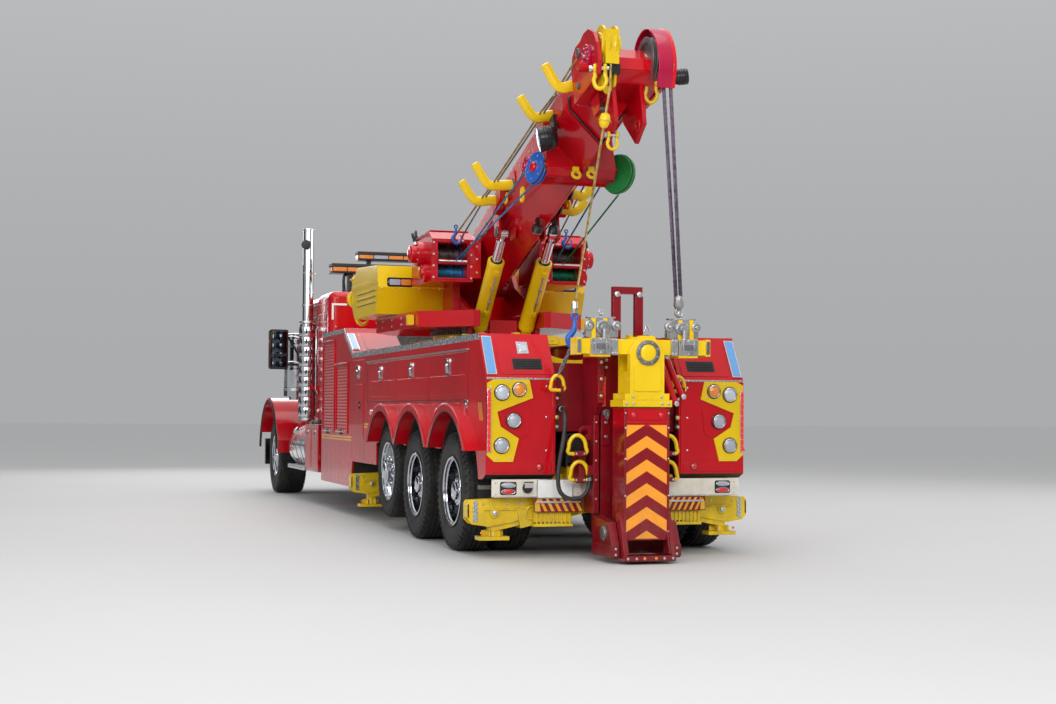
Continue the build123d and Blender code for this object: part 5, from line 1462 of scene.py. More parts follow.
# knuckle frame at the foot
p = Piece("knuckle_trim", "underlift_mast", "red_in_shade", bevel=0.004)
for s in (1, -1):
    p.mat("red_in_shade").prism([(-0.688, s * .299, .055), (-0.688, s * .310, .055), (-0.688, s * .310, .150), (-0.688, s * .299, .150)], (0.44, 0, 0))
    p.mat("cast").lathe((-0.520, s * .299, .240), (0, s, 0), [(0, .062), (.010, .062), (.012, .052), (.020, .050), (.022, .030), (.024, 0)], 32)
    p.mat("brushed")
    for q in range(6):
        a = math.radians(60 * q)
        p.bolt((-0.520 + .050 * math.cos(a), s * .309, .240 + .050 * math.sin(a)), (0, s, 0), .007, .006)
    p.mat("red_in_shade").box(-0.700, -0.684, *ends(s, .232, .298), .052, .145)
    p.mat("brushed").bolt((-0.700, s * .265, .075), (-1, 0, 0), .012, .009)
    p.bolt((-0.700, s * .265, .122), (-1, 0, 0), .012, .009)
p.done()

# crosshead: bolted plates, boss ring
p = Piece("crosshead_trim", "stinger_extension", "yellow_work", bevel=0.003)
for y in (-.185, -.125, .125, .185):
    for z in (1.2975, 1.3525):
        if abs(y) > .15 and z > 1.33:
            continue
        p.mat("brushed").bolt((-0.716 if z < 1.32 else -0.706, y, z), (-1, 0, 0), .013, .011)
p.mat("yellow_work").yz(rounded([(-.118, 1.395), (.118, 1.395), (.118, 1.62), (.060, 1.70), (-.060, 1.70), (-.118, 1.62)], .02),
                        -0.7130, -0.700)
p.mat("cast").loop_lathe((-0.7245, 0, 1.710), (-1, 0, 0), [(0, .070), (0, .104), (.006, .102), (.010, .094), (.010, .074), (.006, .070)], 40)
p.mat("yellow_work").lathe((-0.7245, 0, 1.710), (-1, 0, 0), [(0, .070), (.004, .068), (.010, .050), (.012, 0)], 36)
p.mat("brushed")
for q in range(8):
    a = math.radians(45 * q + 22.5)
    p.bolt((-0.7340, .084 * math.cos(a), 1.710 + .084 * math.sin(a)), (-1, 0, 0), .007, .004)
p.done()

# crossbar: receivers, pivot forks, clamps
p = Piece("crossbar_trim", "crossbar", "yellow_work", bevel=0.003)
for s in (1, -1):
    p.mat("yellow_work").box(-0.640, -0.480, *ends(s, .545, .586), 1.690, 1.830)
    p.mat("cast").yz(mirrored(rounded([(.550, 1.705), (.580, 1.705), (.580, 1.815), (.550, 1.815)], .01), s), -0.644, -0.638)
    p.mat("receiver").yz(mirrored(rounded([(.234, 1.690), (.292, 1.690), (.292, 1.828), (.234, 1.828)], .010), s), -0.650, -0.630)
    p.yz(mirrored(rounded([(.298, 1.694), (.470, 1.694), (.470, 1.826), (.298, 1.826)], .012), s), -0.660, -0.648)
    # grip slots and wear strips on the receiver
    p.mat("cast").box(-0.6635, -0.658, *ends(s, .318, .452), 1.735, 1.785)
    p.mat("receiver").box(-0.6680, -0.662, *ends(s, .330, .342), 1.700, 1.820).box(-0.6680, -0.662, *ends(s, .428, .440), 1.700, 1.820)
    p.mat("brushed")
    for y in (.249, .277, .385):
        for z in (1.706, 1.812):
            p.bolt((-0.650 if y < .3 else -0.660, s * y, z), (-1, 0, 0), .009, .008)
    # heavy grey pivot head over the bar
    p.mat("receiver")
    p.yz(mirrored(rounded([(.215, 1.835), (.495, 1.835), (.495, 1.905), (.455, 1.985), (.420, 1.998), (.300, 1.998), (.255, 1.985),
                           (.215, 1.905)], .02), s), -0.600, -0.586)
    p.yz(mirrored(rounded([(.225, 1.835), (.485, 1.835), (.485, 1.900), (.430, 1.985), (.290, 1.985), (.225, 1.900)], .02), s), -0.534, -0.520)
    for yy in (.232, .468):
        p.lathe((-0.602, s * yy, 1.930), (-1, 0, 0), [(0, .042), (.018, .040), (.022, .032), (.022, .016), (.014, .014), (.014, 0)], 28)
        p.mat("brushed").lathe((-0.612, s * yy, 1.930), (-1, 0, 0), [(0, .014), (.020, .014), (.023, .010)], 6)
        p.mat("receiver")
    p.lathe((-0.600, s * .350, 1.915), (-1, 0, 0), [(0, .058), (.014, .058), (.020, .050), (.020, .022), (.030, .022), (.032, 0)], 32)
    p.cyl((-0.650, s * .350, 1.818), (-0.650, s * .350, 1.900), .020, seg=20)
    p.box(-0.590, -0.530, *ends(s, .235, .475), 1.990, 2.004)
    # lock pins with ring pulls
    p.mat("chrome").cyl((-0.560, s * .350, 1.985), (-0.560, s * .350, 2.030), .011, seg=16)
    p.torus((-0.560, s * .350, 2.046), (1, 0, 0), .018, .0035, 20, 8)
p.done()


# ------------------------------------------------------------------- boom ---
def sheave(p, o, axis, r, w, k="cast", hub="brushed"):
    """Grooved rope sheave with a dished web and a hub."""
    h = w / 2
    p.mat(k).loop_lathe(o, axis, [(-h * .35, r * .30), (-h * .30, r * .74), (-h, r * .80), (-h, r), (-h * .72, r), (-h * .25, r * .885),
                                (h * .25, r * .885), (h * .72, r), (h, r), (h, r * .80), (h * .30, r * .74), (h * .35, r * .30)], 40)
    a = Vector(axis).normalized()
    o = Vector(o)
    p.mat(hub).lathe(o - a * h * 1.15, axis, [(0, r * .20), (h * .2, r * .29), (h * 2.1, r * .29), (h * 2.3, r * .20)], 24)
    return p


def disc_guard(p, o, axis, r, t, k, face=None, bolts=6):
    """Round guard plate with a rolled rim, raised centre and bolts."""
    p.mat(k).lathe(o, axis, [(0, r * .98), (t * .2, r), (t * .8, r), (t, r * .96), (t * .86, r * .90), (t * .86, r * .42),
                            (t * 1.25, r * .38), (t * 1.25, r * .16), (t * 1.1, 0)], 44)
    a, u, v = basis(axis)
    o = Vector(o)
    p.mat("brushed")
    for i in range(bolts):
        q = 2 * math.pi * i / bolts
        p.bolt(o + a * t * .86 + (u * math.cos(q) + v * math.sin(q)) * r * .72, axis, r * .055 + .003, t * .22)
    p.bolt(o + a * t * 1.15, axis, r * .11 + .004, t * .4)
    return p


B = on_boom
BG = lambda q: on_boom(q) + Vector((XC, 0, 0))      # the same in station coordinates
# seams, wear pads and stiffeners of the base section
p = Piece("boom_trim", "boom_base", "black", xf=on_boom, bevel=0.002)
ring = [(0, -.325), (.258, .012), (.258, .128), (.196, .180), (-.196, .180), (-.258, .128), (-.258, .012)]
p.tube([(4.153, y, w) for y, w in ring], .011, 6, closed=True)
p.mat("red_boom")
for s in (1, -1):
    # side doublers and a weld bead along the belly's corner
    p.prism([(0.60, s * .2995, .045), (2.55, s * .2995, .045), (2.60, s * .2995, .075), (2.60, s * .2995, .190), (2.55, s * .2995, .215),
             (0.60, s * .2995, .215)], (0, s * .008, 0))
    p.prism([(2.78, s * .2995, .045), (3.22, s * .2995, .045), (3.22, s * .2995, .215), (2.78, s * .2995, .215)], (0, s * .008, 0))
    p.tube([(.45, s * .301, .020), (3.39, s * .301, .020)], .006, 8)
    p.tube([(3.64, s * .301, .020), (4.08, s * .301, .020)], .006, 8)
    p.mat("brushed")
    for d in (.70, 1.10, 1.50, 2.35, 2.90, 3.10):
        p.dome((d, s * .307, .130), (0, s, 0), .011, .008, 14, 4)
    p.mat("red_boom")
p.tube([(.55, 0, -.338), (3.39, 0, -.338)], .008, 8)
p.tube([(3.64, 0, -.338), (4.08, 0, -.338)], .008, 8)
# collar bands
for d0, d1 in ((3.405, 3.43), (3.545, 3.57)):
    p.box(d0, d1, -.335, .335, -.360, -.350)
for s in (1, -1):
    p.box(3.41, 3.61, *ends(s, .328, .336), -.28, -.20)
    p.mat("brushed")
    for d in (3.44, 3.58):
        p.bolt((d, s * .336, -.24), (0, s, 0), .012, .009)
    p.mat("red_boom")
p.mat("lens_white_lit")
for i in range(4):
    p.prism([(3.03 + .022 * i, .3075, -.035), (3.04 + .022 * i, .3075, -.035), (3.06 + .022 * i, .3075, .015), (3.05 + .022 * i, .3075, .015)],
            (0, .002, 0))
p.done()

# yellow lifting eyes
p = Piece("boom_eyes", "boom_base", "yellow_work", xf=on_boom, bevel=0.0025)
for d, y, w in ((3.68, .085, -.385), (3.70, -.055, -.385)):
    p.torus((d, y, w), (1, 0, .15), .036, .0145, 28, 10)
    p.box(d - .014, d + .014, y - .030, y + .030, w + .030, w + .075)
for d, y, w, s in ((2.80, .320, -.20, 1), (2.32, -.320, -.02, -1), (2.30, .320, .02, 1)):
    p.torus((d, y, w), (0, 1, 0), .040, .014, 28, 10)
    p.prism([(d - .05, y - s * .022, w + .03), (d + .05, y - s * .022, w + .03), (d + .03, y - s * .022, w + .10), (d - .03, y - s * .022, w + .10)],
            (0, s * .028, 0))
p.done()
# red brackets above the rods
p = Piece("rod_brackets", "boom_base", "red", xf=on_boom, bevel=0.003)
for s in (1, -1):
    p.mat("red").prism([(2.02, s * .300, -.02), (2.30, s * .300, .02), (2.36, s * .300, .10), (2.30, s * .300, .17), (2.06, s * .300, .12)],
                       (0, s * .085, 0))
    p.mat("cast").lathe((2.16, s * .384, .07), (0, s, 0), [(0, .034), (.012, .034), (.016, .026), (.016, 0)], 24)
    # rod eye pins in the hanging lugs
    p.mat("cast").lathe((1.93, s * .3205, -.175), (0, s, 0), [(0, .052), (.014, .052), (.018, .044), (.022, .020), (.022, 0)], 28)
    p.mat("brushed").box(1.90, 1.96, *ends(s, .322, .338), -.125, -.112)
p.done()

# work lamps
p = Piece("work_lamp_left", "boom_base", "black", xf=on_boom, bevel=0.002)
o, ax = Vector((3.88, .302, -.115)), (-.30, 1, -.12)
p.lathe(o, ax, [(0, .050), (.02, .088), (.05, .108), (.165, .112), (.178, .108), (.172, .098)], 36)
a_ = Vector(ax).normalized()
for t in (.07, .095, .12):
    p.torus(o + a_ * t, ax, .1125, .004, 36, 6)
p.mat("chrome").loop_lathe(o + a_ * .170, ax, [(0, .096), (0, .106), (.006, .106), (.008, .098)], 36)
p.mat("lens_blue").lathe(o + a_ * .168, ax, [(0, .097), (.006, .096), (.014, .070), (.017, .035), (.018, 0)], 36)
p.mat("black").box(3.80, 3.90, .298, .330, -.06, .10)
p.done()
p = Piece("work_lamps_below", "boom_base", "black", xf=on_boom, bevel=0.002)
for y in (.085, -.085):
    o, ax = Vector((2.50, y, -.330)), (-.55, .10, -1.0)
    a_ = Vector(ax).normalized()
    p.mat("black").lathe(o, ax, [(0, .022), (.012, .040), (.030, .050), (.088, .052), (.094, .048)], 28)
    p.torus(o + a_ * .050, ax, .0525, .003, 28, 6)
    p.mat("chrome").loop_lathe(o + a_ * .092, ax, [(0, .040), (0, .049), (.004, .049), (.005, .041)], 28)
    p.mat("lens_clear").lathe(o + a_ * .091, ax, [(0, .041), (.004, .040), (.009, .020), (.010, 0)], 28)
    p.mat("black").box(2.47, 2.53, y - .012, y + .012, -.335, -.27)
p.done()

# side sheaves in their guards: blue on the left, green on the right
for name, k, s, d, y, w, r, tilt in (("blue", "blue", 1, 3.46, .375, -.225, .150, .30), ("green", "green", -1, 3.54, -.385, -.285, .180, -.55)):
    ax = (tilt, s, .1)
    p = Piece("side_sheave_" + name, "boom_base", k, xf=on_boom, bevel=0.003)
    a_ = Vector(ax).normalized()
    o = Vector((d, y, w))
    sheave(p, o, ax, r * .93, .042, "cast")
    for t, rr in ((-.034, 1.0), (.022, 1.0)):
        disc_guard(p, o + a_ * t, ax if t > 0 else ax, r * rr, .012, k, bolts=6)
    # guard strap and hanger arm
    p.mat(k).torus(o, ax, r * 1.0, .010, 36, 8, arc=(.5, 4.6))
    p.mat("red").tube([o - a_ * .05, Vector((d - .03, s * .31, w + .20))], .030, 12)
    p.lathe(o + a_ * .034, ax, [(0, .048), (.020, .046), (.030, .034), (.034, .0)], 26)
    p.done()
p = Piece("red_sheave_bosses", "boom_base", "magenta", xf=on_boom, bevel=0.003)
disc_guard(p, Vector((3.10, .330, -.02)), (.2, 1, 0), .085, .030, "magenta")
disc_guard(p, Vector((3.10, -.330, -.02)), (.2, -1, 0), .085, .030, "magenta")
p.done()


# rope hangers: yellow arms whose tips turn up, left side mostly
def hanger(p, base, bend, tip, k="yellow_work", w=.052):
    base, bend, tip = (Vector(q) for q in (base, bend, tip))
    p.mat(k)
    mid = base + (bend - base) * .5
    pts = [base, mid, bend - (bend - mid).normalized() * .04, bend + (tip - bend).normalized() * .05, tip]
    line = curve(pts, 6)
    n = len(line)
    p.tube(line, [w * (1.0 - .15 * i / (n - 1)) for i in range(n)], 12, scale=(.62, 1.0))
    p.dome(tip, tip - bend, w * .80, .012, 12, 4, scale=(.62, 1.0))
    p.mat("cast").lathe(base + Vector((0, -.004 if base.y > 0 else .004, 0)), (bend - base), [(0, w * 1.35), (.014, w * 1.35), (.018, w * 1.1)], 16)
    return p


p = Piece("rope_hangers_tip", "boom_extension", "yellow_work", bevel=0)
hanger(p, (.28, .240, 4.085), (.30, .44, 4.035), (.30, .565, 4.235))
p.done()
p = Piece("rope_hangers_base", "boom_base", "yellow_work", bevel=0)
hanger(p, (.90, .240, 3.925), (.90, .475, 3.875), (.90, .605, 4.060))
hanger(p, (2.10, .295, 3.435), (2.10, .555, 3.415), (2.10, .690, 3.620))
hanger(p, (2.42, .295, 3.330), (2.42, .600, 3.300), (2.42, .735, 3.490))
hanger(p, (2.10, -.295, 3.380), (2.10, -.440, 3.345), (2.10, -.520, 3.470))
hanger(p, (2.42, -.295, 3.270), (2.42, -.470, 3.235), (2.42, -.560, 3.360))
p.done()

# ------------------------------------------------------------------- head ---
p = Piece("head_sheaves", "boom_extension", "cast", xf=on_boom, bevel=0.003)
for s in (1, -1):
    for y in (.262, .205):
        sheave(p, Vector((4.90, s * y, .10)), (0, 1, 0), .205, .046, "cast")
    disc_guard(p, Vector((4.90, s * .334, .10)), (0, s, 0), .105, .030, "magenta", bolts=8)
    # pins and keepers on the cheeks
    p.mat("cast").lathe((4.70, s * .334, .255), (0, s, 0), [(0, .040), (.016, .040), (.020, .030), (.020, 0)], 26)
    p.lathe((4.62, s * .334, -.02), (0, s, 0), [(0, .030), (.014, .030), (.018, .022), (.018, 0)], 24)
    p.mat("brushed").box(4.985, 5.045, *ends(s, .334, .346), .085, .115)
p.done()
# right sheave guard with a bright red strip
p = Piece("right_guard", "boom_extension", "magenta", xf=on_boom, bevel=0.004)
line = [Vector(q) for q in ((4.655, 0, .22), (4.72, 0, .345), (4.86, 0, .385), (5.00, 0, .350), (5.11, 0, .240), (5.165, 0, .080),
                            (5.150, 0, -.090), (5.05, 0, -.235))]
line = curve(line, 5)
for y0, y1, t, k in ((-.352, -.190, .014, "magenta"), (-.350, -.318, .019, "red_strip")):
    vs, fs = [], []
    n = len(line)
    for i, q in enumerate(line):
        tg = (line[min(i + 1, n - 1)] - line[max(i - 1, 0)]).normalized()
        nr = Vector((tg.z, 0, -tg.x))
        if nr.dot(q - Vector((4.90, 0, .08))) < 0:
            nr = -nr
        for yy in (y0, y1):
            vs += [(q.x, yy, q.z), (q.x + nr.x * t, yy, q.z + nr.z * t)]
    for i in range(n - 1):
        a, b = 4 * i, 4 * (i + 1)
        fs += [(a, b, b + 2, a + 2), (a + 1, a + 3, b + 3, b + 1), (a, a + 1, b + 1, b), (a + 2, b + 2, b + 3, a + 3)]
    fs += [(0, 2, 3, 1), (4 * n - 4, 4 * n - 3, 4 * n - 1, 4 * n - 2)]
    p.mat(k).shape(vs, fs)
p.done()
# left swivel block: yellow cheeks, disc, black clamp, all hanging plumb
p = Piece("swivel_block", "boom_extension", "yellow", bevel=0.004)
o = Vector((-.290, .205, 4.300))
cheek = [(-.105, .06), (-.09, .13), (-.03, .175), (.05, .170), (.11, .12), (.125, .03), (.10, -.09), (.055, -.24), (.045, -.345),
         (-.035, -.345), (-.050, -.22), (-.090, -.08)]
for y in (-.066, .046):
    p.mat("yellow").prism([(o.x + a, o.y + y, o.z + b) for a, b in rounded(cheek, .04)], (0, .020, 0))
sheave(p, o + Vector((0, -.0, 0)), (0, 1, 0), .140, .070, "yellow")
disc_guard(p, o + Vector((0, .066, 0)), (0, 1, 0), .108, .022, "yellow", bolts=5)
disc_guard(p, o + Vector((-.02, -.066, 0)), (0, -1, 0), .090, .020, "yellow", bolts=5)
p.mat("yellow").box(o.x - .120, o.x - .098, o.y - .06, o.y + .06, o.z - .17, o.z + .12)
p.mat("black").box(o.x - .085, o.x + .085, o.y - .085, o.y + .085, o.z - .245, o.z - .165)
p.mat("brushed")
for y in (-.085, .085):
    for x in (-.05, .05):
        p.bolt((o.x + x, o.y + y, o.z - .205), (0, 1 if y > 0 else -1, 0), .012, .010)
p.mat("yellow").lathe((o.x, o.y, o.z - .345), (0, 0, -1), [(0, .036), (.020, .040), (.045, .030), (.060, .014)], 24)
p.mat("red").tube(curve([BG((4.86, .285, .02)), (o.x + .02, .29, 4.20), (o.x - .01, .27, 4.11)], 5), .026, 12)
p.done()


def shackle(p, c, w, h, r, down=(0, 0, -1), side=(0, 1, 0), k="yellow_work"):
    """Bow shackle: bow, eyes and a headed pin."""
    c, d, u = Vector(c), Vector(down).normalized(), Vector(side).normalized()
    pts = [c - u * w / 2, c - u * w / 2 + d * h * .35]
    for i in range(9):
        q = math.pi * i / 8
        pts.append(c - u * w * .62 * math.cos(q) + d * (h * .55 + h * .45 * math.sin(q)))
    pts += [c + u * w / 2 + d * h * .35, c + u * w / 2]
    p.mat(k).tube(curve(pts, 4), r, 10)
    for sg in (1, -1):
        p.torus(c + u * sg * w / 2, u, r * 1.5, r * .85, 20, 8)
    p.mat("brushed").cyl(c - u * (w / 2 + r * 1.8), c + u * (w / 2 + r * 1.8), r * .95, seg=16)
    p.bolt(c + u * (w / 2 + r * 1.6), u, r * 1.6, r * 1.2)
    return p


p = Piece("head_shackles", "boom_extension", "yellow_work", bevel=0)
shackle(p, BG((5.06, .300, -.10)), .085, .17, .018, side=(.5, 1, 0))
shackle(p, BG((4.74, .128, -.545)), .075, .12, .014, side=(0, 1, 0))
shackle(p, BG((4.87, -.230, -.090)), .085, .17, .017, side=(.5, 1, 0))
p.done()
p = Piece("head_plates_trim", "boom_extension", "red", xf=on_boom, bevel=0.003)
for s in (1, -1):
    for sg, y in ((1, .145), (-1, .110)):
        p.mat("red").loop_lathe((4.74, s * y, -.440), (0, s * sg, 0), [(0, .032), (0, .062), (.008, .060), (.010, .056), (.010, .036)], 28)
    p.prism([(4.46, s * .1445, -.20), (4.62, s * .1445, -.20), (4.80, s * .1445, -.16), (4.80, s * .1445, -.185), (4.62, s * .1445, -.225),
             (4.46, s * .1445, -.225)], (0, s * .008, 0))
    p.mat("brushed")
    for d, w in ((4.50, -.15), (4.60, -.05), (4.70, .02), (4.56, -.32)):
        p.bolt((d, s * .145, w), (0, s, 0), .011, .009)
    # rollers low between plates and cheeks
    p.mat("cast").cyl((4.66, s * .147, -.255), (4.66, s * .205, -.255), .034, seg=22)
    p.mat("red").prism([(4.56, s * .205, -.14), (4.74, s * .205, -.14), (4.71, s * .205, -.30), (4.60, s * .205, -.30)], (0, s * .014, 0))
# blank facing bands on the front of the head
p.mat("red")
p.prism([(5.001, -.20, -.055), (5.001, .20, -.055), (5.001, .20, .055), (5.001, -.20, .055)], (.006, 0, 0))
p.mat("magenta").tube([(4.47, -.305, -.118), (4.47, .305, -.118)], .012, 10)
p.mat("white")
for w in (.155, .105):
    p.prism([(5.0005 - (w - .06) * .60, .215, w), (5.0005 - (w - .06) * .60, .262, w), (5.0005 - (w - .06) * .60 - .012, .262, w + .022),
             (5.0005 - (w - .06) * .60 - .012, .215, w + .022)], (.006, 0, .003))
p.done()
p = Piece("head_lamp", "boom_extension", "black", xf=on_boom, bevel=0.002)
o, ax = Vector((5.07, -.345, -.145)), (.25, -1, .05)
a_ = Vector(ax).normalized()
p.lathe(o, ax, [(0, .035), (.016, .058), (.040, .066), (.115, .068), (.124, .064), (.120, .056)], 32)
for t in (.05, .07, .09):
    p.torus(o + a_ * t, ax, .068, .0035, 32, 6)
p.mat("lens_blue").lathe(o + a_ * .118, ax, [(0, .056), (.006, .054), (.011, .030), (.012, 0)], 32)
p.mat("black").box(5.03, 5.10, -.350, -.325, -.12, .02)
p.done()


# ------------------------------------------------------------------ ropes ---
def line_pts(*pts):
    return [Vector(q) if not isinstance(q, Vector) else q for q in pts]


g = ground
e0 = Piece("winch_lines_gold", "boom_base", "rope_gold", xf=lambda q: Vector(q), bevel=0)
G = lambda *q: g(q)
e0.mat("rope_gold").rope([B((4.12, .385, .16)), G(.90, .43, 3.905), G(2.10, .50, 3.445), G(2.42, .53, 3.33), G(3.45, .60, 2.955)], .0095)
e0.mat("rope").rope([B((4.12, .350, .18)), G(.90, .385, 3.925), G(2.10, .46, 3.462), G(2.42, .49, 3.345), G(3.47, .50, 2.960)], .0095)
e0.mat("rope").rope([B((4.12, -.350, .18)), G(2.10, -.40, 3.40), G(3.47, -.55, 2.960)], .0095)
e0.mat("rope_blue").rope([B((3.37, .392, -.345)), G(3.36, .60, 2.735)], .009)
e0.mat("rope_blue").rope([B((3.55, .365, -.095)), G(3.38, .52, 2.745)], .009)
e0.mat("rope_green").rope([B((3.40, -.415, -.430)), G(3.36, -.60, 2.735)], .009)
e0.mat("rope_blue").rope([B((3.63, -.375, -.130)), G(3.38, -.52, 2.745)], .009)
e0.done()
e1 = Piece("head_lines", "boom_extension", "rope_gold", xf=lambda q: Vector(q), bevel=0)
e1.mat("rope_gold").rope([B((4.15, .385, .158)), B((4.55, .36, .20)), B((4.78, .285, .275))], .0095)
e1.mat("rope").rope([B((4.15, .350, .178)), B((4.60, .29, .24)), B((4.80, .262, .270))], .0095)
e1.mat("rope").rope([B((4.15, -.350, .178)), B((4.60, -.29, .24)), B((4.80, -.262, .270))], .0095)
# gold line down to the blue hook on the left
e1.mat("rope_gold").rope([g((-.390, .205, 4.30)), g((-.385, .215, 3.94)), g((-.205, .455, 2.12))], .0105)
# two-part dark line on the right
e1.mat("rope_dark").rope([B((5.10, -.318, .00)), g((-.505, -.378, 2.14))], .0165)
e1.mat("rope_dark").rope([B((5.04, -.272, -.08)), g((-.495, -.340, 2.14))], .0165)
e1.done()
p = Piece("line_swivel", "boom_extension", "yellow_work", bevel=0)
top, bot = Vector((-.385, .215, 3.94)), Vector((-.205, .455, 2.12))
c = top + (bot - top) * .12
ax = bot - top
p.lathe(c, ax, [(0, .014), (.012, .036), (.045, .046), (.085, .046), (.115, .034), (.13, .016)], 24)
p.torus(c + ax.normalized() * .065, ax, .047, .006, 28, 8)
p.done()


def hook(p, c, size, k="blue", facing=(1, 0, 0)):
    """Forged hook hanging from an eye at c: shank, bowl, tip and safety latch."""
    c = Vector(c)
    u = Vector(facing).normalized().cross(Vector((0, 0, 1))).normalized()
    w = size
    P = lambda a, b: c + u * (a * w) + Vector((0, 0, b * w))
    p.mat(k).torus(P(0, -.06), facing, .085 * w, .040 * w, 24, 10)
    path = [P(0, -.16), P(0, -.34), P(-.05, -.50), P(-.17, -.66), P(-.14, -.84), P(.02, -.96), P(.20, -.92), P(.30, -.76), P(.30, -.60), P(.25, -.52)]
    ln = curve(path, 5)
    n = len(ln)
    rad = []
    for i in range(n):
        t = i / (n - 1)
        rad.append(w * (.058 + .050 * math.sin(math.pi * min(1, t * 1.15)) - .030 * t))
    p.tube(ln, rad, 14)
    p.mat("brushed").tube([P(.01, -.40), P(.255, -.55)], .016 * w, 8)
    p.cyl(P(0, -.36) - Vector(facing) * .07 * w, P(0, -.36) + Vector(facing) * .07 * w, .030 * w, seg=14)
    return p


p = Piece("left_hook", "boom_extension", "blue", bevel=0)
p.mat("brushed").lathe((-.205, .455, 2.150), (.0, .0, -1), [(0, .014), (.012, .026), (.060, .030), (.075, .022), (.10, .018)], 20)
hook(p, (-.205, .455, 2.045), .30)
p.done()
p = Piece("hook_chain", "chassis", "cast", bevel=0)
# short chain from the hook to the ring
a, b = Vector((-.205, .475, 1.775)), Vector((-.160, .575, 1.545))
for i in range(7):
    t = (i + .5) / 7
    c = a + (b - a) * t
    d = (b - a).normalized()
    u = d.cross(Vector((1, 0, 0))).normalized() if i % 2 else Vector((1, 0, 0))
    L, W = .026, .013
    pts = []
    for k in range(16):
        q = 2 * math.pi * k / 16
        pts.append(c + d * (L * math.cos(q) + (.008 if math.cos(q) > 0 else -.008)) + u * W * math.sin(q))
    p.tube(pts, .0055, 8, closed=True)
p.done()
p = Piece("right_line_end", "boom_extension", "receiver", bevel=0.002)
p.mat("receiver").lathe((-.500, -.360, 2.20), (0, 0, -1), [(0, .022), (.020, .040), (.085, .044), (.105, .034), (.13, .020)], 24)
p.torus((-.500, -.360, 2.055), (1, 0, 0), .030, .011, 26, 10)
p.done()

# stowed hooks on the winches
for s in (1, -1):
    p = Piece("stowed_hook_" + ("left" if s > 0 else "right"), "turret", "blue", bevel=0)
    c = Vector((3.13, s * .60, 3.135))
    hook(p, c, .19, facing=(1, 0, 0))
    p.done()

# ---------------------------------------------------------------- winches ---
def wraps(p, x, z, r, y0, y1, s, k, rr=.0095):
    n = int((y1 - y0) / (2 * rr))
    prof = [(0, r * .9)]
    for i in range(n):
        c = (i + .5) * 2 * rr
        for q in range(0, 7):
            a = math.pi * q / 6
            prof.append((c - rr * math.cos(a), r + rr * math.sin(a)))
    prof.append((n * 2 * rr, r * .9))
    o = (x, s * y0, z)
    return p.mat(k).lathe(o, (0, s, 0), prof, 30)


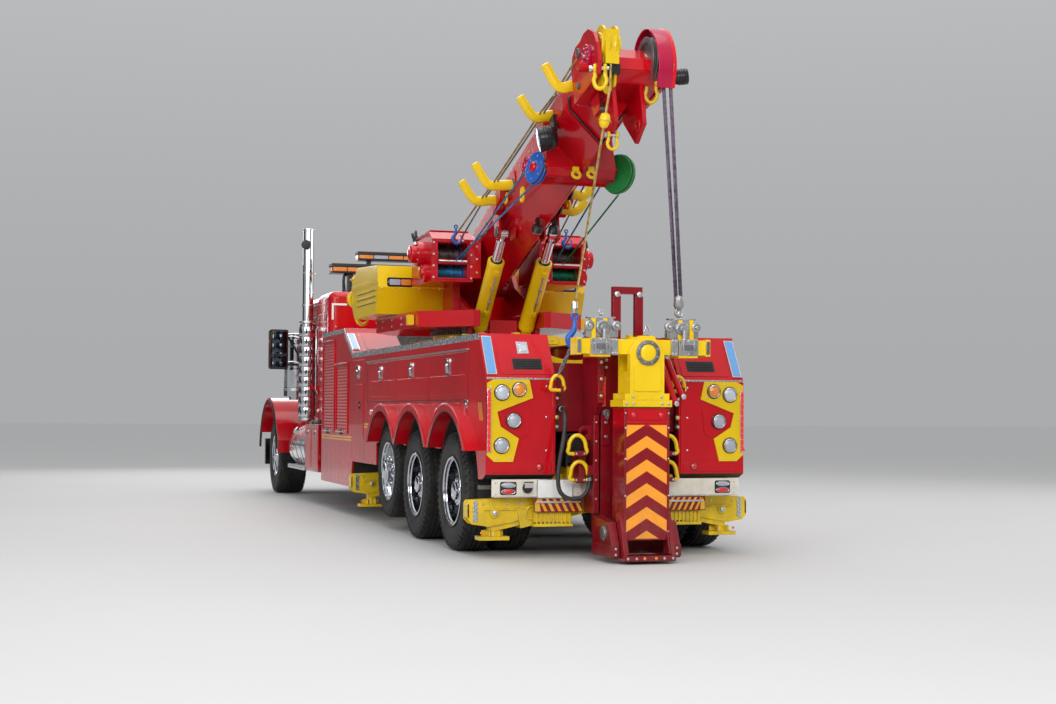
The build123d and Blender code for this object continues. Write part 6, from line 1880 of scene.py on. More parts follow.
for side, s in SIDES:
    p = Piece("winch_drums_" + side, "turret", "rope", bevel=0, sharp=60)
    wraps(p, 3.560, 2.875, .080, .475, .765, s, "rope")
    wraps(p, 3.420, 2.672, .068, .475, .765, s, "rope_blue" if s > 0 else "rope_green")
    for x, z, r in ((3.560, 2.875, .128), (3.420, 2.672, .104)):
        for y in (.455, .768):
            p.mat("blue" if s > 0 else "green").lathe((x, s * y, z), (0, s, 0), [(0, r * .9), (.003, r), (.012, r), (.015, r * .9)], 32)
    p.done()
    p = Piece("winch_cases_" + side, "turret", "red", bevel=0.003)
    # frames round the openings, bolts, blank white tags
    for z0, z1 in ((2.785, 2.965), (2.595, 2.745)):
        for ya, yb, za, zb in ((.445, .462, z0 - .01, z1 + .01), (.778, .795, z0 - .01, z1 + .01), (.445, .795, z1, z1 + .014),
                               (.445, .795, z0 - .014, z0)):
            p.mat("red").box(3.168, 3.182, *ends(s, ya, yb), za, zb)
    p.mat("brushed")
    for y in (.42, .82):
        for z in (2.60, 2.72, 2.84, 2.96):
            p.bolt((3.180, s * y, z), (-1, 0, 0), .012, .010)
    p.mat("white").box(3.172, 3.181, *ends(s, .50, .56), 2.977, 2.995)
    p.box(3.172, 3.181, *ends(s, .68, .74), 2.755, 2.772)
    # gear cases outboard, stepped with bolt rings
    p.mat("red").lathe((3.480, s * .984, 2.860), (0, s, 0), [(0, .094), (.014, .092), (.020, .080), (.020, .050), (.034, .048), (.038, .030), (.038, 0)], 36)
    p.loop_lathe((3.480, s * .925, 2.860), (0, s, 0), [(0, .096), (0, .124), (.012, .122), (.014, .100)], 36)
    p.lathe((3.400, s * .838, 2.660), (0, s, 0), [(0, .100), (.040, .100), (.046, .092), (.046, .060), (.075, .056), (.080, .046), (.080, 0)], 34)
    p.mat("brushed")
    for i in range(10):
        q = math.radians(36 * i)
        p.bolt((3.480 + .112 * math.cos(q), s * .936, 2.860 + .112 * math.sin(q)), (0, s, 0), .0085, .009)
        if i % 2 == 0:
            p.bolt((3.400 + .080 * math.cos(q), s * .882, 2.660 + .080 * math.sin(q)), (0, s, 0), .008, .008)
    # hydraulic stubs and hoses
    p.mat("brushed").cyl((3.50, s * .95, 2.955), (3.50, s * .95, 2.985), .014, seg=12)
    p.cyl((3.45, s * .95, 2.955), (3.45, s * .95, 2.985), .014, seg=12)
    p.mat("seal").tube(curve([(3.50, s * .95, 2.98), (3.55, s * .95, 3.07), (3.80, s * .90, 3.09), (3.98, s * .82, 3.00), (4.02, s * .80, 2.86)], 6), .012, 10)
    p.tube(curve([(3.45, s * .95, 2.98), (3.50, s * .93, 3.09), (3.78, s * .87, 3.115), (4.02, s * .78, 3.02), (4.04, s * .76, 2.86)], 6), .012, 10)
    # top cover plate with folded edges
    p.mat("red").xz([(3.325, 3.094), (3.955, 3.064), (3.957, 3.072), (3.327, 3.102)], *ends(s, .41, .83))
    p.mat("brushed")
    for x in (3.37, 3.62, 3.90):
        for y in (.44, .80):
            z = 3.099 - (x - 3.327) * .0476
            p.dome((x, s * y, z), (0.0476, 0, 1), .010, .007, 14, 4)
    # inner frame beside the boom, with its own stiffeners
    p.mat("red").xz(rounded([(3.190, 2.60), (3.190, 2.99), (3.34, 3.07), (3.93, 3.04), (4.02, 2.90), (4.02, 2.60)], .03), *ends(s, .354, .402))
    p.box(3.176, 3.192, *ends(s, .316, .440), 2.60, 2.99)
    p.mat("brushed")
    for z in (2.66, 2.80, 2.93):
        p.bolt((3.176, s * .36, z), (-1, 0, 0), .013, .010)
    # roller bar over the drum mouths
    p.mat("rod").cyl((3.158, s * .47, 2.768), (3.158, s * .77, 2.768), .012, seg=18)
    p.done()


# ----------------------------------------------------------------- turret ---
for side, s in SIDES:
    p = Piece("cover_trim_" + side, "turret", "yellow", bevel=0.002)
    # pressed grooves along the flank and the rear facet
    for i, z in enumerate((2.40, 2.465, 2.53)):
        p.mat("seal").box(4.32, 5.30, *ends(s, 1.1785, 1.1825), z, z + .007)
        p.mat("yellow").box(4.32, 5.30, *ends(s, 1.1785, 1.1860), z + .009, z + .030)
    # raised belt
    p.mat("yellow").box(4.22, 5.60, *ends(s, 1.1785, 1.1880), 2.615, 2.655)
    # lamp in a dark frame on the tail facet
    p.mat("black").yz(mirrored(rounded([(.800, 2.566), (1.080, 2.566), (1.080, 2.668), (.800, 2.668)], .02), s), 4.180, 4.212)
    p.mat("lens_amber")
    p.yz(mirrored(rounded([(.822, 2.586), (.930, 2.586), (.930, 2.648), (.822, 2.648)], .012), s), 4.170, 4.182)
    p.mat("lens_clear").yz(mirrored(rounded([(.938, 2.586), (1.058, 2.586), (1.058, 2.648), (.938, 2.648)], .012), s), 4.170, 4.182)
    p.mat("chrome")
    for y in (.811, 1.069):
        p.dome((4.180, s * y, 2.617), (-1, 0, 0), .006, .004, 12, 3)
    # bolts round the tail facet's rim
    p.mat("brushed")
    for y in (.50, .72, .94, 1.14):
        p.dome((4.1795, s * y, 2.548), (-1, 0, 0), .009, .006, 14, 4)
    # lifting eyes and hook lugs outboard
    p.mat("yellow_work")
    p.box(5.600, 5.760, *ends(s, 1.040, 1.180), 2.745, 2.760)
    p.box(5.600, 5.700, *ends(s, 1.000, 1.120), 2.455, 2.470)
    hook(p, (5.715, s * 1.130, 2.770), .34, "yellow_work", (1, 0, 0))
    hook(p, (5.665, s * 1.060, 2.480), .26, "yellow_work", (1, 0, 0))
    p.done()
    p = Piece("turret_side_" + side, "turret", "red", bevel=0.003)
    p.mat("yellow_work").yz(mirrored(rounded([(.915, 2.125), (.985, 2.125), (.985, 2.235), (.915, 2.235)], .012), s), 3.62, 3.70)
    p.mat("brushed")
    for x in (3.75, 4.10, 4.45, 4.80, 5.10):
        k = min(1.0, .90 + .10 * (x - 3.5) / 1.6) + .003
        p.bolt((x, s * k if x < 5.05 else s * .995, 2.15), (0, s, 0), .014, .010)
        p.bolt((x, s * k if x < 5.05 else s * .995, 2.22), (0, s, 0), .014, .010)
    # cylinder foot pins
    p.mat("cast").lathe((3.470, s * .392, 2.075), (0, s, 0), [(0, .052), (.016, .052), (.020, .044), (.020, 0)], 28)
    p.done()

# the slewing ring's bolts and gear under the turret
p = Piece("slewing_ring", "slide_carriage", "cast", bevel=0.002)
n = 96
prof = []
for i in range(n):
    a0 = 2 * math.pi * i / n
    for f, r in ((0, .560), (.30, .560), (.42, .588), (.72, .588), (.84, .560)):
        a = a0 + 2 * math.pi / n * f
        prof.append((4.150 + r * math.cos(a), r * math.sin(a)))
p.xy(prof, 2.046, 2.088)
p.mat("brushed")
for i in range(36):
    a = 2 * math.pi * i / 36
    p.bolt((4.150 + .520 * math.cos(a), .520 * math.sin(a), 2.086), (0, 0, 1), .010, .010)
p.done()
p = Piece("carriage_trim", "slide_carriage", "yellow_work", bevel=0.003)
for s in (1, -1):
    for x in (3.30, 3.70, 4.60, 5.00):
        p.mat("yellow_work").box(x - .06, x + .06, *ends(s, .598, .612), 1.925, 2.004)
        p.mat("brushed")
        for dx in (-.038, .038):
            for z in (1.943, 1.986):
                p.bolt((x + dx, s * .612, z), (0, s, 0), .010, .008)
p.mat("yellow_work").box(3.128, 3.150, -.52, .52, 1.93, 2.02)
p.mat("brushed")
for y in (-.45, -.25, 0, .25, .45):
    p.bolt((3.128, y, 1.975), (-1, 0, 0), .014, .010)
p.done()

# barrels: gland nuts, ports, pipes
c_, s_ = math.cos(math.radians(46.05)), math.sin(math.radians(46.05))
cy = lambda q: Vector((3.470 - c_ * q[0] + s_ * q[2] - XC, q[1], 2.075 + s_ * q[0] + c_ * q[2]))
p = Piece("barrel_trim", "lift_barrels", "yellow", xf=cy, bevel=0.002)
for s in (1, -1):
    y = s * .256
    p.mat("yellow").loop_lathe((.900, y, 0), (1, 0, 0), [(0, .083), (0, .0868), (.038, .0868), (.044, .0845), (.044, .083)], 40)
    p.loop_lathe((.060, y, 0), (1, 0, 0), [(0, .083), (0, .0868), (.050, .0868), (.056, .083)], 40)
    p.mat("black").loop_lathe((.947, y, 0), (1, 0, 0), [(0, .049), (0, .064), (.008, .062), (.008, .049)], 36)
    p.mat("yellow").box(.30, .35, y - .022, y + .022, -.112, -.078)
    p.box(.83, .88, y - .022, y + .022, -.112, -.078)
    p.mat("brushed").tube([(.35, y, -.100), (.83, y, -.100)], .008, 10)
    for q in (.48, .66):
        p.box(q - .012, q + .012, y - .014, y + .014, -.110, -.080)
p.done()


# --------------------------------------------------------------------- cab ---
for side, s in SIDES:
    # mirrors: heated glass, convex glass, shell ribs, arms
    p = Piece("mirror_glasses_" + side, "chassis", "mirror_face", bevel=0.0015)
    p.mat("mirror_face").yz(mirrored(rounded([(1.245, 2.02), (1.470, 2.02), (1.470, 2.335), (1.245, 2.335)], .03), s), 9.9195, 9.9255)
    p.yz(mirrored(rounded([(1.245, 1.825), (1.470, 1.825), (1.470, 1.990), (1.245, 1.990)], .03), s), 9.9195, 9.9255)
    p.mat("plastic").tube([(9.9215, s * a, b) for a, b in rounded([(1.238, 2.012), (1.477, 2.012), (1.477, 2.345), (1.238, 2.345)], .03)], .005, 8, closed=True)
    p.tube([(9.9215, s * a, b) for a, b in rounded([(1.238, 1.815), (1.477, 1.815), (1.477, 1.998), (1.238, 1.998)], .03)], .005, 8, closed=True)
    p.mat("chrome")
    for z in (1.90, 2.26):
        p.tube(curve([(9.985, s * 1.235, z), (9.975, s * 1.14, z + .01), (9.93, s * 1.03, z - .02)], 5), .011, 10)
    p.mat("lens_amber").lathe((9.965, s * 1.4895, 2.18), (0, s, 0), [(0, .022), (.006, .021), (.010, .012), (.011, 0)], 20, scale=(1.5, .8))
    p.done()

    # exhaust stacks: perforated guard, clamps, turned-out tip, round lamp on a bracket
    p = Piece("stack_guards_" + side, "chassis", "chrome", bevel=0.0012, seg=1)
    c = (8.740, s * 1.155)
    for i in range(9):
        z0 = 1.14 + i * .135
        p.mat("chrome").loop_lathe((c[0], c[1], z0), (0, 0, 1), [(0, .1055), (0, .1125), (.008, .1145), (.112, .1145), (.120, .1125), (.120, .1055)], 40)
        p.mat("seal")
        for k in range(10):
            a = (k + .5) * 2 * math.pi / 10
            q = (c[0] + .1140 * math.cos(a), c[1] + .1140 * math.sin(a), z0 + .060)
            p.lathe(q, (math.cos(a), math.sin(a), 0), [(0, .016), (.0014, .016)], 14, scale=(.75, 2.1))
    p.mat("brushed")
    for z in (1.095, 2.395, 2.62, 3.05):
        r = .108 if z < 2.4 else .0745
        p.loop_lathe((c[0], c[1], z), (0, 0, 1), [(0, r - .003), (0, r + .005), (.026, r + .005), (.026, r - .003)], 36)
        p.box(c[0] - .010, c[0] + .010, *ends(s, 1.155 - r - .030, 1.155 - r), z + .004, z + .022)
    p.mat("seal").lathe((c[0], c[1], 3.6605), (0, 0, -1), [(0, .064), (.0, .064), (.004, .060)], 30)
    p.mat("chrome").loop_lathe((c[0], c[1], 3.640), (0, 0, 1), [(0, .072), (0, .0775), (.020, .0775), (.022, .066), (.014, .066), (.014, .072)], 36)
    p.mat("red")
    for z in (1.50, 2.20):
        p.box(8.60, 8.64, *ends(s, .99, 1.15), z, z + .05)
        p.box(8.62, 8.70, *ends(s, 1.10, 1.13), z, z + .05)
    p.mat("black").lathe((8.66, s * 1.21, 3.44), (-1, 0, 0), [(0, .030), (.014, .058), (.05, .066), (.062, .064)], 30)
    p.mat("plastic").lathe((8.600, s * 1.21, 3.44), (-1, 0, 0), [(0, .064), (.006, .060), (.012, .03), (.013, 0)], 30)
    p.mat("black").box(8.655, 8.70, *ends(s, 1.19, 1.215), 3.43, 3.45)
    p.done()

    # air cleaners: bands, louvred screen, domed top
    p = Piece("air_cleaner_trim_" + side, "chassis", "chrome", bevel=0.0012, seg=1)
    c = (10.240, s * 1.055)
    p.mat("brushed")
    for z in (1.50, 1.83, 2.12):
        p.loop_lathe((c[0], c[1], z), (0, 0, 1), [(0, .1745), (0, .1790), (.034, .1790), (.034, .1745)], 48)
        p.bolt((c[0] - .168, c[1] + s * .06, z + .017), (-.9, s * .3, 0), .010, .016)
    p.mat("chrome")
    for i in range(12):
        p.loop_lathe((c[0], c[1], 1.56 + i * .020), (0, 0, 1), [(0, .1745), (.003, .1775), (.009, .1775), (.011, .1745)], 44)
    p.dome((c[0], c[1], 2.309), (0, 0, 1), .128, .018, 40, 4)
    p.done()

    # cab side: belt moulding, grab bar, drip rail, marker, sleeper seams
    p = Piece("cab_side_trim_" + side, "chassis", "chrome", bevel=0.0015)
    p.mat("chrome").tube([(8.615, s * 1.030, 1.45), (8.600, s * 1.062, 1.50), (8.600, s * 1.062, 2.30), (8.615, s * 1.030, 2.35)], .012, 12)
    p.mat("red").xz([(8.56, 2.640), (9.55, 2.640), (9.55, 2.652), (8.56, 2.652)], *ends(s, .998, 1.014))
    p.mat("seal").box(7.66, 8.55, *ends(s, 1.0595, 1.0625), 1.695, 1.703)
    p.mat("red").xz(rounded([(7.74, 1.80), (8.48, 1.80), (8.48, 2.50), (7.74, 2.50)], .06), *ends(s, 1.0595, 1.0640))
    p.mat("chrome").tube([(x, s * 1.0645, z) for x, z in rounded([(7.76, 1.82), (8.46, 1.82), (8.46, 2.48), (7.76, 2.48)], .06)], .004, 8, closed=True)
    for x in (7.80, 8.10, 8.42):
        lamp_round(p, (x, s * 1.0595, 1.22), (0, s, 0), .026, "lens_amber", depth=.012, seg=20)
    p.done()
    # windows in the sleeper's wall are blank panels with vents
    p = Piece("sleeper_rear_" + side, "chassis", "white", bevel=0.001)
    p.mat("white").yz(mirrored([(.84, 2.575), (1.035, 2.575), (1.035, 2.600), (.84, 2.600)], s), 7.6445, 7.6515)
    p.yz(mirrored([(1.010, 2.39), (1.035, 2.39), (1.035, 2.575), (1.010, 2.575)], s), 7.6445, 7.6515)
    p.mat("brushed")
    for z in (1.25, 1.60, 1.95, 2.30):
        p.dome((7.6500, s * .98, z), (-1, 0, 0), .009, .006, 14, 4)
    p.mat("red").yz(mirrored(rounded([(.40, 1.25), (.95, 1.25), (.95, 1.95), (.40, 1.95)], .05), s), 7.6450, 7.6515)
    p.mat("seal").tube([(7.6480, y, z) for y, z in mirrored(rounded([(.0, 2.065), (.345, 2.065), (.345, 2.435), (.0, 2.435)], .03), s)], .006, 8)
    lamp_round(p.mat("chrome"), (7.6500, s * .62, 2.62), (-1, 0, 0), .045, "lens_clear", depth=.02)
    p.done()

    # doors: handle, lock, hinges, mouldings, window seal, inside panel
    p = Piece("door_hardware_" + side, "cab_door_" + side, "chrome", bevel=0.0015)
    p.mat("chrome").xz(rounded([(8.91, 1.700), (9.09, 1.700), (9.09, 1.750), (8.91, 1.750)], .015), *ends(s, .999, 1.006))
    p.tube(curve([(8.93, s * 1.004, 1.726), (8.955, s * 1.032, 1.726), (9.045, s * 1.032, 1.726), (9.07, s * 1.004, 1.726)], 5), .010, 12)
    p.mat("brushed").lathe((9.12, s * 1.000, 1.725), (0, s, 0), [(0, .014), (.006, .014), (.008, .010)], 18)
    p.mat("seal").tube([(x, s * .9985, z) for x, z in rounded([(8.940, 1.922), (9.770, 1.922), (9.496, 2.508), (8.940, 2.508)], .03)], .007, 8, closed=True)
    p.mat("red").xz(rounded([(8.92, 1.22), (9.78, 1.22), (9.78, 1.64), (8.92, 1.64)], .04), *ends(s, .9985, 1.0030))
    p.mat("chrome")
    for z in (1.365, 1.805):
        p.xz(rounded([(9.74, z - .035), (9.835, z - .035), (9.835, z + .035), (9.74, z + .035)], .012), *ends(s, 1.0, 1.008))
    p.mat("trim").xz(rounded([(8.95, 1.30), (9.70, 1.30), (9.70, 1.80), (8.95, 1.80)], .05), *ends(s, .940, .952))
    p.mat("seal").xz(rounded([(9.10, 1.56), (9.55, 1.56), (9.55, 1.62), (9.10, 1.62)], .02), *ends(s, .905, .942))
    p.done()

    # hood and fenders: flare, louvres, latches, lamps
    p = Piece("hood_trim_" + side, "hood", "chrome", bevel=0.0015)
    n = 40
    arc = [(11.290 + .812 * math.cos(a), .555 + .812 * math.sin(a)) for a in
           (math.radians(8) + math.radians(164) * i / n for i in range(n + 1))]
    p.mat("seal").tube([(x, s * 1.287, z) for x, z in arc], .017, 10)
    p.mat("chrome")
    for k in range(6):
        x = 10.32 + k * .062
        p.xz(rounded([(x, 1.56), (x + .036, 1.56), (x + .030, 1.72), (x - .006, 1.72)], .008), *ends(s, .815, .836))
    p.tube([(10.12, s * .833, 1.50), (10.90, s * .765, 1.47), (11.70, s * .640, 1.44)], .007, 8)
    p.mat("brushed").xz(rounded([(10.14, 1.30), (10.22, 1.30), (10.22, 1.38), (10.14, 1.38)], .01), *ends(s, .818, .838))
    # headlamp pods
    for y, r in ((.755, .088), (.965, .088)):
        lamp_round(p, (12.0095, s * y, 1.110), (1, 0, 0), r, "lens_clear", depth=.030)
    p.mat("lens_amber").lathe((11.93, s * 1.078, 1.10), (0, s, 0), [(0, .045), (.010, .043), (.016, .024), (.018, 0)], 26, scale=(1.3, .9))
    p.mat("chrome").tube([(12.008, s * a, b) for a, b in rounded([(.65, .97), (1.07, .97), (1.07, 1.23), (.65, 1.23)], .05)], .008, 8, closed=True)
    # fender top marker
    lamp_round(p, (11.95, s * 1.16, 1.285), (.2, 0, 1), .028, "lens_amber", depth=.018, seg=22)
    p.done()

    # fuel tank, step and battery boxes
    p = Piece("tank_fittings_" + side, "chassis", "brushed", bevel=0.0012, seg=1)
    for x in (9.02, 9.41, 9.80):
        p.mat("brushed").loop_lathe((x, s * .880, .720), (1, 0, 0), [(0, .2995), (0, .3045), (.050, .3045), (.050, .2995)], 56)
        p.mat("seal").loop_lathe((x - .006, s * .880, .720), (1, 0, 0), [(0, .2990), (0, .3015), (.062, .3015), (.062, .2990)], 56)
        p.mat("chrome").bolt((x + .025, s * 1.186, .72), (0, s, 0), .012, .014)
    p.mat("chrome").lathe((9.92, s * (.880 + .210), .930), (0, s * .7, .7), [(0, .052), (.030, .052), (.036, .044), (.040, .030), (.041, 0)], 28)
    for x in (8.795, 10.022):
        p.dome((x + (.006 if x > 9 else -.006), s * .880, .720), (1 if x > 9 else -1, 0, 0), .285, .020 if x > 9 else .014, 48, 5)
    # step boards with grip cleats
    for z in (.470, .800):
        if z > .5:
            p.mat("tread").box(8.86, 9.62, *ends(s, 1.150, 1.188), z - .030, z)
    p.mat("tread").box(8.76, 10.02, *ends(s, .72, 1.188), .470, .4745)
    p.mat("chrome").tube([(8.78, s * 1.188, .445), (10.00, s * 1.188, .445)], .010, 10)
    p.done()
    p = Piece("locker_fronts_" + side, "chassis", "red", bevel=0.0022)
    p.mat("tread").box(7.685, 8.675, *ends(s, .565, 1.176), 1.040, 1.0445)
    for a, b in ((7.72, 8.18), (8.22, 8.68)):
        p.mat("red").xz(rounded([(a, .47), (b, .47), (b, 1.00), (a, 1.00)], .02), *ends(s, 1.1795, 1.1835))
        p.xz(rounded([(a + .05, .53), (b - .05, .53), (b - .05, .86), (a + .05, .86)], .03), *ends(s, 1.1830, 1.1855))
        m_ = (a + b) / 2
        p.mat("chrome").xz(rounded([(m_ - .05, .885), (m_ + .05, .885), (m_ + .05, .965), (m_ - .05, .965)], .012), *ends(s, 1.1835, 1.1890))
        p.mat("seal").xz(rounded([(m_ - .036, .897), (m_ + .036, .897), (m_ + .036, .940), (m_ - .036, .940)], .008), *ends(s, 1.1885, 1.1900))
    p.done()

# rooftop: marker lamps, horns, bar lenses
p = Piece("roof_markers", "chassis", "chrome", bevel=0.001)
for y in (-.84, -.42, 0, .42, .84):
    z0 = 2.757
    p.mat("chrome").lathe((9.36, y, z0), (0, 0, 1), [(0, .044), (.010, .043), (.018, .034)], 28, scale=(.8, 1.3))
    p.mat("lens_amber").dome((9.36, y, z0 + .012), (0, 0, 1), .033, .034, 24, 5, scale=(.8, 1.3))
p.done()
p = Piece("air_horns", "chassis", "chrome", bevel=0)
for y, L in ((.22, .52), (-.22, .62)):
    x0 = 8.75
    p.mat("chrome").lathe((x0, y, 2.850), (1, 0, 0), [(0, .034), (.02, .040), (.06, .040), (.065, .018), (L * .5, .024), (L * .8, .038), (L * .95, .062), (L, .078),
                                                     (L - .006, .074), (L * .92, .048), (L * .8, .0)], 32)
    for x in (x0 + .03, x0 + L * .7):
        p.mat("brushed").box(x - .012, x + .012, y - .012, y + .012, 2.756, 2.840)
p.done()
p = Piece("light_bar_lenses", "chassis", "lens_amber", bevel=0.003)
for x0, x1, half, z0, z1, n in ((8.06, 8.30, .95, 3.03, 3.15, 10), (8.09, 8.27, .60, 3.21, 3.32, 6)):
    w = 2 * half / n
    h = (z1 - z0)
    for i in range(n):
        y0, y1 = -half + i * w + .006, -half + (i + 1) * w - .006
        k = "lens_amber" if i % 3 != 1 else "lens_clear"
        for xa, xb in ((x0 - .008, x0 + .012), (x1 - .012, x1 + .008)):
            p.mat(k).box(xa, xb, y0, y1, z0 + .022, z0 + h * .62)
    for sg in (1, -1):
        p.mat("lens_amber").box(x0 + .02, x1 - .02, *ends(sg, half - .010, half + .008), z0 + .022, z0 + h * .62)
    p.mat("plastic").box(x0 - .012, x1 + .012, -half - .010, half + .010, z1 - .034, z1 + .004)
    p.mat("black").box(x0 - .006, x1 + .006, -half - .006, half + .006, z0 - .004, z0 + .016)
    p.mat("brushed")
    for y in (-half * .7, half * .7):
        p.box((x0 + x1) / 2 - .03, (x0 + x1) / 2 + .03, y - .02, y + .02, z0 - .05, z0)
p.done()
p = Piece("light_bar_stand", "chassis", "black", bevel=0.003)
for s in (1, -1):
    p.tube(curve([(8.18, s * .78, 2.75), (8.18, s * .78, 2.98), (8.18, s * .74, 3.02)], 4), .018, 12)
    p.tube([(8.18, s * .42, 3.15), (8.18, s * .42, 3.21)], .016, 12)
    p.tube([(8.05, s * .78, 2.76), (8.18, s * .78, 2.93)], .012, 10)
    p.lathe((8.18, s * .78, 2.735), (0, 0, 1), [(0, .045), (.012, .045), (.018, .030)], 24)
p.done()

# windscreen wipers, cowl vents, visor
p = Piece("wipers", "chassis", "black", bevel=0.001)
for s in (1, -1):
    a, b = Vector((9.935, s * .30, 1.985)), Vector((9.830, s * .62, 2.215))
    p.mat("black").lathe(a, (.9, 0, .45), [(0, .016), (.022, .014), (.028, .008)], 16)
    p.tube([a + Vector((.02, 0, .01)), b + Vector((.022, 0, .01))], .006, 8)
    d = Vector((-.115, s * .12, .235)).normalized()
    p.mat("seal").tube([b - d * .24 + Vector((.012, 0, .006)), b + d * .24 + Vector((.012, 0, .006))], .007, 6)
p.mat("black")
for i in range(8):
    y = -.63 + i * .18
    p.box(9.985, 10.035, y - .065, y + .065, 1.948, 1.956)
p.done()
p = Piece("sun_visor", "chassis", "red", bevel=0.003)
p.prism([(9.560, -.90, 2.690), (9.800, -.90, 2.575), (9.803, -.90, 2.583), (9.563, -.90, 2.700)], (0, 1.80, 0))
p.mat("chrome").tube([(9.800, -.90, 2.577), (9.800, .90, 2.577)], .008, 10)
p.mat("brushed")
for y in (-.85, -.3, .3, .85):
    p.box(9.60, 9.63, y - .012, y + .012, 2.60, 2.675)
p.done()

# grille surround, nose badge-free crown, mesh behind the bars
p = Piece("grille", "hood", "chrome", bevel=0.002)
p.mat("chrome").tube([(11.9625, y, z) for y, z in rounded([(-.435, 1.045), (.435, 1.045), (.435, 1.735), (-.435, 1.735)], .06)], .017, 12, closed=True)
p.mat("black")
for i in range(20):
    y = -.40 + .0421 * i
    p.box(11.925, 11.930, y - .003, y + .003, 1.065, 1.715)
for i in range(15):
    z = 1.08 + i * .044
    p.box(11.925, 11.930, -.415, .415, z - .003, z + .003)
p.mat("chrome").tube(curve([(10.20, 0, 1.915), (10.9, 0, 1.893), (11.6, 0, 1.868), (11.93, 0, 1.856)], 4), .010, 10)
p.done()
# front bumper: fog lamps, tow eyes, blank plate, edge trims
p = Piece("bumper_fittings", "chassis", "chrome", bevel=0.002)
for s in (1, -1):
    for y in (.62, .86):
        lamp_round(p, (12.158, s * y, .595), (1, 0, 0), .062, "lens_clear", depth=.024)
    p.mat("seal").lathe((12.157, s * .34, .52), (1, 0, 0), [(0, .048), (.004, .048)], 28, scale=(1.3, 1))
    p.mat("cast").torus((12.155, s * .34, .50), (0, 1, 0), .042, .014, 24, 10, arc=(-1.9, 1.9))
    p.mat("lens_amber").box(12.158, 12.166, *ends(s, .955, .995), .46, .73)
    p.mat("brushed")
    for y in (.18, .52, 1.0):
        p.dome((12.158, s * y, .745), (1, 0, 0), .011, .008, 16, 4)
p.mat("white").yz(rounded([(-.155, .500), (.155, .500), (.155, .655), (-.155, .655)], .012), 12.160, 12.164)
p.mat("chrome").tube([(12.163, y, z) for y, z in rounded([(-.160, .495), (.160, .495), (.160, .660), (-.160, .660)], .014)], .0035, 8, closed=True)
p.done()


# ------------------------------------------------------------ cab interior ---
p = Piece("dash_details", "chassis", "plastic", bevel=0.004)
p.mat("plastic").prism([(9.60, .20, 1.86), (9.66, .20, 2.00), (9.80, .20, 2.03), (9.80, .20, 1.80)], (0, .56, 0))
for y in (.32, .43, .54, .65):
    p.mat("chrome").loop_lathe((9.628, y, 1.925), (-.92, 0, .39), [(0, .040), (0, .046), (.006, .046), (.007, .041)], 26)
    p.mat("white").lathe((9.629, y, 1.925), (-.92, 0, .39), [(0, .040), (.001, .040)], 26)
    # the needles take the red lens finish and glow faintly, though they are no lamp: painted glow
    p.mat("lens_red").tube([(9.6255, y, 1.926), (9.624 + .010, y + .018, 1.948)], .0018, 6)
p.mat("trim").xz(rounded([(9.58, 1.72), (9.64, 1.72), (9.66, 1.84), (9.60, 1.84)], .01), -.80, .12)
p.mat("plastic").cyl((9.52, 0, 1.15), (9.42, 0, 1.62), .011, seg=12)
p.dome((9.42, 0, 1.60), (-.2, 0, 1), .030, .045, 18, 6)
p.done()


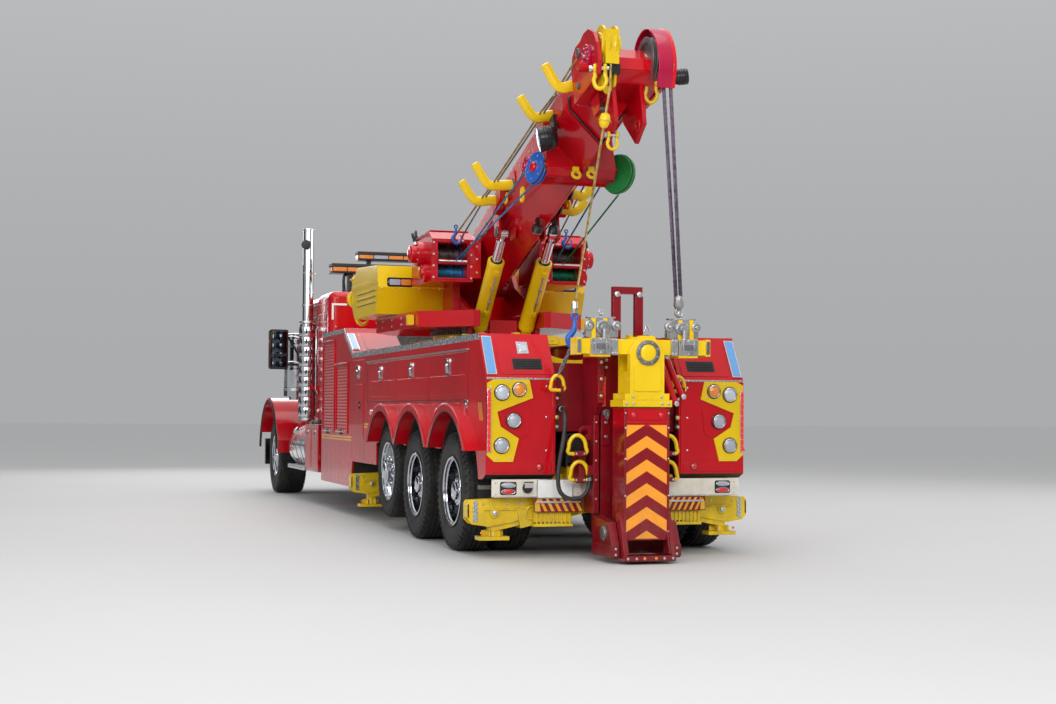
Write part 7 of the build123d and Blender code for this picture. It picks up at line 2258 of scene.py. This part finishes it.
def pad(name, body, lo, hi, crown, node, axis, grooves):
    """A filled seat cushion: blown up from a smaller closed form, then sewn channels."""
    lo, hi = ground(lo), ground(hi)
    c, h = (lo + hi) / 2, (hi - lo) / 2
    me = bpy.data.meshes.new(name)
    bm = bmesh.new()
    n = (14, 14, 14)
    k = Vector((h.x * .86, h.y * .93, h.z * .86)) if axis == "x" else Vector((h.x * .93, h.y * .93, h.z * .80))
    bmesh.ops.create_cube(bm, size=2.0)
    bmesh.ops.subdivide_edges(bm, edges=bm.edges[:], cuts=13, use_grid_fill=True)
    for v in bm.verts:
        p_ = v.co.copy()
        q = Vector((p_.x * math.sqrt(max(0, 1 - p_.y ** 2 * .16 - p_.z ** 2 * .16)), p_.y * math.sqrt(max(0, 1 - p_.x ** 2 * .10 - p_.z ** 2 * .10)),
                    p_.z * math.sqrt(max(0, 1 - p_.x ** 2 * .16 - p_.y ** 2 * .16))))
        v.co = c + Vector((q.x * k.x, q.y * k.y, q.z * k.z))
    bmesh.ops.recalc_face_normals(bm, faces=bm.faces)
    bm.to_mesh(me)
    bm.free()
    o = bpy.data.objects.new(name, me)
    SC.collection.objects.link(o)
    rest = None
    rm = o.modifiers.new("remesh", "REMESH")
    rm.mode = "VOXEL"
    rm.voxel_size = 0.020
    dg = bpy.context.evaluated_depsgraph_get()
    me2 = bpy.data.meshes.new_from_object(o.evaluated_get(dg))
    o.modifiers.clear()
    o.data = me2
    rest = [v.co.copy() for v in o.data.vertices]
    cl = o.modifiers.new("cloth", "CLOTH")
    cl.settings.use_pressure = True
    cl.settings.uniform_pressure_force = 4.0
    cl.settings.effector_weights.gravity = 0.0
    cl.settings.quality = 5
    cl.point_cache.frame_start, cl.point_cache.frame_end = 1, 20
    for f in range(1, 21):
        SC.frame_set(f)
    dg = bpy.context.evaluated_depsgraph_get()
    me3 = bpy.data.meshes.new_from_object(o.evaluated_get(dg))
    o.modifiers.clear()
    cap = .026
    for v, r_ in zip(me3.vertices, rest):
        d = v.co - r_
        if d.length > cap:
            v.co = r_ + d * (cap / d.length)
    o.data = me3
    SC.frame_set(1)
    # sewn channels across the facing side, kept inside the seat's own box
    for v in o.data.vertices:
        p_ = v.co
        t = (p_.y - c.y) / h.y
        g = 0.0
        for gy in grooves:
            g = max(g, math.exp(-((t - gy) / .035) ** 2))
        if axis == "z" and p_.z > c.z:
            p_.z -= g * .012
        if axis == "x" and p_.x > c.x:
            p_.x -= g * .012
        for i in range(3):
            p_[i] = min(max(p_[i], lo[i] + .0005), hi[i] - .0005)
    o.data.polygons.foreach_set("use_smooth", [True] * len(o.data.polygons))
    sd = o.modifiers.new("smooth", "SUBSURF")
    sd.levels = sd.render_levels = 1
    o.data.materials.append(R["cloth"])
    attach(o, body)
    return o


for side, s in SIDES:
    seat = pad("seat_cushion_" + side, "chassis", (8.880, s * .480 - .250, 1.331), (9.420, s * .480 + .250, 1.520), .02, "seats", "z", (-.55, 0, .55))
    back = pad("seat_back_" + side, "chassis", (8.760, s * .480 - .240, 1.400), (8.878, s * .480 + .240, 2.230), .02, "seats", "x", (-.6, -.2, .2, .6))
    if s > 0:
        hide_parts("seats")
    p = Piece("seat_base_" + side, "chassis", "plastic", bevel=0.004)
    y = s * .480
    p.mat("plastic").box(8.97, 9.33, y - .155, y + .155, 1.1515, 1.175)
    p.mat("frame")
    for xx in (9.02, 9.28):
        p.tube([(xx - .06, y - .13, 1.19), (xx + .06, y - .13, 1.30)], .012, 10)
        p.tube([(xx + .06, y + .13, 1.19), (xx - .06, y + .13, 1.30)], .012, 10)
    for i in range(6):
        z = 1.185 + i * .019
        p.mat("seal").tube([(9.15 + (.115 if i % 2 else .125) * a, y + (.100 if i % 2 else .110) * b, z) for a, b in
                            rounded([(-1, -1), (1, -1), (1, 1), (-1, 1)], .25, 4)], .009, 8, closed=True)
    p.mat("plastic").box(8.93, 9.38, y - .20, y + .20, 1.300, 1.329)
    p.mat("chrome").tube([(9.30, y + .205, 1.30), (9.36, y + .222, 1.34)], .007, 10)
    # piping round the cushion and the back, belt
    p.mat("seal").tube([(x_, y + q, 1.424) for x_, q in rounded([(8.886, -.244), (9.414, -.244), (9.414, .244), (8.886, .244)], .05, 4)], .0055, 8, closed=True)
    p.tube([(8.820, y + q, z_) for q, z_ in rounded([(-.234, 1.405), (.234, 1.405), (.234, 2.225), (-.234, 2.225)], .06, 4)], .0055, 8, closed=True)
    p.mat("brushed").box(9.00, 9.06, y - s * .252 - .006, y - s * .252 + .006, 1.45, 1.60)
    # the red release button takes the red lens finish and glows faintly, though it is no lamp: painted glow
    p.mat("lens_red").box(9.01, 9.05, y - s * .252 - .009, y - s * .252 + .009, 1.58, 1.61)
    p.done()


# --------------------------------------------------------------- underside ---
def leafs(p, x, s, y, z, half, n=6):
    for i in range(n):
        L = half * (1 - .12 * i)
        pts = []
        for k in range(13):
            t = -1 + 2 * k / 12
            pts.append((x + L * t, z - .016 * i + .085 * t * t * (1 - .09 * i)))
        up = [(a, b + .014) for a, b in pts]
        p.mat("cast").xz(pts + up[::-1], *ends(s, y - .040, y + .040))
    p.mat("frame")
    for dx in (-.075, .075):
        for dy in (-.052, .052):
            p.cyl((x + dx, s * y + dy, z - .17), (x + dx, s * y + dy, z + .05), .011, seg=12)
    p.box(x - .10, x + .10, *ends(s, y - .065, y + .065), z + .020, z + .042)


for side, s in SIDES:
    p = Piece("springs_" + side, "chassis", "cast", bevel=0.001, seg=1)
    leafs(p, 11.290, s, .385, .640, .70, 5)
    for x in (.882, 2.262):
        # air bellows and trailing arms
        p.mat("seal").lathe((x - .33, s * .500, .500), (0, 0, 1), [(0, .085), (.03, .115), (.06, .120), (.10, .108), (.13, .122), (.17, .125), (.20, .11), (.215, .08)], 32)
        p.mat("cast").prism([(x - .42, s * .465, .44), (x + .36, s * .465, .50), (x + .36, s * .465, .545), (x - .42, s * .465, .498)], (0, s * .07, 0))
        p.mat("frame").lathe((x + .30, s * .535, .50), (0, -s, 0), [(0, .045), (.075, .045)], 20)
        # brake chambers
        p.mat("frame").lathe((x + .14, s * .50, .60), (0, -s * .2, .4), [(0, .05), (.02, .082), (.06, .086), (.065, .080), (.11, .080), (.115, .086), (.16, .070), (.17, 0)], 26)
    p.mat("seal").lathe((3.28, s * .500, .530), (0, 0, 1), [(0, .080), (.03, .108), (.06, .112), (.10, .100), (.13, .112), (.17, .112), (.195, .08)], 30)
    # shock absorbers
    for x in (1.25, 2.63, 10.95):
        p.mat("frame").cyl((x, s * .43, .50), (x + .05, s * .40, .72), .034, seg=18)
        p.mat("rod").cyl((x + .05, s * .40, .72), (x + .07, s * .39, .80), .014, seg=12)
    p.done()

    # mudflaps ahead of and behind the rear groups, hung on bars
    p = Piece("mudflaps_" + side, "chassis", "seal", bevel=0.002)
    for x in (.262, 4.07):
        pts = []
        n = 14
        top, bot = (.62 if x < 1 else .63), (.27 if x < 1 else .30)
        for i in range(n + 1):
            t = i / n
            pts.append((x - .010 - .035 * t * t, top + (bot - top) * t))
        p.mat("seal").xz(pts + [(a + .009, b) for a, b in pts[::-1]], *ends(s, .60, 1.155))
        p.mat("brushed").box(x - .018, x + .006, *ends(s, .60, 1.155), top - .055, top - .020)
        for y in (.66, .80, .95, 1.10):
            p.bolt((x - .018, s * y, top - .037), (-1, 0, 0), .008, .006)
    p.done()

p = Piece("driveline", "chassis", "frame", bevel=0.001, seg=1)
p.mat("frame").cyl((9.35, 0, .80), (6.30, 0, .66), .055, seg=24)
p.cyl((6.20, 0, .655), (2.62, 0, .545), .055, seg=24)
p.cyl((1.94, 0, .54), (1.22, 0, .54), .045, seg=20)
p.mat("cast")
for x, z in ((6.25, .658), (2.58, .545), (1.97, .54), (1.19, .54), (9.38, .80)):
    p.lathe((x - .045, 0, z), (1, 0, 0), [(0, .045), (.012, .075), (.078, .075), (.09, .045)], 24)
    p.cyl((x, -.082, z), (x, .082, z), .020, seg=14)
    p.cyl((x, 0, z - .082), (x, 0, z + .082), .020, seg=14)
p.box(6.17, 6.33, -.345, .345, .735, .775)
# differentials with ribbed covers
for x in (.882, 2.262):
    p.mat("cast").lathe((x, 0, .520), (1, 0, 0), [(-.20, .10), (-.17, .165), (-.08, .205), (.08, .205), (.17, .150), (.24, .085), (.27, .070)], 36)
    p.mat("brushed")
    for i in range(10):
        a = 2 * math.pi * i / 10
        p.bolt((x - .150, .150 * math.cos(a), .520 + .150 * math.sin(a)), (-1, 0, 0), .011, .012)
# air reservoirs along the rails
p.mat("black")
for x in (4.35, 5.05, 6.60):
    for sg in (1, -1):
        if x == 5.05:
            continue
        p.mat("frame").lathe((x - .30, sg * .53, .68), (1, 0, 0), [(0, 0), (.01, .06), (.04, .105), (.08, .115), (.52, .115), (.56, .105), (.59, .06), (.60, 0)], 32)
        p.mat("brushed").loop_lathe((x - .15, sg * .53, .68), (1, 0, 0), [(0, .114), (0, .119), (.03, .119), (.03, .114)], 32)
        p.loop_lathe((x + .12, sg * .53, .68), (1, 0, 0), [(0, .114), (0, .119), (.03, .119), (.03, .114)], 32)
# brake pipes clipped to the rails
for sg in (1, -1):
    p.mat("black").tube([(1.0, sg * .338, .80), (4.0, sg * .338, .80), (7.4, sg * .338, .80), (11.0, sg * .338, .80)], .012, 8)
    p.mat("brushed").tube([(1.0, sg * .336, .84), (5.0, sg * .336, .84), (11.0, sg * .336, .84)], .007, 8)
p.done()
# exhaust pipes from the engine to the stacks
p = Piece("exhaust_runs", "chassis", "brushed", bevel=0)
for sg in (1, -1):
    p.tube(curve([(9.9, sg * .30, .78), (9.4, sg * .50, .74), (8.95, sg * .54, .95), (8.76, sg * .80, 1.07), (8.742, sg * 1.10, 1.075)], 6), .052, 18)
p.done()
# deck grating and fasteners between the lockers
p = Piece("deck_plates", "chassis", "tread", bevel=0.0015, seg=1)
for i in range(12):
    x0 = .20 + i * .45
    for sg in (1, -1):
        p.mat("tread").box(x0 + .005, x0 + .445, *ends(sg, .02, .395), 1.5305, 1.5335)
p.mat("brushed")
for i in range(12):
    x0 = .20 + i * .45
    for sg in (1, -1):
        for y in (.05, .37):
            p.dome((x0 + .04, sg * y, 1.5335), (0, 0, 1), .008, .004, 10, 3)
for sg in (1, -1):
    p.mat("receiver").box(.95, 6.05, *ends(sg, .44, .52), 1.9005, 1.9035)
    p.mat("yellow_work").box(.905, .935, *ends(sg, .41, .55), 1.66, 1.895)
    p.mat("red").box(7.30, 7.50, *ends(sg, .50, .60), 1.535, 1.90)
p.done()
# yellow saddle behind the turret
p = Piece("rope_saddle", "chassis", "yellow_work", bevel=0.004)
arc = []
n = 24
for i in range(n + 1):
    t = i / n
    y = .560 - 1.12 * t
    arc.append((y, 1.700 + .235 * (2 * t - 1) ** 2))
p.yz(arc + [(y, z - .055) for y, z in arc[::-1]], 1.10, 1.18)
for sg in (1, -1):
    p.box(1.095, 1.185, *ends(sg, .530, .585), 1.535, 1.945)
    p.mat("brushed")
    for z in (1.58, 1.66):
        p.bolt((1.095, sg * .557, z), (-1, 0, 0), .012, .010)
    p.mat("yellow_work")
p.done()
